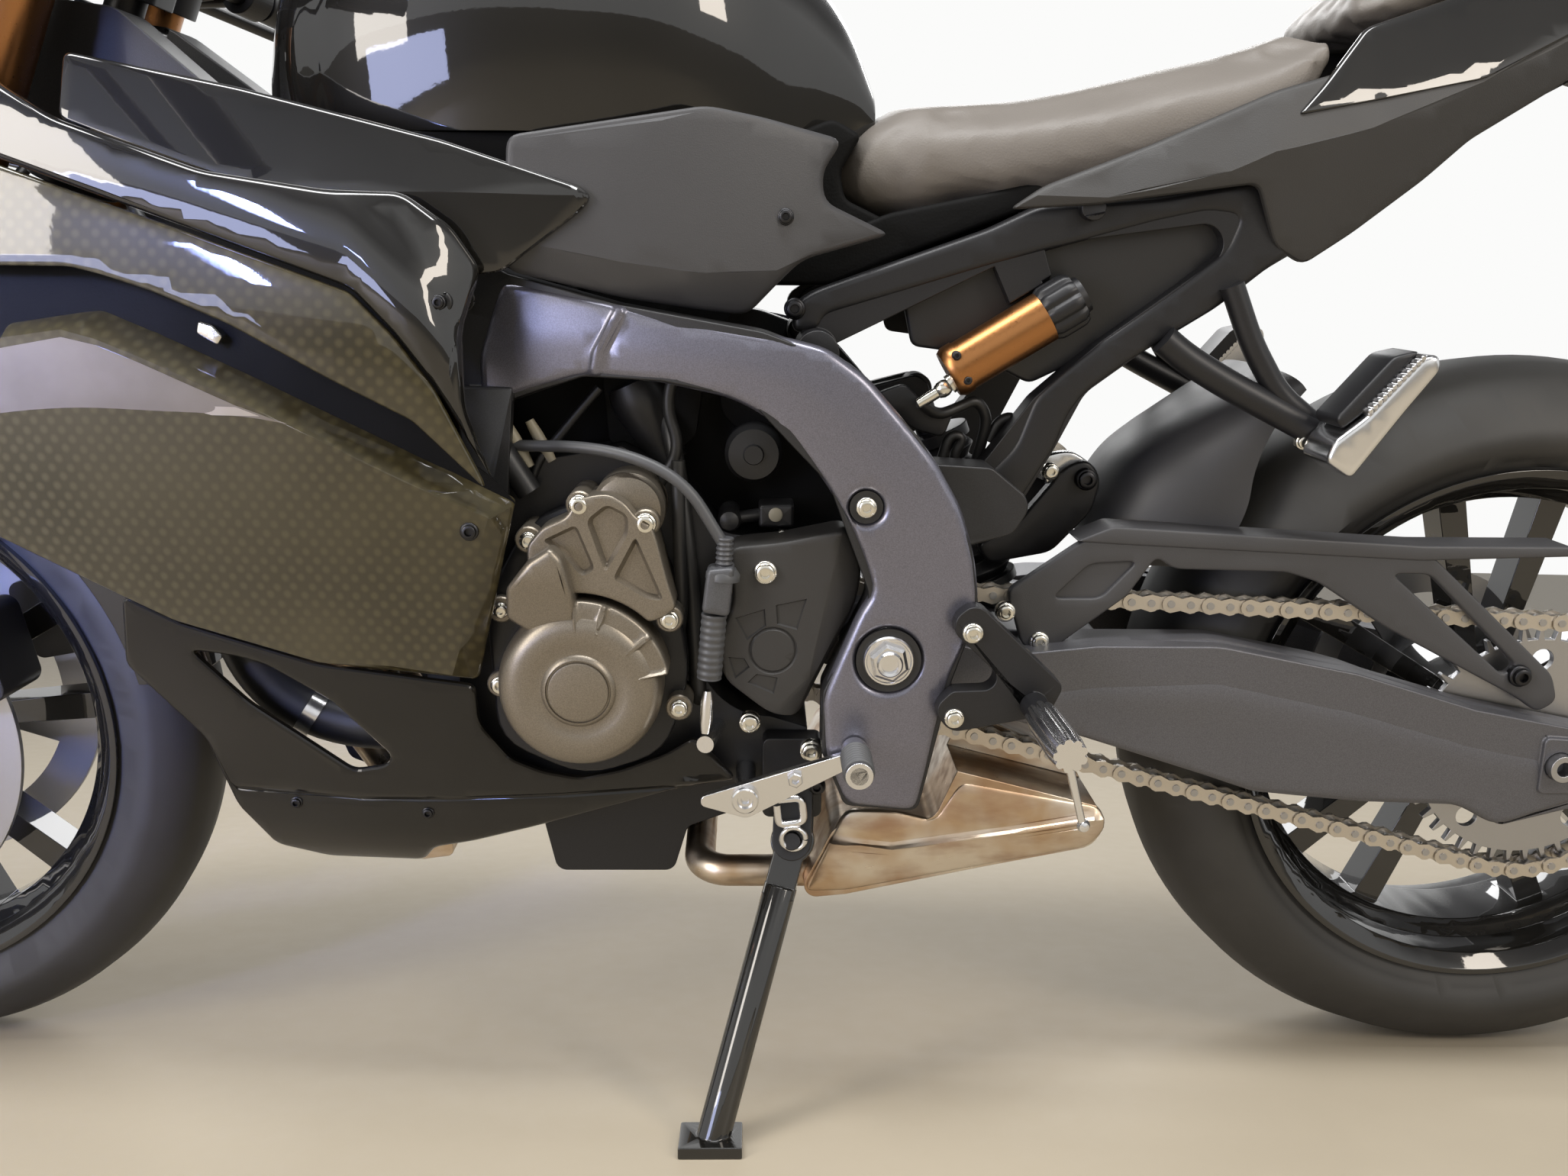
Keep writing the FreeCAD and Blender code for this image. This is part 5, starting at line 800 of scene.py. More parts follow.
# %% Belly cowls
BELLY_PANEL = [(-1122, 400), (-1106, 461), (-1066, 440), (-966, 410), (-851, 396), (-852, 362), (-832, 329),
               (-808, 317), (-780, 311), (-747, 319), (-713, 334), (-690, 350), (-658, 308), (-707, 299),
               (-817, 262), (-873, 243), (-905, 234), (-919, 214), (-1000, 212), (-1041, 225), (-1065, 270),
               (-1076, 334)]
BELLY_WINDOW = [(-1064, 417), (-1030, 414), (-1008, 408), (-963, 378), (-924, 328), (-931, 318),
                (-958, 312), (-1029, 372)]
BELLY_SEAM = [(-1060, 286), (-959, 285), (-882, 288), (-800, 294), (-660, 306)]
KEEL_Z, KEEL_HEIGHT, KEEL_IN = 262, 50.0, 18
GROOVE_DEPTH, GROOVE_HALF = 2.0, 1.5


def belly_reach(x, z):
    """The body; a groove 3 mm wide along the seam; and a
    rounded keel, where the wall turns in under the bike."""
    keel = np.clip((KEEL_Z - z) / KEEL_HEIGHT, 0, 1)
    groove = GROOVE_DEPTH * np.exp(-((z - on_line(x, BELLY_SEAM)) / GROOVE_HALF) ** 2)
    return body_reach(x, z) - KEEL_IN * keel ** 2 - groove


piece("belly_cowl_pair",
      moulded(BELLY_PANEL, belly_reach, 2.5, 4.0, 8.0, holes=[BELLY_WINDOW], corner=7.0,
              folds=[[(x, z + lift) for x, z in BELLY_SEAM] for lift in (-2.5, -1, 1, 2.5)]), BELLY_PAINT,
      stands_for=["belly_cowls"], crease=30)

# %% [markdown]
# The frame's beam is a pressing welded to a casting. Its outer face is slightly crowned with generous
# rounded edges, and a bead of weld 10 mm wide crosses it near the front. The structure behind stays the
# CAD node; this face lies on it like the real pressing, with openings for the pivot nut and the engine
# bolt.

# %% Frame faces and weld
FRAME_FACE = [(-827, 684), (-820, 687), (-742, 672), (-701, 662), (-624, 651), (-595, 644), (-566, 624),
              (-542, 597), (-517, 567), (-496, 531), (-485, 496), (-480, 462), (-487, 430), (-500, 400),
              (-508, 362), (-513, 334), (-521, 297), (-575, 303), (-592, 343), (-595, 388), (-584, 416),
              (-569, 453), (-558, 470), (-566, 495), (-579, 524), (-594, 548), (-614, 575), (-638, 596),
              (-662, 608), (-711, 618), (-768, 622), (-811, 609), (-844, 595), (-845, 632)]
FRAME_PLAN = [(-860, 159), (-820, 168), (-700, 192), (-620, 202), (-440, 198)]
WELD = np.array([(-736, 676), (-744, 660), (-756, 638), (-760, 618)], float)
PIVOT, PIVOT_RECESS_R = (-546.0, 418.0), 24.0
MOUNT_BOLT, MOUNT_RECESS_R = (-565.0, 532.0), 12.0
FACE_CROWN, CROWN_RUN, FACE_LIFT = 2.2, 45, 1.5
BEAD_HEIGHT, BEAD_RIPPLE, BEAD_HALF, STEP_DOWN = 2.6, 0.5, 4.0, 1.6


# %% The frame's face as a surface
def circle(centre, radius, count=32):
    """Corners evenly round a circle."""
    angle = np.linspace(0, 2 * np.pi, count, endpoint=False)
    return np.stack([centre[0] + radius * np.cos(angle), centre[1] + radius * np.sin(angle)], -1)


def weld_distance(x, z):
    """Signed distance from the weld's line, to the rear positive."""
    return (x - np.interp(z, WELD[::-1, 1], WELD[::-1, 0])) * 0.92


def frame_reach(x, z):
    """The plan of the beam, a crown that rises over the
    first 45 mm from its edges, and the weld's bead."""
    flat = np.stack([x, z], -1)
    rim = edge_distance(flat, np.array(FRAME_FACE, float))
    crown = FACE_CROWN * np.sin(np.pi / 2 * np.clip(rim / CROWN_RUN, 0, 1))
    across = weld_distance(x, z)
    bead = (BEAD_HEIGHT + BEAD_RIPPLE * np.sin(z * 1.6)) * np.exp(-(across / BEAD_HALF) ** 4)
    step = STEP_DOWN / (1 + np.exp(-np.clip(across / 1.2, -30, 30)))
    return on_curve(x, FRAME_PLAN) + FACE_LIFT + crown + bead - step


weld_lines = [WELD + [shift, 0] for shift in (-7, -5, -3.5, 0, 3.5, 5, 7)]
piece("frame_faces",
      moulded(FRAME_FACE, frame_reach, 4.0, 6.0, 7.0, corner=10.0, folds=weld_lines,
              holes=[circle(PIVOT, PIVOT_RECESS_R), circle(MOUNT_BOLT, MOUNT_RECESS_R)]), FRAME_COAT,
      crease=40)

# %% [markdown]
# The tank is a blown steel shell: no flat anywhere. Each cross-section is a superellipse, which is a
# circle drawn with squarer shoulders, over a base line; its width and height come from two short
# tables.

# %% Fuel tank
TANK_BASE = 790.0
TANK_STATIONS = [  # x, half width, height over the base
    (-1014, 60, 70), (-1000, 90, 110), (-960, 122, 172), (-900, 146, 212), (-850, 156, 221),
    (-780, 158, 216), (-700, 148, 196), (-650, 126, 166), (-600, 92, 122), (-570, 74, 80), (-554, 66, 40),
]
SQUARENESS, WAIST, PROUD_MM = 0.62, 0.10, 0.5


def tank_shape(rows=90, columns=49):
    """Rings along the bike: y = w*sgn(cos a)*|cos a|^s and
    z = base + h*(sin a)^s for a from 0 to half a turn."""
    table = np.array(TANK_STATIONS, float)
    share = np.linspace(0, 1, rows)
    x = np.interp(share, np.linspace(0, 1, len(table)), table[:, 0])
    width, height = hermite(x, table[:, 0], table[:, 1]), hermite(x, table[:, 0], table[:, 2])
    angle = np.linspace(0, np.pi, columns)
    across = np.sign(np.cos(angle)) * np.abs(np.cos(angle)) ** SQUARENESS
    above = np.sin(angle).clip(0) ** SQUARENESS
    waist = 1 - WAIST * (1 - above) ** 2
    rings = np.stack([np.repeat(x[:, None], columns, 1), -width[:, None] * across * waist,
                      TANK_BASE + PROUD_MM + height[:, None] * above], -1)
    return skin(rings)


piece("tank_shell", tank_shape(), GLOSS_PAINT, stands_for=["fuel_tank"], crease=50)

# %% [markdown]
# Grained covers clothe the tank's flanks. Their lower band turns under along a crease, so that it reads
# darker, and a screw with a wide head holds each one.

# %% Tank covers
TANK_COVER = [(-815, 784), (-679, 806), (-642, 800), (-583, 787), (-598, 764), (-596, 744), (-545, 722),
              (-610, 704), (-622, 694), (-651, 664), (-678, 667), (-739, 676), (-820, 694)]
COVER_FOLD = [(-820, 716), (-739, 701), (-680, 694), (-630, 696), (-604, 708)]
COVER_PLAN = [(-830, 190), (-700, 183), (-600, 153), (-540, 121)]
UNDER_SLOPE, LEAN_FROM_Z, LEAN_RATE, LEAN_POWER = 0.55, 700, 0.0022, 1.6


def tank_cover_reach(x, z):
    """The plan of the cover, 0.55 in for each mm below the fold, leaning in above height 700."""
    under = np.maximum(0, on_line(x, COVER_FOLD) - z)
    lean_in = LEAN_RATE * np.maximum(0, z - LEAN_FROM_Z) ** LEAN_POWER
    return on_curve(x, COVER_PLAN) - UNDER_SLOPE * under - lean_in


piece("tank_cover_pair",
      moulded(TANK_COVER, tank_cover_reach, 3.0, 4.0, 10.0, corner=9.0, folds=[COVER_FOLD]),
      GRAINED_PLASTIC, stands_for=["tank_covers"], crease=24)

# %% [markdown]
# The tail is two mouldings on each side: a matte inner one that wraps the subframe, with a crease where
# it turns in to the seat, and a gloss cap that starts as a point beside the seat and carries on to the
# tail.

# %% Tail covers
TAIL_SIDE = [(-462, 740), (-437, 757), (-359, 787), (-268, 826), (-219, 840), (-200, 872), (-60, 921),
             (40, 948), (103, 962), (90, 930), (-43, 836), (-117, 794), (-150, 765), (-202, 726),
             (-237, 703), (-262, 716), (-282, 760), (-305, 757), (-400, 744)]
TAIL_CREASE = [(-436, 750), (-392, 749), (-305, 768), (-273, 782), (-200, 800), (-116, 834), (40, 912)]
TAIL_PLAN = [(-480, 142), (-330, 150), (-150, 128), (120, 52)]
LEAN_ABOVE, LEAN_BELOW = 0.45, 0.18
TAIL_CAP = [(-256, 808), (-235, 830), (-200, 872), (-60, 921), (40, 948), (103, 962), (96, 945), (-53, 867),
            (-116, 836), (-194, 820)]


def tail_reach(x, z):
    """The plan of the tail, leaning in above the crease and, more gently, below it."""
    above = z - on_line(x, TAIL_CREASE)
    lean_in = LEAN_ABOVE * np.maximum(0, above)
    return on_curve(x, TAIL_PLAN) - lean_in - LEAN_BELOW * np.maximum(0, -above)


piece("tail_sides", moulded(TAIL_SIDE, tail_reach, 3.0, 3.0, 10.0, corner=8.0, folds=[TAIL_CREASE]),
      COVER_PLASTIC, stands_for=["tail_covers"], crease=20)
piece("tail_caps", moulded(TAIL_CAP, lambda x, z: tail_reach(x, z) + 2.5, 2.0, 2.0, 10.0, corner=6.0),
      GLOSS_PAINT, crease=30)

# %% [markdown]
# The subframe's trusses are die castings with thick rounded rails. The panel between the rails is a
# separate matte cover a little further in, which keeps dirt off the battery.

# %% Subframe trusses
TRUSS_SIDE = [(-618, 650), (-616, 672), (-603, 681), (-473, 727), (-437, 744), (-347, 751), (-286, 762),
              (-180, 800), (-60, 850), (20, 890), (30, 872), (-60, 826), (-262, 702), (-300, 671),
              (-340, 646), (-363, 631), (-395, 607), (-407, 590), (-415, 566), (-441, 522), (-458, 509),
              (-474, 518), (-474, 537), (-447, 566), (-434, 603), (-414, 622), (-388, 644), (-341, 678),
              (-297, 713), (-288, 738), (-312, 741), (-350, 733), (-472, 700), (-594, 663), (-598, 652)]
TRUSS_PLAN = [(-620, 129), (-250, 129), (40, 65)]
INNER_PANEL = [(-536, 684), (-361, 742), (-300, 752), (-282, 724), (-300, 700), (-385, 636), (-434, 612),
               (-479, 634), (-526, 640)]


def truss_reach(x, z):
    """The plan of the truss, a millimetre proud of the node."""
    return on_line(x, TRUSS_PLAN) + 1.0


piece("truss_faces", moulded(TRUSS_SIDE, truss_reach, 16.0, 5.0, 10.0, corner=8.0), BLACK_COAT, crease=40)
piece("battery_panels",
      moulded(INNER_PANEL, lambda x, z: truss_reach(x, z) - 14 - 0.05 * (735 - z), 2.5, 3.0, 12.0),
      SOFT_PLASTIC, crease=40)

# %% [markdown]
# The swingarm is a pressed and welded box. Its left face is crowned, its upper edge is a broad round
# that catches the light from above, and it tapers towards the axle.

# %% Swingarm faces
ARM_SIDE = [(-585, 430), (-570, 446), (-500, 436), (-454, 400), (-377, 412), (-280, 415), (-170, 391),
            (-71, 362), (48, 338), (50, 284), (21, 284), (-41, 261), (-76, 280), (-155, 283), (-244, 292),
            (-314, 315), (-392, 340), (-480, 360), (-560, 385)]
ARM_PLAN = [(-600, 148.5), (-200, 148.5), (-90, 146.5), (60, 146.5)]
ARM_TOP = [(-600, 440), (-454, 400), (-377, 412), (-280, 415), (-170, 391), (-71, 362), (48, 338)]
ARM_PROUD, ROUND_DEPTH, ROUND_HEIGHT = 1.2, 16.0, 48.0


def arm_reach(x, z):
    """The arm's outer face: flat in plan, then leaning in towards its upper edge by a parabola."""
    roundness = np.clip(1 - (on_line(x, ARM_TOP) - z) / ROUND_HEIGHT, 0, 1) ** 2
    return on_line(x, ARM_PLAN) + ARM_PROUD - ROUND_DEPTH * roundness


piece("arm_faces", moulded(ARM_SIDE, arm_reach, 14.0, 5.0, 8.0, corner=12.0), ARM_COAT, crease=40)

# %% [markdown]
# The hugger is a hood over the front of the rear tyre. Each cross-section, taken through the axle, is
# half a superellipse from one lower rim over the crown to the other, and the sections follow the wheel
# round.

# %% Hugger and chain guard
HUGGER_SECTIONS = [  # angle round the axle in degrees, crown radius, lower rim radius
    (156, 404, 372), (153, 411, 330), (149, 412, 314), (145.6, 411, 314), (141, 403, 322),
    (137.7, 396, 335), (132, 386, 352), (126, 378, 362),
]
HUGGER_HALF, HUGGER_WALL, HUGGER_POWER = 96.0, 3.0, 0.7
GUARD_OUTER = [(-446, 452), (-391, 491), (-366, 503), (-120, 489), (-2, 384), (5, 362), (-10, 352),
               (-27, 364), (-142, 423), (-200, 460), (-226, 468), (-316, 470), (-330, 480), (-351, 448),
               (-408, 404), (-432, 406)]
GUARD_HOLE = [(-142, 467), (-112, 467), (-32, 392), (-42, 383)]
GUARD_POCKET = [(-410, 446), (-382, 474), (-345, 476), (-372, 446)]
GUARD_TOP = [(-395, 492), (-366, 504), (-120, 490), (-1, 490), (4, 482), (-120, 478), (-365, 490)]


# %% The hugger's sections
def hugger_shape(rows=48, columns=33):
    """Section at angle a: y = half*|sin p|^0.7 and radius
    from the lower rim to the crown as |cos p|^0.7."""
    table = np.array(HUGGER_SECTIONS[::-1], float)
    angle = np.linspace(table[0, 0], table[-1, 0], rows)
    crown, rim = hermite(angle, table[:, 0], table[:, 1]), hermite(angle, table[:, 0], table[:, 2])
    p = np.linspace(-np.pi / 2, np.pi / 2, columns)
    sheets = []
    for wall in (0.0, HUGGER_WALL):
        y = (HUGGER_HALF - wall) * np.sign(np.sin(p)) * np.abs(np.sin(p)) ** HUGGER_POWER
        r = rim[:, None] + (crown - wall - rim)[:, None] * np.abs(np.cos(p)) ** HUGGER_POWER
        turn = np.radians(angle)[:, None]
        across = np.broadcast_to(y, r.shape)
        sheets.append(np.stack([r * np.cos(turn), across, REAR_R + r * np.sin(turn)], -1))
    faces = grid_faces(rows, columns)
    faces = np.concatenate([faces[:, [0, 1, 2]], faces[:, [0, 2, 3]]])
    return walled(sheets[0].reshape(-1, 3), sheets[1].reshape(-1, 3), faces)


# %% Guard and hugger as one moulding
guard = [moulded(GUARD_OUTER, plane(127), 6.0, 2.0, 12.0, holes=[GUARD_HOLE, GUARD_POCKET],
                 sides=(LEFT,), corner=7.0),
         moulded(GUARD_POCKET, plane(123.5), 2.0, 0.0, 12.0, sides=(LEFT,)),
         moulded(GUARD_TOP, plane(128.5), 34.0, 2.0, 12.0, sides=(LEFT,), corner=4.0)]
piece("hugger_and_guard", joined([hugger_shape()] + guard), GRAINED_PLASTIC, stands_for=["chain_guard"],
      crease=36)

# %% [markdown]
# The generator cover closes the crankshaft's left end. It is one casting: a flange with a boss for each
# bolt, a turned dome, a ledge with three short ribs round its upper right, a raised block, and above it
# a flat-topped web whose three pockets save weight. A ring with a hexagon socket plugs the middle.

# %% Generator cover
CRANK = np.array([-773.0, 396.0])
FLANGE_Y, WEB_Y, LEDGE_Y, POCKET_DEPTH, POCKET_CORNER = 177.0, 206.0, 211.0, 6.0, 5.0
RIB_HEIGHT, RIB_HALF = 3.5, 1.7
COVER_FLANGE = [(-845, 455), (-812, 515), (-745, 540), (-706, 480), (-692, 400), (-712, 335), (-775, 315),
                (-840, 345)]
WEB_POCKETS = [
    [(-797, 507), (-772, 519), (-759, 486), (-769, 480), (-783, 498)],
    [(-765, 522), (-750, 534), (-735, 526), (-735, 512), (-752, 483)],
    [(-730, 511), (-710, 463), (-722, 464), (-747, 479)],
]
BLOCK = [(-822, 474), (-806, 494), (-789, 505), (-781, 497), (-774, 466), (-772, 436), (-797, 430),
         (-824, 450)]
RIB_ANGLES = (12.0, 38.0, 72.0, 92.0)


# %% Surfaces of the generator cover
def arc(centre, radius, first, last, count=12):
    """Points on a circle from one angle to another, in degrees, as corners."""
    angle = np.radians(np.linspace(first, last, count))
    return np.stack([centre[0] + radius * np.cos(angle), centre[1] + radius * np.sin(angle)], -1).tolist()


def closed(loop):
    """A loop with its first point again at the end."""
    return np.vstack([loop, loop[:1]])


def web_reach(x, z):
    """Flat, with pockets whose walls slope over 3 mm."""
    flat = np.stack([x, z], -1)
    level = np.full(len(x), WEB_Y)
    for pocket in WEB_POCKETS:
        loop = bent_loop(pocket, POCKET_CORNER)
        share = np.where(inside(flat, loop), np.clip(edge_distance(flat, loop) / 3.0, 0, 1), 0)
        level -= POCKET_DEPTH * share
    return level


def ledge_reach(x, z):
    """Nearly level, with ribs: at angle a_i a ridge
    whose width stays the same at every radius."""
    r = np.hypot(x - CRANK[0], z - CRANK[1])
    angle = np.degrees(np.arctan2(z - CRANK[1], x - CRANK[0]))
    across = [np.radians(angle - a) * r for a in RIB_ANGLES]
    return LEDGE_Y - 0.12 * (r - 45) + RIB_HEIGHT * sum(np.exp(-(d / RIB_HALF) ** 2) for d in across)


def block_reach(x, z):
    """From the web's level up by 15 mm over the block's first 45 mm of height."""
    return WEB_Y + 15.0 * np.clip((z - 436) / 45.0, 0, 1)


# %% The generator cover put together
DOME = [(150, 61), (196, 61), (203, 59.6), (208, 57), (211.5, 52.5), (213.2, 47), (213.6, 41),
        (212.6, 35), (211, 30.5), (211.2, 27.4), (213.4, 25.6), (214.0, 24.0), (212.4, 23.4),
        (212.4, 22.4), (214.4, 21.8), (214.8, 20.5), (214.8, 0.5)]
WEB = [(-808, 476), (-808, 503), (-797, 516), (-779, 524), (-773, 536), (-760, 540), (-748, 541),
       (-736, 534), (-729, 524), (-718, 518), (-714, 505), (-708, 480), (-701, 457), (-712, 450),
       *arc(CRANK, 72, 44, 112)]
OUT = (0.0, -1.0, 0.0)
pocket_lines = [closed(inset(bent_loop(p, POCKET_CORNER), d)) for p in WEB_POCKETS for d in (0.0, 1.5, 3.0)]
rib_lines = [[(CRANK[0] + r * math.cos(math.radians(a) + d / r),
               CRANK[1] + r * math.sin(math.radians(a) + d / r)) for r in (49, 56, 63)]
             for a in RIB_ANGLES[:3] for d in (-3.0, -1.2, 1.2, 3.0)]
LEFT_BOSSES = [(-770, 532, 200), (-723, 519, 200), (-809, 504, 190), (-707, 447, 198), (-701, 376, 190),
               (-832, 450, 184), (-835, 392, 184)]
# The flange takes the black coat instead of the cover's cast paint: painted shade for the dark band round
# the cover.
piece("generator_flange",
      moulded(COVER_FLANGE, plane(FLANGE_Y), 24.0, 3.0, 12.0, sides=(LEFT,), corner=24.0), BLACK_COAT,
      crease=32)
cover = [moulded(WEB, web_reach, 40.0, 2.5, 5.0, sides=(LEFT,), corner=5.0, folds=pocket_lines),
         lathe_shape(DOME, (CRANK[0], 0, CRANK[1]), OUT, 72),
         moulded(arc(CRANK, 67, 10, 94, 18) + arc(CRANK, 44, 94, 10, 12), ledge_reach, 40.0, 2.5, 4.0,
                 sides=(LEFT,), corner=3.0, folds=rib_lines),
         moulded(BLOCK, block_reach, 50.0, 5.0, 6.0, sides=(LEFT,), corner=4.0),
         lathe_shape([(150, 27), (184, 27), (188, 24), (190, 18), (190, 1)], (-737, 0, 526), OUT, 40)]
cover += [lathe_shape([(150, 10), (y - 1, 10), (y, 9), (y, 1)], (x, 0, z), OUT, 20)
          for x, z, y in LEFT_BOSSES]
piece("generator_cover", joined(cover), ENGINE_COAT, crease=32)

# %% [markdown]
# The sprocket cover is dull nylon with four shallow recesses round a disc, and its lower rear edge is
# bevelled.

# %% Sprocket cover
SPROCKET_COVER = [(-664, 499), (-625, 503), (-577, 513), (-565, 480), (-569, 456), (-612, 366),
                  (-634, 372), (-666, 397), (-674, 424), (-660, 458)]
SHALLOWS = [
    [(-629, 456), (-606, 461), (-613, 437), (-628, 441)],
    [(-659, 446), (-637, 453), (-636, 440), (-650, 429)],
    [(-664, 416), (-652, 415), (-648, 408), (-659, 399)],
    [(-650, 396), (-643, 403), (-627, 400), (-630, 387)],
]
SLOPE_LINE = [(372, -628), (400, -604), (470, -590), (513, -581)]     # height, then x
DISC, DISC_GROOVE_R, SPROCKET_COVER_Y = (-631, 421), 17.0, 190.0
SHALLOW_DEPTH, DISC_GROOVE_DEPTH, FALL = 1.8, 1.6, 0.45


def sprocket_cover_reach(x, z):
    """Flat, lower in the recesses and in a ring round the disc, falling beyond the slope line."""
    flat = np.stack([x, z], -1)
    level = np.full(len(x), SPROCKET_COVER_Y)
    for recess in SHALLOWS:
        loop = np.array(recess, float)
        share = np.where(inside(flat, loop), np.clip(edge_distance(flat, loop), 0, 1), 0)
        level -= SHALLOW_DEPTH * share
    from_disc = np.hypot(x - DISC[0], z - DISC[1]) - DISC_GROOVE_R
    level -= DISC_GROOVE_DEPTH * np.exp(-from_disc ** 2)
    return level - FALL * np.maximum(0, x - on_line(z, SLOPE_LINE))


shallow_lines = [closed(inset(np.array(r, float), d)) for r in SHALLOWS for d in (0.0, 1.0)]
shallow_lines += [closed(circle(DISC, DISC_GROOVE_R + d, 40)) for d in (-1.5, 0.0, 1.5)]
shallow_lines.append([(-628, 374), (-604, 400), (-590, 470), (-581, 510)])
piece("sprocket_cover_face",
      moulded(SPROCKET_COVER, sprocket_cover_reach, 40.0, 3.0, 7.0, sides=(LEFT,), corner=9.0,
              folds=shallow_lines), COVER_PLASTIC, stands_for=["sprocket_cover"], crease=30)

# %% [markdown]
# Bolts are turned: a flange, a cone up to the head, and a socket. One function makes them from a table;
# the bright ones are zinc plated and the dark ones are blackened, in the fairing and the tank covers.

# %% Bolts
BRIGHT_BOLTS = [  # x, distance from the middle, height, flange radius
    (-770, 201, 532, 7.8), (-723, 201, 519, 7.8), (-809, 191, 504, 6.5), (-707, 199, 447, 7.2),
    (-701, 191, 376, 6.8), (-832, 185, 450, 6.0), (-835, 185, 392, 7.0), (-637, 190, 481, 8.8),
    (-648, 168, 357, 8.4), (-601, 176, 337, 8.6), (-565, 203, 532, 7.6), (-487, 217, 443, 7.6),
    (-498, 217, 378, 7.4), (-447, 127, 435, 8.0), (-419, 127, 411, 8.0), (-405, 70, 538, 7.0),
    (-624, 150, 500, 4.2), (-230, 141, 573, 6.0),
]
DARK_BOLTS = [  # x, height, radius, the surface it sits in
    (-855, 674, 5.0, gloss_reach), (-842, 519, 6.5, side_reach), (-1011, 277, 5.0, belly_reach),
    (-903, 274, 5.0, belly_reach), (-624, 733, 6.0, tank_cover_reach), (-616, 668, 8.0, truss_reach),
    (-460, 524, 8.5, truss_reach), (-596, 307, 7.0, plane(174)),
    (-376, 532, 9.0, plane(72)), (-30, 384, 9.0, plane(128)),
]


def bolt_shape(x, reach, z, r):
    """A flanged socket screw of flange radius r, looking out to the left."""
    profile = [(-4, r), (0.20 * r, r), (0.28 * r, 0.94 * r), (0.34 * r, 0.80 * r), (0.70 * r, 0.74 * r),
               (0.78 * r, 0.64 * r), (0.78 * r, 0.42 * r), (0.30 * r, 0.36 * r), (0.30 * r, 0.05 * r)]
    return lathe_shape(profile, (x, -reach, z), OUT, 24)


def placed(x, z, r, surface):
    """A bolt whose flange lies on a surface."""
    return bolt_shape(x, float(surface(np.array([x], float), np.array([z], float))[0]), z, r)


piece("bright_bolts", joined([bolt_shape(*row) for row in BRIGHT_BOLTS]), ZINC_STEEL, crease=40)
piece("dark_bolts", joined([placed(*row) for row in DARK_BOLTS]), DARK_STEEL, crease=40)

# %% [markdown]
# The swingarm turns on a through shaft with a large nut at each end: a washer, a hexagon with chamfered
# corners and a rolled collar round the shaft's hole, in a counterbore with a floor of painted shade.

# %% Pivot nuts
NUT = [(196, 18.8), (206, 18.8), (207.6, 17.8), (207.6, 16.6), (206.4, 16.0), (206.4, 1)]
NUT_HEX = [(203, 15.0), (211, 15.0), (213.5, 12.4), (213.5, 1)]
NUT_COLLAR = [(208, 10.0), (215.5, 9.6), (217, 8.4), (216.4, 6.4), (207, 5.6), (207, 0.5)]
nut_parts = [lathe_shape(p, (PIVOT[0], 0, PIVOT[1]), (0, side, 0), n)
             for side in (LEFT, RIGHT) for p, n in ((NUT, 40), (NUT_HEX, 6), (NUT_COLLAR, 32))]
nut_parts.append(lathe_shape([(-200, 13), (200, 13)], (PIVOT[0], 0, PIVOT[1]), (0, 1, 0), 24))
piece("pivot_nuts", joined(nut_parts), ALLOY, stands_for=["pivot_shaft"], crease=28)
# The counterbores are shallow discs of near-black plastic: painted shade for deep recesses.
shade_discs = [lathe_shape([(200, PIVOT_RECESS_R), (204.6, PIVOT_RECESS_R), (203.4, 17), (203.4, 1)],
                     (PIVOT[0], 0, PIVOT[1]), (0, side, 0), 40) for side in (LEFT, RIGHT)]
shade_discs += [lathe_shape([(196, MOUNT_RECESS_R), (203.0, MOUNT_RECESS_R), (202.4, 6), (202.4, 1)],
                      (MOUNT_BOLT[0], 0, MOUNT_BOLT[1]), (0, side, 0), 28) for side in (LEFT, RIGHT)]
piece("counterbore_shade_discs", joined(shade_discs), SOFT_PLASTIC, crease=40)

# %% [markdown]
# Hoses are extruded rubber and the clutch cable runs in a sheath of wound wire under grey plastic. At
# its lower end a threaded sleeve, a clamp block and a bellows boot lead to the bright rod that pulls
# the release arm.

# %% Hoses, cable and its adjuster
HOSES = [  # path, radius, bend
    ([(-1062, -118, 455), (-1042, -116, 372), (-975, -112, 330), (-866, -112, 338)], 19.0, 60),
    ([(-1058, 153, 602), (-1005, 150, 584), (-930, 116, 570), (-880, 80, 570)], 14.0, 50),
    ([(-688, -140, 364), (-688, -160, 382), (-690, -160, 440), (-696, -158, 500), (-704, -146, 560),
      (-716, -118, 600)], 6.5, 30),
    ([(-701, -172, 560), (-701, -174, 520), (-699, -172, 452), (-703, -166, 420)], 5.0, 20),
    ([(-698, -150, 640), (-712, -150, 600), (-700, -150, 566), (-716, -150, 540)], 4.5, 24),
]
CABLE = [(-1152, -62, 790), (-1085, -98, 690), (-960, -104, 602), (-850, -142, 566), (-752, -186, 572),
         (-696, -200, 552), (-668, -200, 505)]


def along(first, last, radii):
    """A straight turned piece between two points with these radii evenly along it."""
    share = np.linspace(0, 1, len(radii))[:, None]
    return tube_shape(np.asarray(first, float) * (1 - share) + np.asarray(last, float) * share, radii, 20)


boot_radii = 9.2 + 0.30 * np.sin(np.linspace(0, 9 * 2 * np.pi, 110))
piece("hose_set", joined([tube_shape(bent(path, bend, 9), r, 20) for path, r, bend in HOSES]), GRIP_RUBBER,
      stands_for=["hoses"], crease=50)
piece("clutch_cable",
      joined([tube_shape(bent(CABLE, 45, 10), 4.3, 14),
              along((-674, -200, 452), (-678, -200, 403), boot_radii),
              along((-667, -200, 487), (-668, -200, 478), [9, 12.5, 12.5])]), GREY_SHEATH, crease=50)
piece("adjuster_metal",
      joined([along((-666, -200, 509), (-667, -200, 486), 6.0 + 0.5 * np.sin(np.linspace(0, 40, 40))),
              moulded([(-679, 487), (-659, 489), (-663, 452), (-683, 455)], plane(211), 18.0, 3.0, 9.0,
                      sides=(LEFT,), corner=4.0)]), GREY_COAT, crease=36)
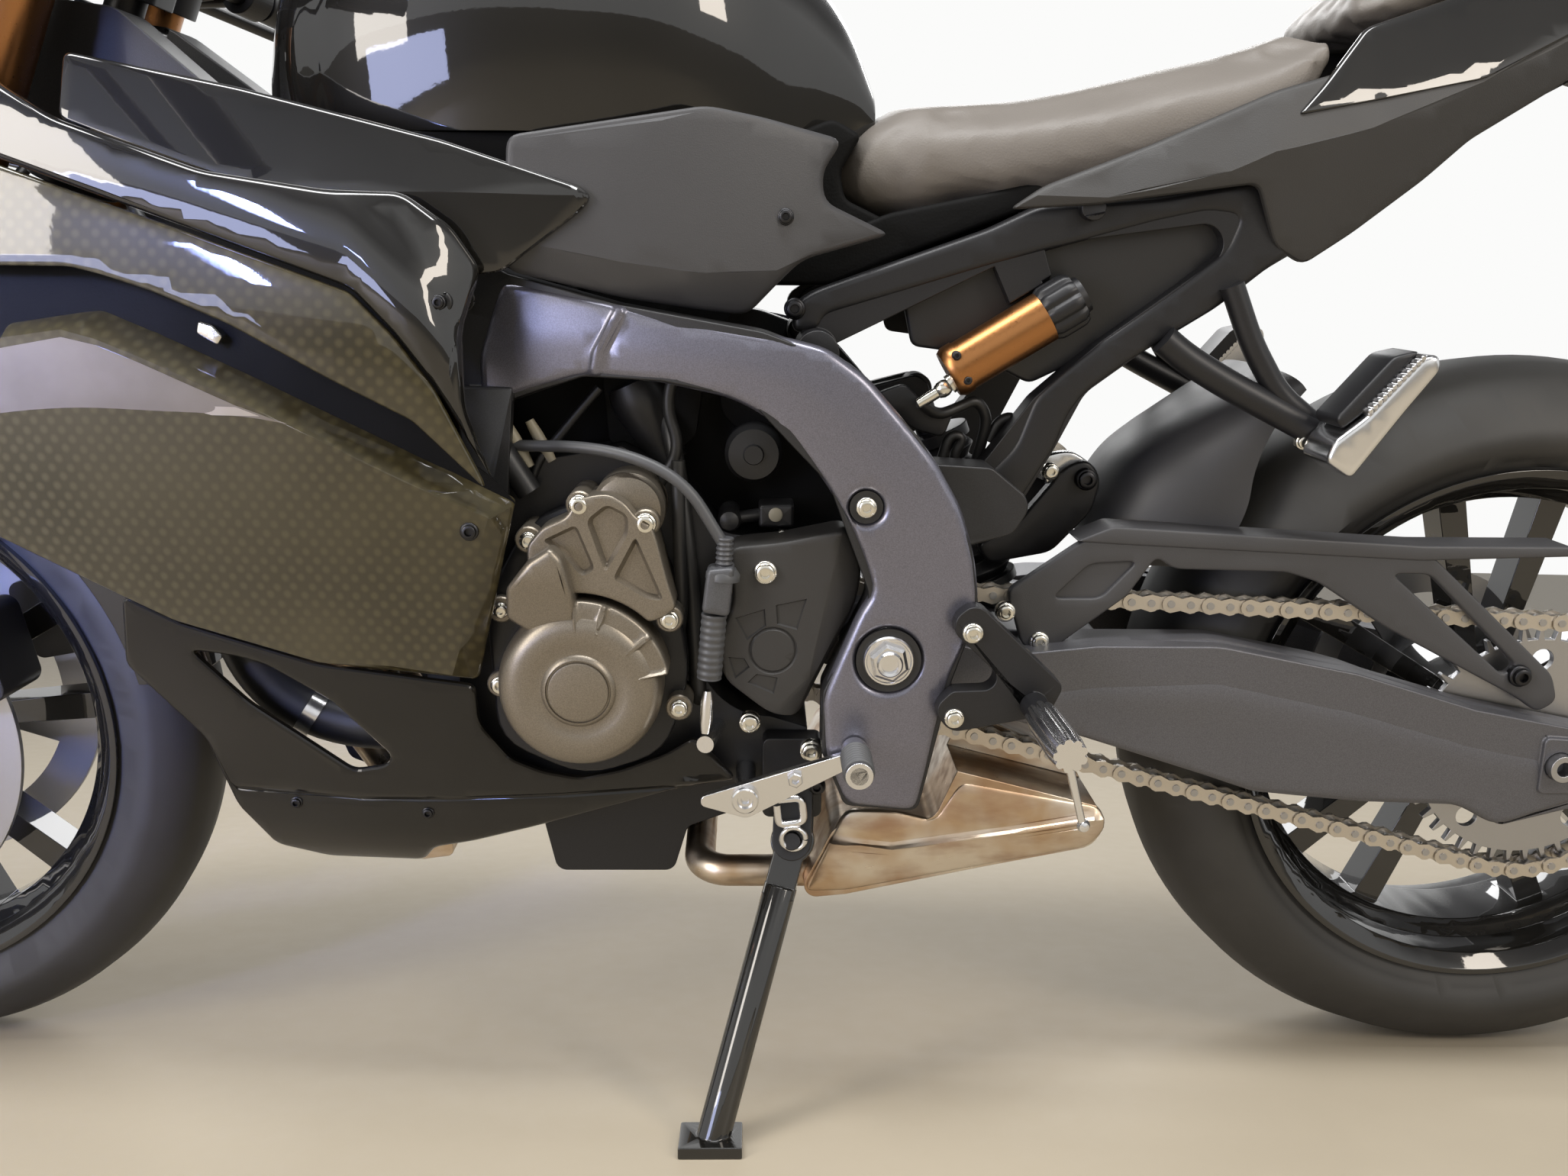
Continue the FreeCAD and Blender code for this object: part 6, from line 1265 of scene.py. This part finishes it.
piece("adjuster_rod",
      joined([along((-679, -200, 393), (-681, -200, 360), [3.2, 4.8, 4.8, 4.8, 3.4]),
              along((-681, -204, 352), (-672, -140, 347), [6.5, 6.5, 6.5]),
              lathe_shape([(-6, 19.4), (-6, 21.0), (6, 21.0), (6, 19.4)], (-1000, -113, 346),
                          (0.84, 0.05, -0.54), 36)]), ALLOY, crease=36)

# %% [markdown]
# Between the frame and the covers the intake shows: the rubber funnel of the air box, the round
# throttle pod, its link with a pale plug, and two connectors of the ignition coils.

# %% Intake details
piece("intake_dark",
      joined([along((-738, -118, 612), (-711, -118, 552), [21, 23, 23, 21, 19, 17, 15.5, 15.5]),
              moulded([(-642, 522), (-615, 523), (-615, 505), (-642, 505)], plane(144), 26.0, 3.0, 8.0,
                      sides=(LEFT,), corner=3.0),
              along((-838, -160, 576), (-812, -160, 534), [7, 9.5, 9.5, 9.5]),
              tube_shape(bent([(-760, -146, 610), (-776, -146, 592), (-806, -150, 556),
                               (-812, -150, 540)], 8), 3.4, 12),
              lathe_shape([(118, 9), (150, 9), (155, 7), (157, 3), (157, 0.4)], (-664, 0, 512), OUT, 24),
              lathe_shape([(90, 22), (132, 22), (138, 19), (139, 8), (142, 7), (142, 0.5)],
                          (-646, 0, 560), OUT, 36),
              tube_shape(bent([(-664, -146, 512), (-652, -142, 513), (-642, -138, 514)], 6), 5.0, 14)]),
      SOFT_PLASTIC, crease=40)
piece("intake_pale",
      joined([along((-828, -154, 584), (-812, -154, 552), [3.6, 4.6, 4.6, 3.6]),
              along((-812, -150, 586), (-796, -150, 556), [3.4, 4.4, 4.4, 3.4]),
              lathe_shape([(140, 5.4), (145, 5.4), (145.6, 4.6), (145.6, 0.5)], (-629, 0, 515), OUT, 20)]),
      PALE_NYLON, crease=40)
piece("rear_link",
      moulded([(-462, 476), (-430, 494), (-392, 542), (-374, 548), (-362, 532), (-368, 505), (-400, 470),
               (-452, 460)], plane(68), 10.0, 3.0, 12.0, corner=8.0), BLACK_COAT, crease=40)
piece("link_eyes",
      moulded([(-412, 548), (-386, 554), (-362, 538), (-360, 514), (-378, 508), (-404, 520)],
              plane(57), 8.0, 2.0, 12.0, corner=10.0), ALLOY, crease=40)

# %% [markdown]
# The shock's reservoir is a gold anodised tube. A black cap with scallops closes its upper end, and a
# clamp block with two screws holds the lower one, where a plated fitting leads the oil in through a
# hose. Short rubber hoses loop beside it, each a tube along a rounded path.

# %% Shock reservoir
RESERVOIR_LOW, RESERVOIR_HIGH = np.array([-488.0, -132.0, 628.0]), np.array([-402.0, -132.0, 681.0])


def on_reservoir(share):
    """A point on the reservoir's axis: 0 at its lower end, 1 at its upper end."""
    return RESERVOIR_LOW + share * (RESERVOIR_HIGH - RESERVOIR_LOW)


def scalloped(first, last, radius, depth, count, rows=8):
    """A knob: its radius at angle a is radius - depth*|cos(count*a/2)|^6, and both ends are rounded."""
    side, above = turning_axes(last - first)[1:]
    a = np.linspace(0, 2 * np.pi, 120, endpoint=False)
    share = np.linspace(0, 1, rows)[:, None]
    ends = 1 - 0.10 * np.abs(2 * share - 1) ** 8
    r = (radius - depth * np.abs(np.cos(count * a / 2)) ** 6)[None] * ends
    centre = first + share * (last - first)
    return skin(centre[:, None] + r[..., None]
                * (np.cos(a)[:, None] * side + np.sin(a)[:, None] * above)[None])


# %% The reservoir, its cap and its hoses
piece("reservoir_tube",
      joined([along(on_reservoir(-0.02), on_reservoir(0.68), [19.5] * 4),
              along(on_reservoir(-0.14), on_reservoir(-0.02), [18.0, 20.5, 20.5, 20.5])]), GOLD,
      stands_for=["shock_reservoir"], crease=40)
piece("reservoir_cap",
      joined([scalloped(on_reservoir(0.68), on_reservoir(0.95), 21.5, 2.0, 10),
              along(on_reservoir(0.95), on_reservoir(1.0), [15.0, 14.0]), bolt_shape(-497, 150, 636, 3.4),
              bolt_shape(-488, 150, 618, 3.4),
              moulded([(-552, 604), (-530, 612), (-508, 590), (-492, 589), (-499, 570), (-522, 576),
                       (-544, 592)], plane(112), 6.0, 2.0, 12.0, sides=(LEFT,))]), BLACK_COAT, crease=30)
piece("reservoir_fitting",
      joined([along((-490, -132, 620), (-499, -132, 613), [6.0, 7.6, 7.6, 7.6]),
              along((-499, -132, 613), (-508, -132, 607), [5.0, 6.6, 6.6, 5.0]),
              along((-508, -132, 607), (-522, -132, 598), [4.4, 4.4, 3.8])]), ZINC_STEEL, crease=40)
SHOCK_HOSES = [  # path and radius
    ([(-520, -132, 599), (-505, -118, 588), (-487, -110, 594), (-474, -108, 600), (-464, -104, 586),
      (-468, -100, 562), (-474, -96, 536)], 4.4),
    ([(-500, -104, 548), (-494, -104, 572), (-481, -104, 570), (-492, -104, 552), (-476, -100, 540)], 4.0),
    ([(-462, -100, 566), (-455, -100, 582), (-444, -100, 586), (-438, -96, 576), (-446, -90, 556)], 4.4),
]
piece("shock_hoses", joined([tube_shape(bent(path, 12), r, 12) for path, r in SHOCK_HOSES]), GRIP_RUBBER,
      crease=50)

# %% [markdown]
# Footrests: the rider's is a knurled alloy bar with a feeler that touches the road first. The
# passenger's is a polished blade with a toothed edge on a triangle of forged arms. The gear lever has a
# ribbed rubber toe piece.

# %% Footrests and gear lever
piece("rider_pegs",
      joined([scalloped(np.array([-439.0, s * 240.0, 388]), np.array([-435.9, s * 320.0, 388]),
                        13.0, 2.4, 9, 6) for s in (-1, 1)]
             + [along((-436.5, s * 316, 384), (-425, s * 318, 340), [3.0, 3.0, 2.6, 2.6])
                for s in (-1, 1)]
             + [lathe_shape([(-4.6, 0.4), (-3.2, 3.3), (0, 4.6), (3.2, 3.3), (4.6, 0.4)],
                            (-424, s * 318, 338), OUT, 20) for s in (-1, 1)]), ALLOY, crease=30)

# %% Passenger's footrests
PEG_BLADE = [(-161, 643), (-158, 632), (-180, 602), (-214, 553), (-234, 566), (-229, 581), (-208, 598),
             (-172, 641)]
PEG_PAD = [(-228, 596), (-190, 641), (-172, 645), (-208, 600), (-222, 588)]
teeth = np.linspace(0.06, 0.94, 12)
tooth_spots = np.array([-209.0, 600.0]) * (1 - teeth[:, None]) + np.array([-171.0, 643.0]) * teeth[:, None]
piece("passenger_blades",
      joined([moulded(PEG_BLADE, plane(196), 42.0, 4.0, 10.0, corner=5.0)]
             + [lathe_shape([(150, 2.4), (197, 2.4), (198.2, 1.4), (198.2, 0.3)], (x, 0, z),
                            (0, side, 0), 12) for x, z in tooth_spots for side in (LEFT, RIGHT)]), ALLOY,
      stands_for=["passenger_footrests"], crease=40)
ARMS = [[(-340, 134, 648), (-322, 134, 634), (-289, 134, 615), (-214, 138, 577)],
        [(-292, 134, 688), (-274, 134, 646), (-250, 134, 608), (-214, 138, 580)]]
piece("passenger_arms",
      joined([tube_shape(bent([(x, s * y, z) for x, y, z in path], 16), r, 14)
              for path, r in zip(ARMS, (11.5, 9.0)) for s in (-1, 1)]
             + [lathe_shape([(124, 13), (146, 13), (150, 10), (150, 1)], (-216, 0, 577), (0, s, 0), 24)
                for s in (-1, 1)] + [moulded(PEG_PAD, plane(190), 36.0, 3.0, 10.0, corner=4.0)]),
      BLACK_COAT, crease=40)

# %% Gear lever
toe = 10.8 + 0.9 * np.sin(np.linspace(0, 8 * 2 * np.pi, 81))
piece("toe_rubber", along((-570, -222, 350), (-570, -258, 350), toe), GREY_SHEATH, crease=60)
piece("lever_fittings",
      joined([lathe_shape([(214, 10), (221, 10), (222, 9), (222, 6), (219, 5.4), (219, 3.4), (212, 3),
                           (212, 0.3)], (-651, 0, 314), OUT, 32),
              lathe_shape([(214, 6), (220, 6), (221, 5), (221, 3), (217, 2.6), (217, 0.3)],
                          (-614, 0, 330), OUT, 6),
              along((-570, -257, 350), (-570, -262, 350), [8.6, 9.2, 8.6, 6.6]),
              tube_shape(bent([(-626, -190, 302), (-608, -190, 304), (-606, -190, 284), (-625, -190, 281),
                               (-627, -190, 298)], 6), 3.2, 12),
              tube_shape([(-614 + 9 * math.cos(t), -192, 271 + 9 * math.sin(t))
                          for t in np.linspace(0, 6.2, 24)], 2.4, 10)]), ALLOY, crease=36)

# %% [markdown]
# The silencer is folded from two half shells: their flanges meet in a welded seam that runs along its
# side. The shell bulges a little between its edges.

# %% Silencer side
SILENCER = [(-604, 206), (-579, 260), (-570, 276), (-534, 275), (-500, 266), (-480, 300), (-366, 279),
            (-361, 262), (-374, 246), (-460, 229), (-570, 207)]
SEAM = [(-604, 250), (-571, 248), (-534, 245), (-491, 251), (-440, 259), (-372, 270)]
SILENCER_Y, SILENCER_CROWN, SILENCER_RUN = 148.5, 4.0, 25
SEAM_HEIGHT, SEAM_RIPPLE, SEAM_HALF, SEAM_STEP = 2.4, 0.4, 2.2, 3.0


def silencer_reach(x, z):
    """A crown over the first 25 mm from the edges, a step out below the seam, and the seam's bead."""
    flat = np.stack([x, z], -1)
    rim = edge_distance(flat, np.array(SILENCER, float))
    crown = SILENCER_CROWN * np.sin(np.pi / 2 * np.clip(rim / SILENCER_RUN, 0, 1))
    below = on_line(x, SEAM) - z
    bell = np.exp(-(below / SEAM_HALF) ** 2)
    bead = SEAM_HEIGHT * bell + SEAM_RIPPLE * np.sin(x * 1.5) * bell
    return SILENCER_Y + crown + bead + SEAM_STEP / (1 + np.exp(-np.clip(below / 1.5, -30, 30)))


piece("silencer_sides",
      moulded(SILENCER, silencer_reach, 3.0, 2.0, 7.0, corner=9.0, sides=(LEFT,),
              folds=[[(x, z + d) for x, z in SEAM] for d in (-5, -2, 0, 2, 5)]), STAINLESS, crease=30)

# %% [markdown]
# A translucent grey stripe lies under the lacquer on the upper part of the side panel, with a paler
# line along its lower edge.

# %% Stripe
STRIPE = [(-1196, 594), (-1152, 641), (-1108, 649), (-1085, 644), (-1055, 632), (-994, 605), (-960, 593)]
PALE_LINE = [(-1190, 599), (-1184, 606), (-994, 604), (-978, 598)]


def stripe_shape(outline, lift):
    """A film on the side panel, lift millimetres over it."""
    return moulded(outline, lambda x, z: side_reach(x, z) + lift, 0.3, 0.0, 11.0, corner=1.0)


piece("stripes", stripe_shape(STRIPE, 0.35), STRIPE_INK, crease=60)
piece("stripe_lines", stripe_shape(PALE_LINE, 0.6), PALE_INK, crease=60)

# %% [markdown]
# Beside the tank the fairing ends in a gloss tip. Its upper half leans in and mirrors the room, its
# lower half faces the eye.

# %% Fairing tips
FAIRING_TIP = [(-1120, 838), (-1000, 815), (-859, 781), (-765, 751), (-757, 744), (-764, 735), (-821, 693),
               (-850, 690), (-900, 722), (-1000, 752), (-1120, 792)]
piece("fairing_tips",
      moulded(FAIRING_TIP, lambda x, z: 195.0 - 0.4 * np.maximum(0, z - 746), 3.0, 3.0, 9.0, corner=7.0,
              folds=[[(-940, 746), (-860, 746), (-768, 745)]]), GLOSS_PAINT, crease=20)

# %% [markdown]
# Behind the frame's upper run lie the throttle bodies and the wiring. The loom cover is one soft moulding
# with a rim in the near-black of painted shade, standing for those parts where they lie in shadow. Two
# near-black sheets under the seat and at its front are painted shade as well: they close the view through
# the bike.

# %% Throttle bodies and loom
LOOM = [(-838, 602), (-806, 622), (-768, 640), (-700, 636), (-640, 618), (-600, 585), (-572, 530),
        (-556, 476), (-640, 492), (-700, 512), (-716, 556), (-790, 560), (-834, 560)]
piece("throttle_loom",
      moulded(LOOM, lambda x, z: 104.0 + 3.0 * np.sin(x / 17.0) * np.sin(z / 13.0), 60.0, 6.0, 9.0,
              sides=(LEFT,), corner=12.0), SHADE_BLACK, crease=50)
# Two near-black sheets of painted shade, under the seat and at its front.
SHADE_SHEET_UNDER_SEAT = [(-652, 684), (-600, 716), (-545, 738), (-430, 762), (-424, 748), (-520, 712), (-590, 684)]
SHADE_SHEET_AT_SEAT_FRONT = [(-616, 700), (-614, 796), (-588, 806), (-566, 794), (-582, 768), (-578, 748), (-522, 722),
             (-560, 706)]
piece("seat_shade_sheets",
      joined([moulded(SHADE_SHEET_UNDER_SEAT, plane(100), 190.0, 4.0, 14.0, sides=(LEFT,)),
              moulded(SHADE_SHEET_AT_SEAT_FRONT, plane(94), 180.0, 4.0, 14.0, sides=(LEFT,))]), SHADE_BLACK, crease=50)

# %% [markdown]
# The chain: pins one pitch apart round both sprockets, waisted plates from pin to pin, an outer pair on
# every second link, and a roller on each pin. All links are made at once by adding each pin's place to
# one outline.

# %% Chain
PITCH, DRIVE, FRONT_TEETH, REAR_TEETH, CHAIN_Y = 15.875, np.array([-632.0, 412.0]), 16, 43, 104.0
REAR_AXLE = np.array([0.0, REAR_R])
OUTER_PLATE, INNER_PLATE = (7.6, 9.4), (5.4, 7.3)     # from the chain's middle: near face, far face
PIN_R, PIN_HALF, ROLLER_R, ROLLER_HALF = 3.1, 10.4, 4.9, 5.3


def chain_pins():
    """Pins along run, rear wrap, run and front wrap; on a
    wrap of radius R the angle falls by arc over R."""
    small, big = (PITCH / (2 * math.sin(math.pi / n)) for n in (FRONT_TEETH, REAR_TEETH))
    span = np.linalg.norm(REAR_AXLE - DRIVE)
    tilt = math.atan2(*(REAR_AXLE - DRIVE)[::-1])
    opens = math.acos((small - big) / span)
    run, wrap = math.sqrt(span ** 2 - (big - small) ** 2), 2 * opens
    ends = np.cumsum([run, big * wrap, run, small * (2 * math.pi - wrap)])
    count = 2 * round(ends[-1] / PITCH / 2)
    at = ends[-1] * np.arange(count) / count
    leg = np.searchsorted(ends, at, side="right")
    left = at - np.append(0, ends)[leg]
    centre = np.stack([DRIVE, REAR_AXLE, REAR_AXLE, DRIVE])[leg]
    radius = np.array([small, big, big, small])[leg]
    angle = tilt + np.array([opens, opens, -opens, -opens])[leg] - np.where(leg % 2 == 1, left / radius, 0)
    straight = np.where(leg % 2 == 0, left, 0)[:, None]
    outward = np.stack([np.cos(angle), np.sin(angle)], -1)
    return centre + radius[:, None] * outward + straight * np.stack([np.sin(angle), -np.cos(angle)], -1)


# %% Plates and pins as prisms
def prisms(loops, low, high):
    """Many closed prisms at once: loops is (copy, corner, xz), drawn out in Y from low to high."""
    n, k = loops.shape[:2]
    both = [np.stack([loops[..., 0], np.full((n, k), y), loops[..., 1]], -1) for y in (low, high)]
    start = (np.arange(n) * 2 * k)[:, None]
    a, b = np.arange(k), np.roll(np.arange(k), -1)
    walls = (start[..., None] + np.stack([a, b, b + k, a + k], -1)[None]).reshape(-1, 4)
    return np.concatenate(both, 1).reshape(-1, 3), [walls, start + a[::-1], start + k + a]


def link_loops(first, second, end_radius=7.2, waist=5.0):
    """Waisted plates: half circles round both pins and a point between them on each side."""
    ahead = unit(second - first)
    up = np.stack([-ahead[:, 1], ahead[:, 0]], -1)
    half = np.radians(np.linspace(90, 270, 7))
    local = np.concatenate([end_radius * np.stack([np.cos(half), np.sin(half)], -1), [[PITCH / 2, -waist]],
                            [[PITCH, 0]] - end_radius * np.stack([np.cos(half), np.sin(half)], -1),
                            [[PITCH / 2, waist]]])
    return first[:, None] + local[None, :, :1] * ahead[:, None] + local[None, :, 1:] * up[:, None]


# %% All links at once
pins = chain_pins()
print("links in the chain", len(pins))
after = np.roll(pins, -1, 0)
outer, inner = link_loops(pins[::2], after[::2]), link_loops(pins[1::2], after[1::2])
turn = np.linspace(0, 2 * np.pi, 10, endpoint=False)
ring = np.stack([np.cos(turn), np.sin(turn)], -1)
plates = [prisms(loops, -CHAIN_Y + s * low, -CHAIN_Y + s * high)
          for s in (-1, 1) for loops, low, high in ((outer, *OUTER_PLATE), (inner, *INNER_PLATE))]
piece("chain_plates", joined(plates), CHAIN_PLATE, stands_for=["chain"], crease=30)
piece("chain_pins",
      joined([prisms(pins[:, None] + PIN_R * ring, -CHAIN_Y - PIN_HALF, -CHAIN_Y + PIN_HALF),
              prisms(pins[:, None] + ROLLER_R * ring, -CHAIN_Y - ROLLER_HALF, -CHAIN_Y + ROLLER_HALF)]),
      STEEL, crease=50)

# %% [markdown]
# The seats are foam under stretched vinyl. Each starts as rings a little smaller than the real seat, is
# remeshed, and is blown up by cloth simulation inside a cap of a few millimetres, so that it crowns
# between its edges as a filled cover does.

# %% Padded seats
RIDER_SEAT = [  # x, half width, bottom, top
    (-590, 70, 748, 784), (-574, 88, 738, 800), (-540, 102, 730, 814), (-495, 110, 738, 818),
    (-450, 118, 743, 821), (-393, 127, 752, 831), (-330, 133, 763, 846), (-280, 132, 780, 858),
    (-240, 124, 818, 872), (-220, 112, 850, 880),
]
PILLION_SEAT = [(-200, 80, 872, 902), (-180, 92, 872, 915), (-130, 96, 884, 932), (-60, 88, 905, 950),
                (0, 72, 928, 964), (30, 58, 945, 970), (38, 46, 952, 968)]
SHRINK_MM, VOXEL_M, PRESSURE, CAP_M = 4.0, 0.006, 4.0, 0.007
CLOTH_FRAMES, SEAT_SQUARENESS = 20, 0.62


def seat_rings(stations, squareness, rows=60, columns=56):
    """Superellipse sections: y = w*sgn(cos a)*|cos a|^s, z the same with sin about the section's middle."""
    table = np.array(stations, float)
    x = np.interp(np.linspace(0, 1, rows), np.linspace(0, 1, len(table)), table[:, 0])
    width, low, high = (hermite(x, table[:, 0], table[:, i]) for i in (1, 2, 3))
    angle = np.linspace(0, 2 * np.pi, columns, endpoint=False)
    c, s = (np.sign(v) * np.abs(v) ** squareness for v in (np.cos(angle), np.sin(angle)))
    half = (high - low) / 2 - SHRINK_MM
    rings = np.stack([np.repeat(x[:, None], columns, 1), (width - SHRINK_MM)[:, None] * c,
                      ((high + low) / 2)[:, None] + half[:, None] * s], -1)
    return skin(rings)


# %% Filling the covers
def start_cloth(obj):
    """Even voxels, then cloth under pressure with no gravity."""
    remesh = obj.modifiers.new("even_voxels", "REMESH")
    remesh.mode, remesh.voxel_size = "VOXEL", VOXEL_M
    depsgraph = bpy.context.evaluated_depsgraph_get()
    mesh = bpy.data.meshes.new_from_object(obj.evaluated_get(depsgraph))
    obj.modifiers.clear()
    obj.data = mesh
    cloth = obj.modifiers.new("filled_cover", "CLOTH")
    cloth.settings.use_pressure = True
    cloth.settings.uniform_pressure_force = PRESSURE
    cloth.settings.effector_weights.gravity = 0.0


def stop_cloth(obj):
    """Keeps the blown-up points, each moved no further than the cap."""
    depsgraph = bpy.context.evaluated_depsgraph_get()
    count = len(obj.data.vertices) * 3
    before, blown = np.empty(count), np.empty(count)
    obj.data.vertices.foreach_get("co", before)
    obj.evaluated_get(depsgraph).data.vertices.foreach_get("co", blown)
    move = (blown - before).reshape(-1, 3)
    length = np.linalg.norm(move, axis=1, keepdims=True)
    move *= np.minimum(1, CAP_M / np.maximum(length, 1e-9))
    obj.modifiers.clear()
    obj.data.vertices.foreach_set("co", before + move.ravel())
    obj.data.update()
    print(obj.name, "largest move %.1f mm" % (np.minimum(length, CAP_M).max() * 1000))


# %% Both seats, blown up
seats = [piece("rider_cushion", seat_rings(RIDER_SEAT, SEAT_SQUARENESS), SEAT_VINYL,
               stands_for=["rider_seat"], crease=180),
         piece("pillion_cushion", seat_rings(PILLION_SEAT, SEAT_SQUARENESS), SEAT_VINYL,
               stands_for=["pillion_seat"], crease=180)]
for seat in seats:
    start_cloth(seat)
for step in range(1, CLOTH_FRAMES + 1):
    bpy.context.scene.frame_set(step)
for seat in seats:
    stop_cloth(seat)
bpy.context.scene.frame_set(1)
for seat in seats:
    paint(seat, SEAT_VINYL)
    seat.data.shade_smooth()
    smooth = seat.modifiers.new("rounded_cover", "SUBSURF")
    smooth.levels = smooth.render_levels = 1

# %% [markdown]
# The rest of the bike shows its modelled forms. The mesher leaves loose triangles, so each node's mesh
# is merged and its flat stretches are joined, and a live bevel rounds the edges. That could be done
# node by node, but the step is the same for all, so a table pairs nodes with their finish.

# %% Every CAD node gets its finish
FINISHES = [  # material, bevel in mm, nodes
    (GLOSS_PAINT, 1.2, ["nose_cowl", "front_fender", "side_stand"]),
    (GLOSS_PAINT, 0.8, ["front_rim", "rear_rim"]),
    (GRAINED_PLASTIC, 1.2, ["plate_bracket", "dash", "mirrors"]),
    # Parts deep inside the bike take the near-black of painted shade.
    (SHADE_BLACK, 0.8, ["seat_pan", "airbox", "fairing_stay"]),
    # The CAD frame behind the pressed faces takes the darker copy of its coat as painted shade.
    (FRAME_SHADE, 1.6, ["frame"]),
    (ARM_COAT, 1.6, ["swingarm_arms", "swingarm_bridge"]),
    # The engine node takes the black coat: painted shade for the crankcase, which lies in shadow behind its
    # covers.
    (BLACK_COAT, 1.0, ["subframe", "fork_clamps", "clip_ons", "controls", "stand_bracket", "engine",
                       "front_calipers", "rear_caliper", "footrests", "rear_shock", "radiator"]),
    (STAINLESS, 0.8, ["exhaust_headers", "exhaust_chamber"]),
    (STEEL, 0.5, ["drive_sprocket", "rear_sprocket", "front_discs", "rear_disc", "rear_axle",
                  "front_axle"]),
    (ALLOY, 0.6, ["foot_levers", "fork_legs", "fuel_cap"]),
    (GOLD, 0.6, ["fork_tubes"]),
    (TYRE_RUBBER, 0.0, ["front_tyre", "rear_tyre"]),
    (GRIP_RUBBER, 0.4, ["brake_hoses"]),
    (SMOKED, 0.0, ["windscreen"]),
    (CLEAR_LENS, 0.0, ["headlamps"]),
    (RED_LENS, 0.0, ["tail_lamp"]),
]
for material, bevel, names in FINISHES:
    for name in names:
        finished(name, material, bevel)
finished("engine_covers", ENGINE_COAT, 1.0, only=lambda points: points[:, 1] > 0)
print("nodes still plain:", sorted(n for n, obj in nodes.items() if not obj.hide_render))

# %% [markdown]
# The studio: a wide pale floor that runs out to a pale world, and large soft lamps overhead. Gloss
# black is lit by what it mirrors, so the lamps are long boxes that leave clean shapes in the paint.

# %% Floor, world and lamps
FLOOR_R, WORLD_LIGHT = 14.0, 0.28
FLOOR_SHADE, WORLD_SHADE, CEILING_SHADE = "#B8AD99", "#FBFBFA", "#8C8C8E"


def add_floor():
    """A disc in rings and sectors, at the level of the tyres."""
    angles = np.linspace(0, 2 * np.pi, 65)[:-1]
    rings = np.array([0.5, 2.0, 6.0, FLOOR_R])
    x, y = rings[:, None] * np.cos(angles), rings[:, None] * np.sin(angles)
    verts = np.stack([x, y, np.zeros_like(x)], -1).reshape(-1, 3)
    mesh = bpy.data.meshes.new("floor")
    faces = grid_faces(len(rings), len(angles), True)[:, ::-1].tolist()
    mesh.from_pydata(verts.tolist(), [], faces + [list(range(len(angles)))])
    mesh.update()
    floor = bpy.data.objects.new("floor", mesh)
    bpy.context.scene.collection.objects.link(floor)
    material, tree, surface = new_material("pale_studio_floor", Base_Color=colour(FLOOR_SHADE))
    wire(tree, surface, Roughness=ramp(tree, pattern(tree, 25, 5.0), 0.3, 0.7, 0.5, 0.6))
    paint(floor, material)
    return floor


# %% World
def add_world():
    """A pale room to look at and to mirror, darker overhead, and a plain even light on everything else."""
    world = bpy.data.worlds.new("pale_room")
    bpy.context.scene.world = world
    world.use_nodes = True
    tree = world.node_tree
    tree.nodes.clear()
    rays = add(tree, "ShaderNodeLightPath").outputs
    seen = add(tree, "ShaderNodeMath", {0: rays["Is Camera Ray"], 1: rays["Is Transmission Ray"]},
               operation="MAXIMUM")
    seen = add(tree, "ShaderNodeMath", {0: seen.outputs[0], 1: rays["Is Glossy Ray"]}, operation="MAXIMUM")
    height = add(tree, "ShaderNodeSeparateXYZ",
                 {0: add(tree, "ShaderNodeTexCoord").outputs["Generated"]}).outputs[2]
    shade = blend(tree, ramp(tree, height, 0.42, 0.60, 0.0, 1.0), colour(WORLD_SHADE),
                  colour(CEILING_SHADE))
    light = add(tree, "ShaderNodeBackground", {"Color": colour("#FFFFFF"), "Strength": WORLD_LIGHT})
    shown = add(tree, "ShaderNodeBackground", {"Color": shade, "Strength": 1.0})
    both = add(tree, "ShaderNodeMixShader", {0: seen.outputs[0], 1: light.outputs[0], 2: shown.outputs[0]})
    add(tree, "ShaderNodeOutputWorld", {"Surface": both.outputs[0]})


# %% Lamps
LAMPS = [  # name, place, aims at, width, height, watts, tint, spread in degrees
    ("overhead_box", (-0.2, -0.9, 2.6), (0.0, 0.0, 0.6), 2.6, 0.5, 70, "#FFFFFF", 180),
    ("front_left_box", (-2.2, -2.1, 1.3), (-0.1, 0.0, 0.6), 0.7, 1.8, 50, "#F6EFE6", 180),
    ("low_front_box", (-1.9, -2.25, 0.30), (-0.8, -0.25, 0.6), 1.0, 0.4, 12, "#C9D2FF", 180),
    ("frame_window", (-1.20, -1.90, 1.00), (-0.76, -0.19, 0.64), 0.50, 0.40, 6, "#9DAEFF", 24),
    ("rear_left_box", (1.9, -2.1, 1.7), (0.2, 0.0, 0.5), 0.5, 1.4, 28, "#FFF4E6", 180),
    ("right_box", (0.2, 2.2, 2.2), (0.0, 0.0, 0.6), 2.4, 0.6, 36, "#FFFFFF", 180),
]


def add_lamps():
    """Soft boxes that point from their place at what they aim at."""
    for name, place, aim, width, height, watts, tint, spread in LAMPS:
        data = bpy.data.lights.new(name, "AREA")
        data.shape = "RECTANGLE"
        data.size, data.size_y, data.energy, data.color = width, height, watts, colour(tint)[:3]
        data.spread = math.radians(spread)
        lamp = bpy.data.objects.new(name, data)
        lamp.visible_camera = False
        bpy.context.scene.collection.objects.link(lamp)
        lamp.location = place
        lamp.rotation_mode = "QUATERNION"
        lamp.rotation_quaternion = (Vector(aim) - Vector(place)).to_track_quat("-Z", "Y")


add_floor()
add_world()
add_lamps()
bpy.context.scene.view_settings.view_transform = "Standard"
print("lamps", len(LAMPS))
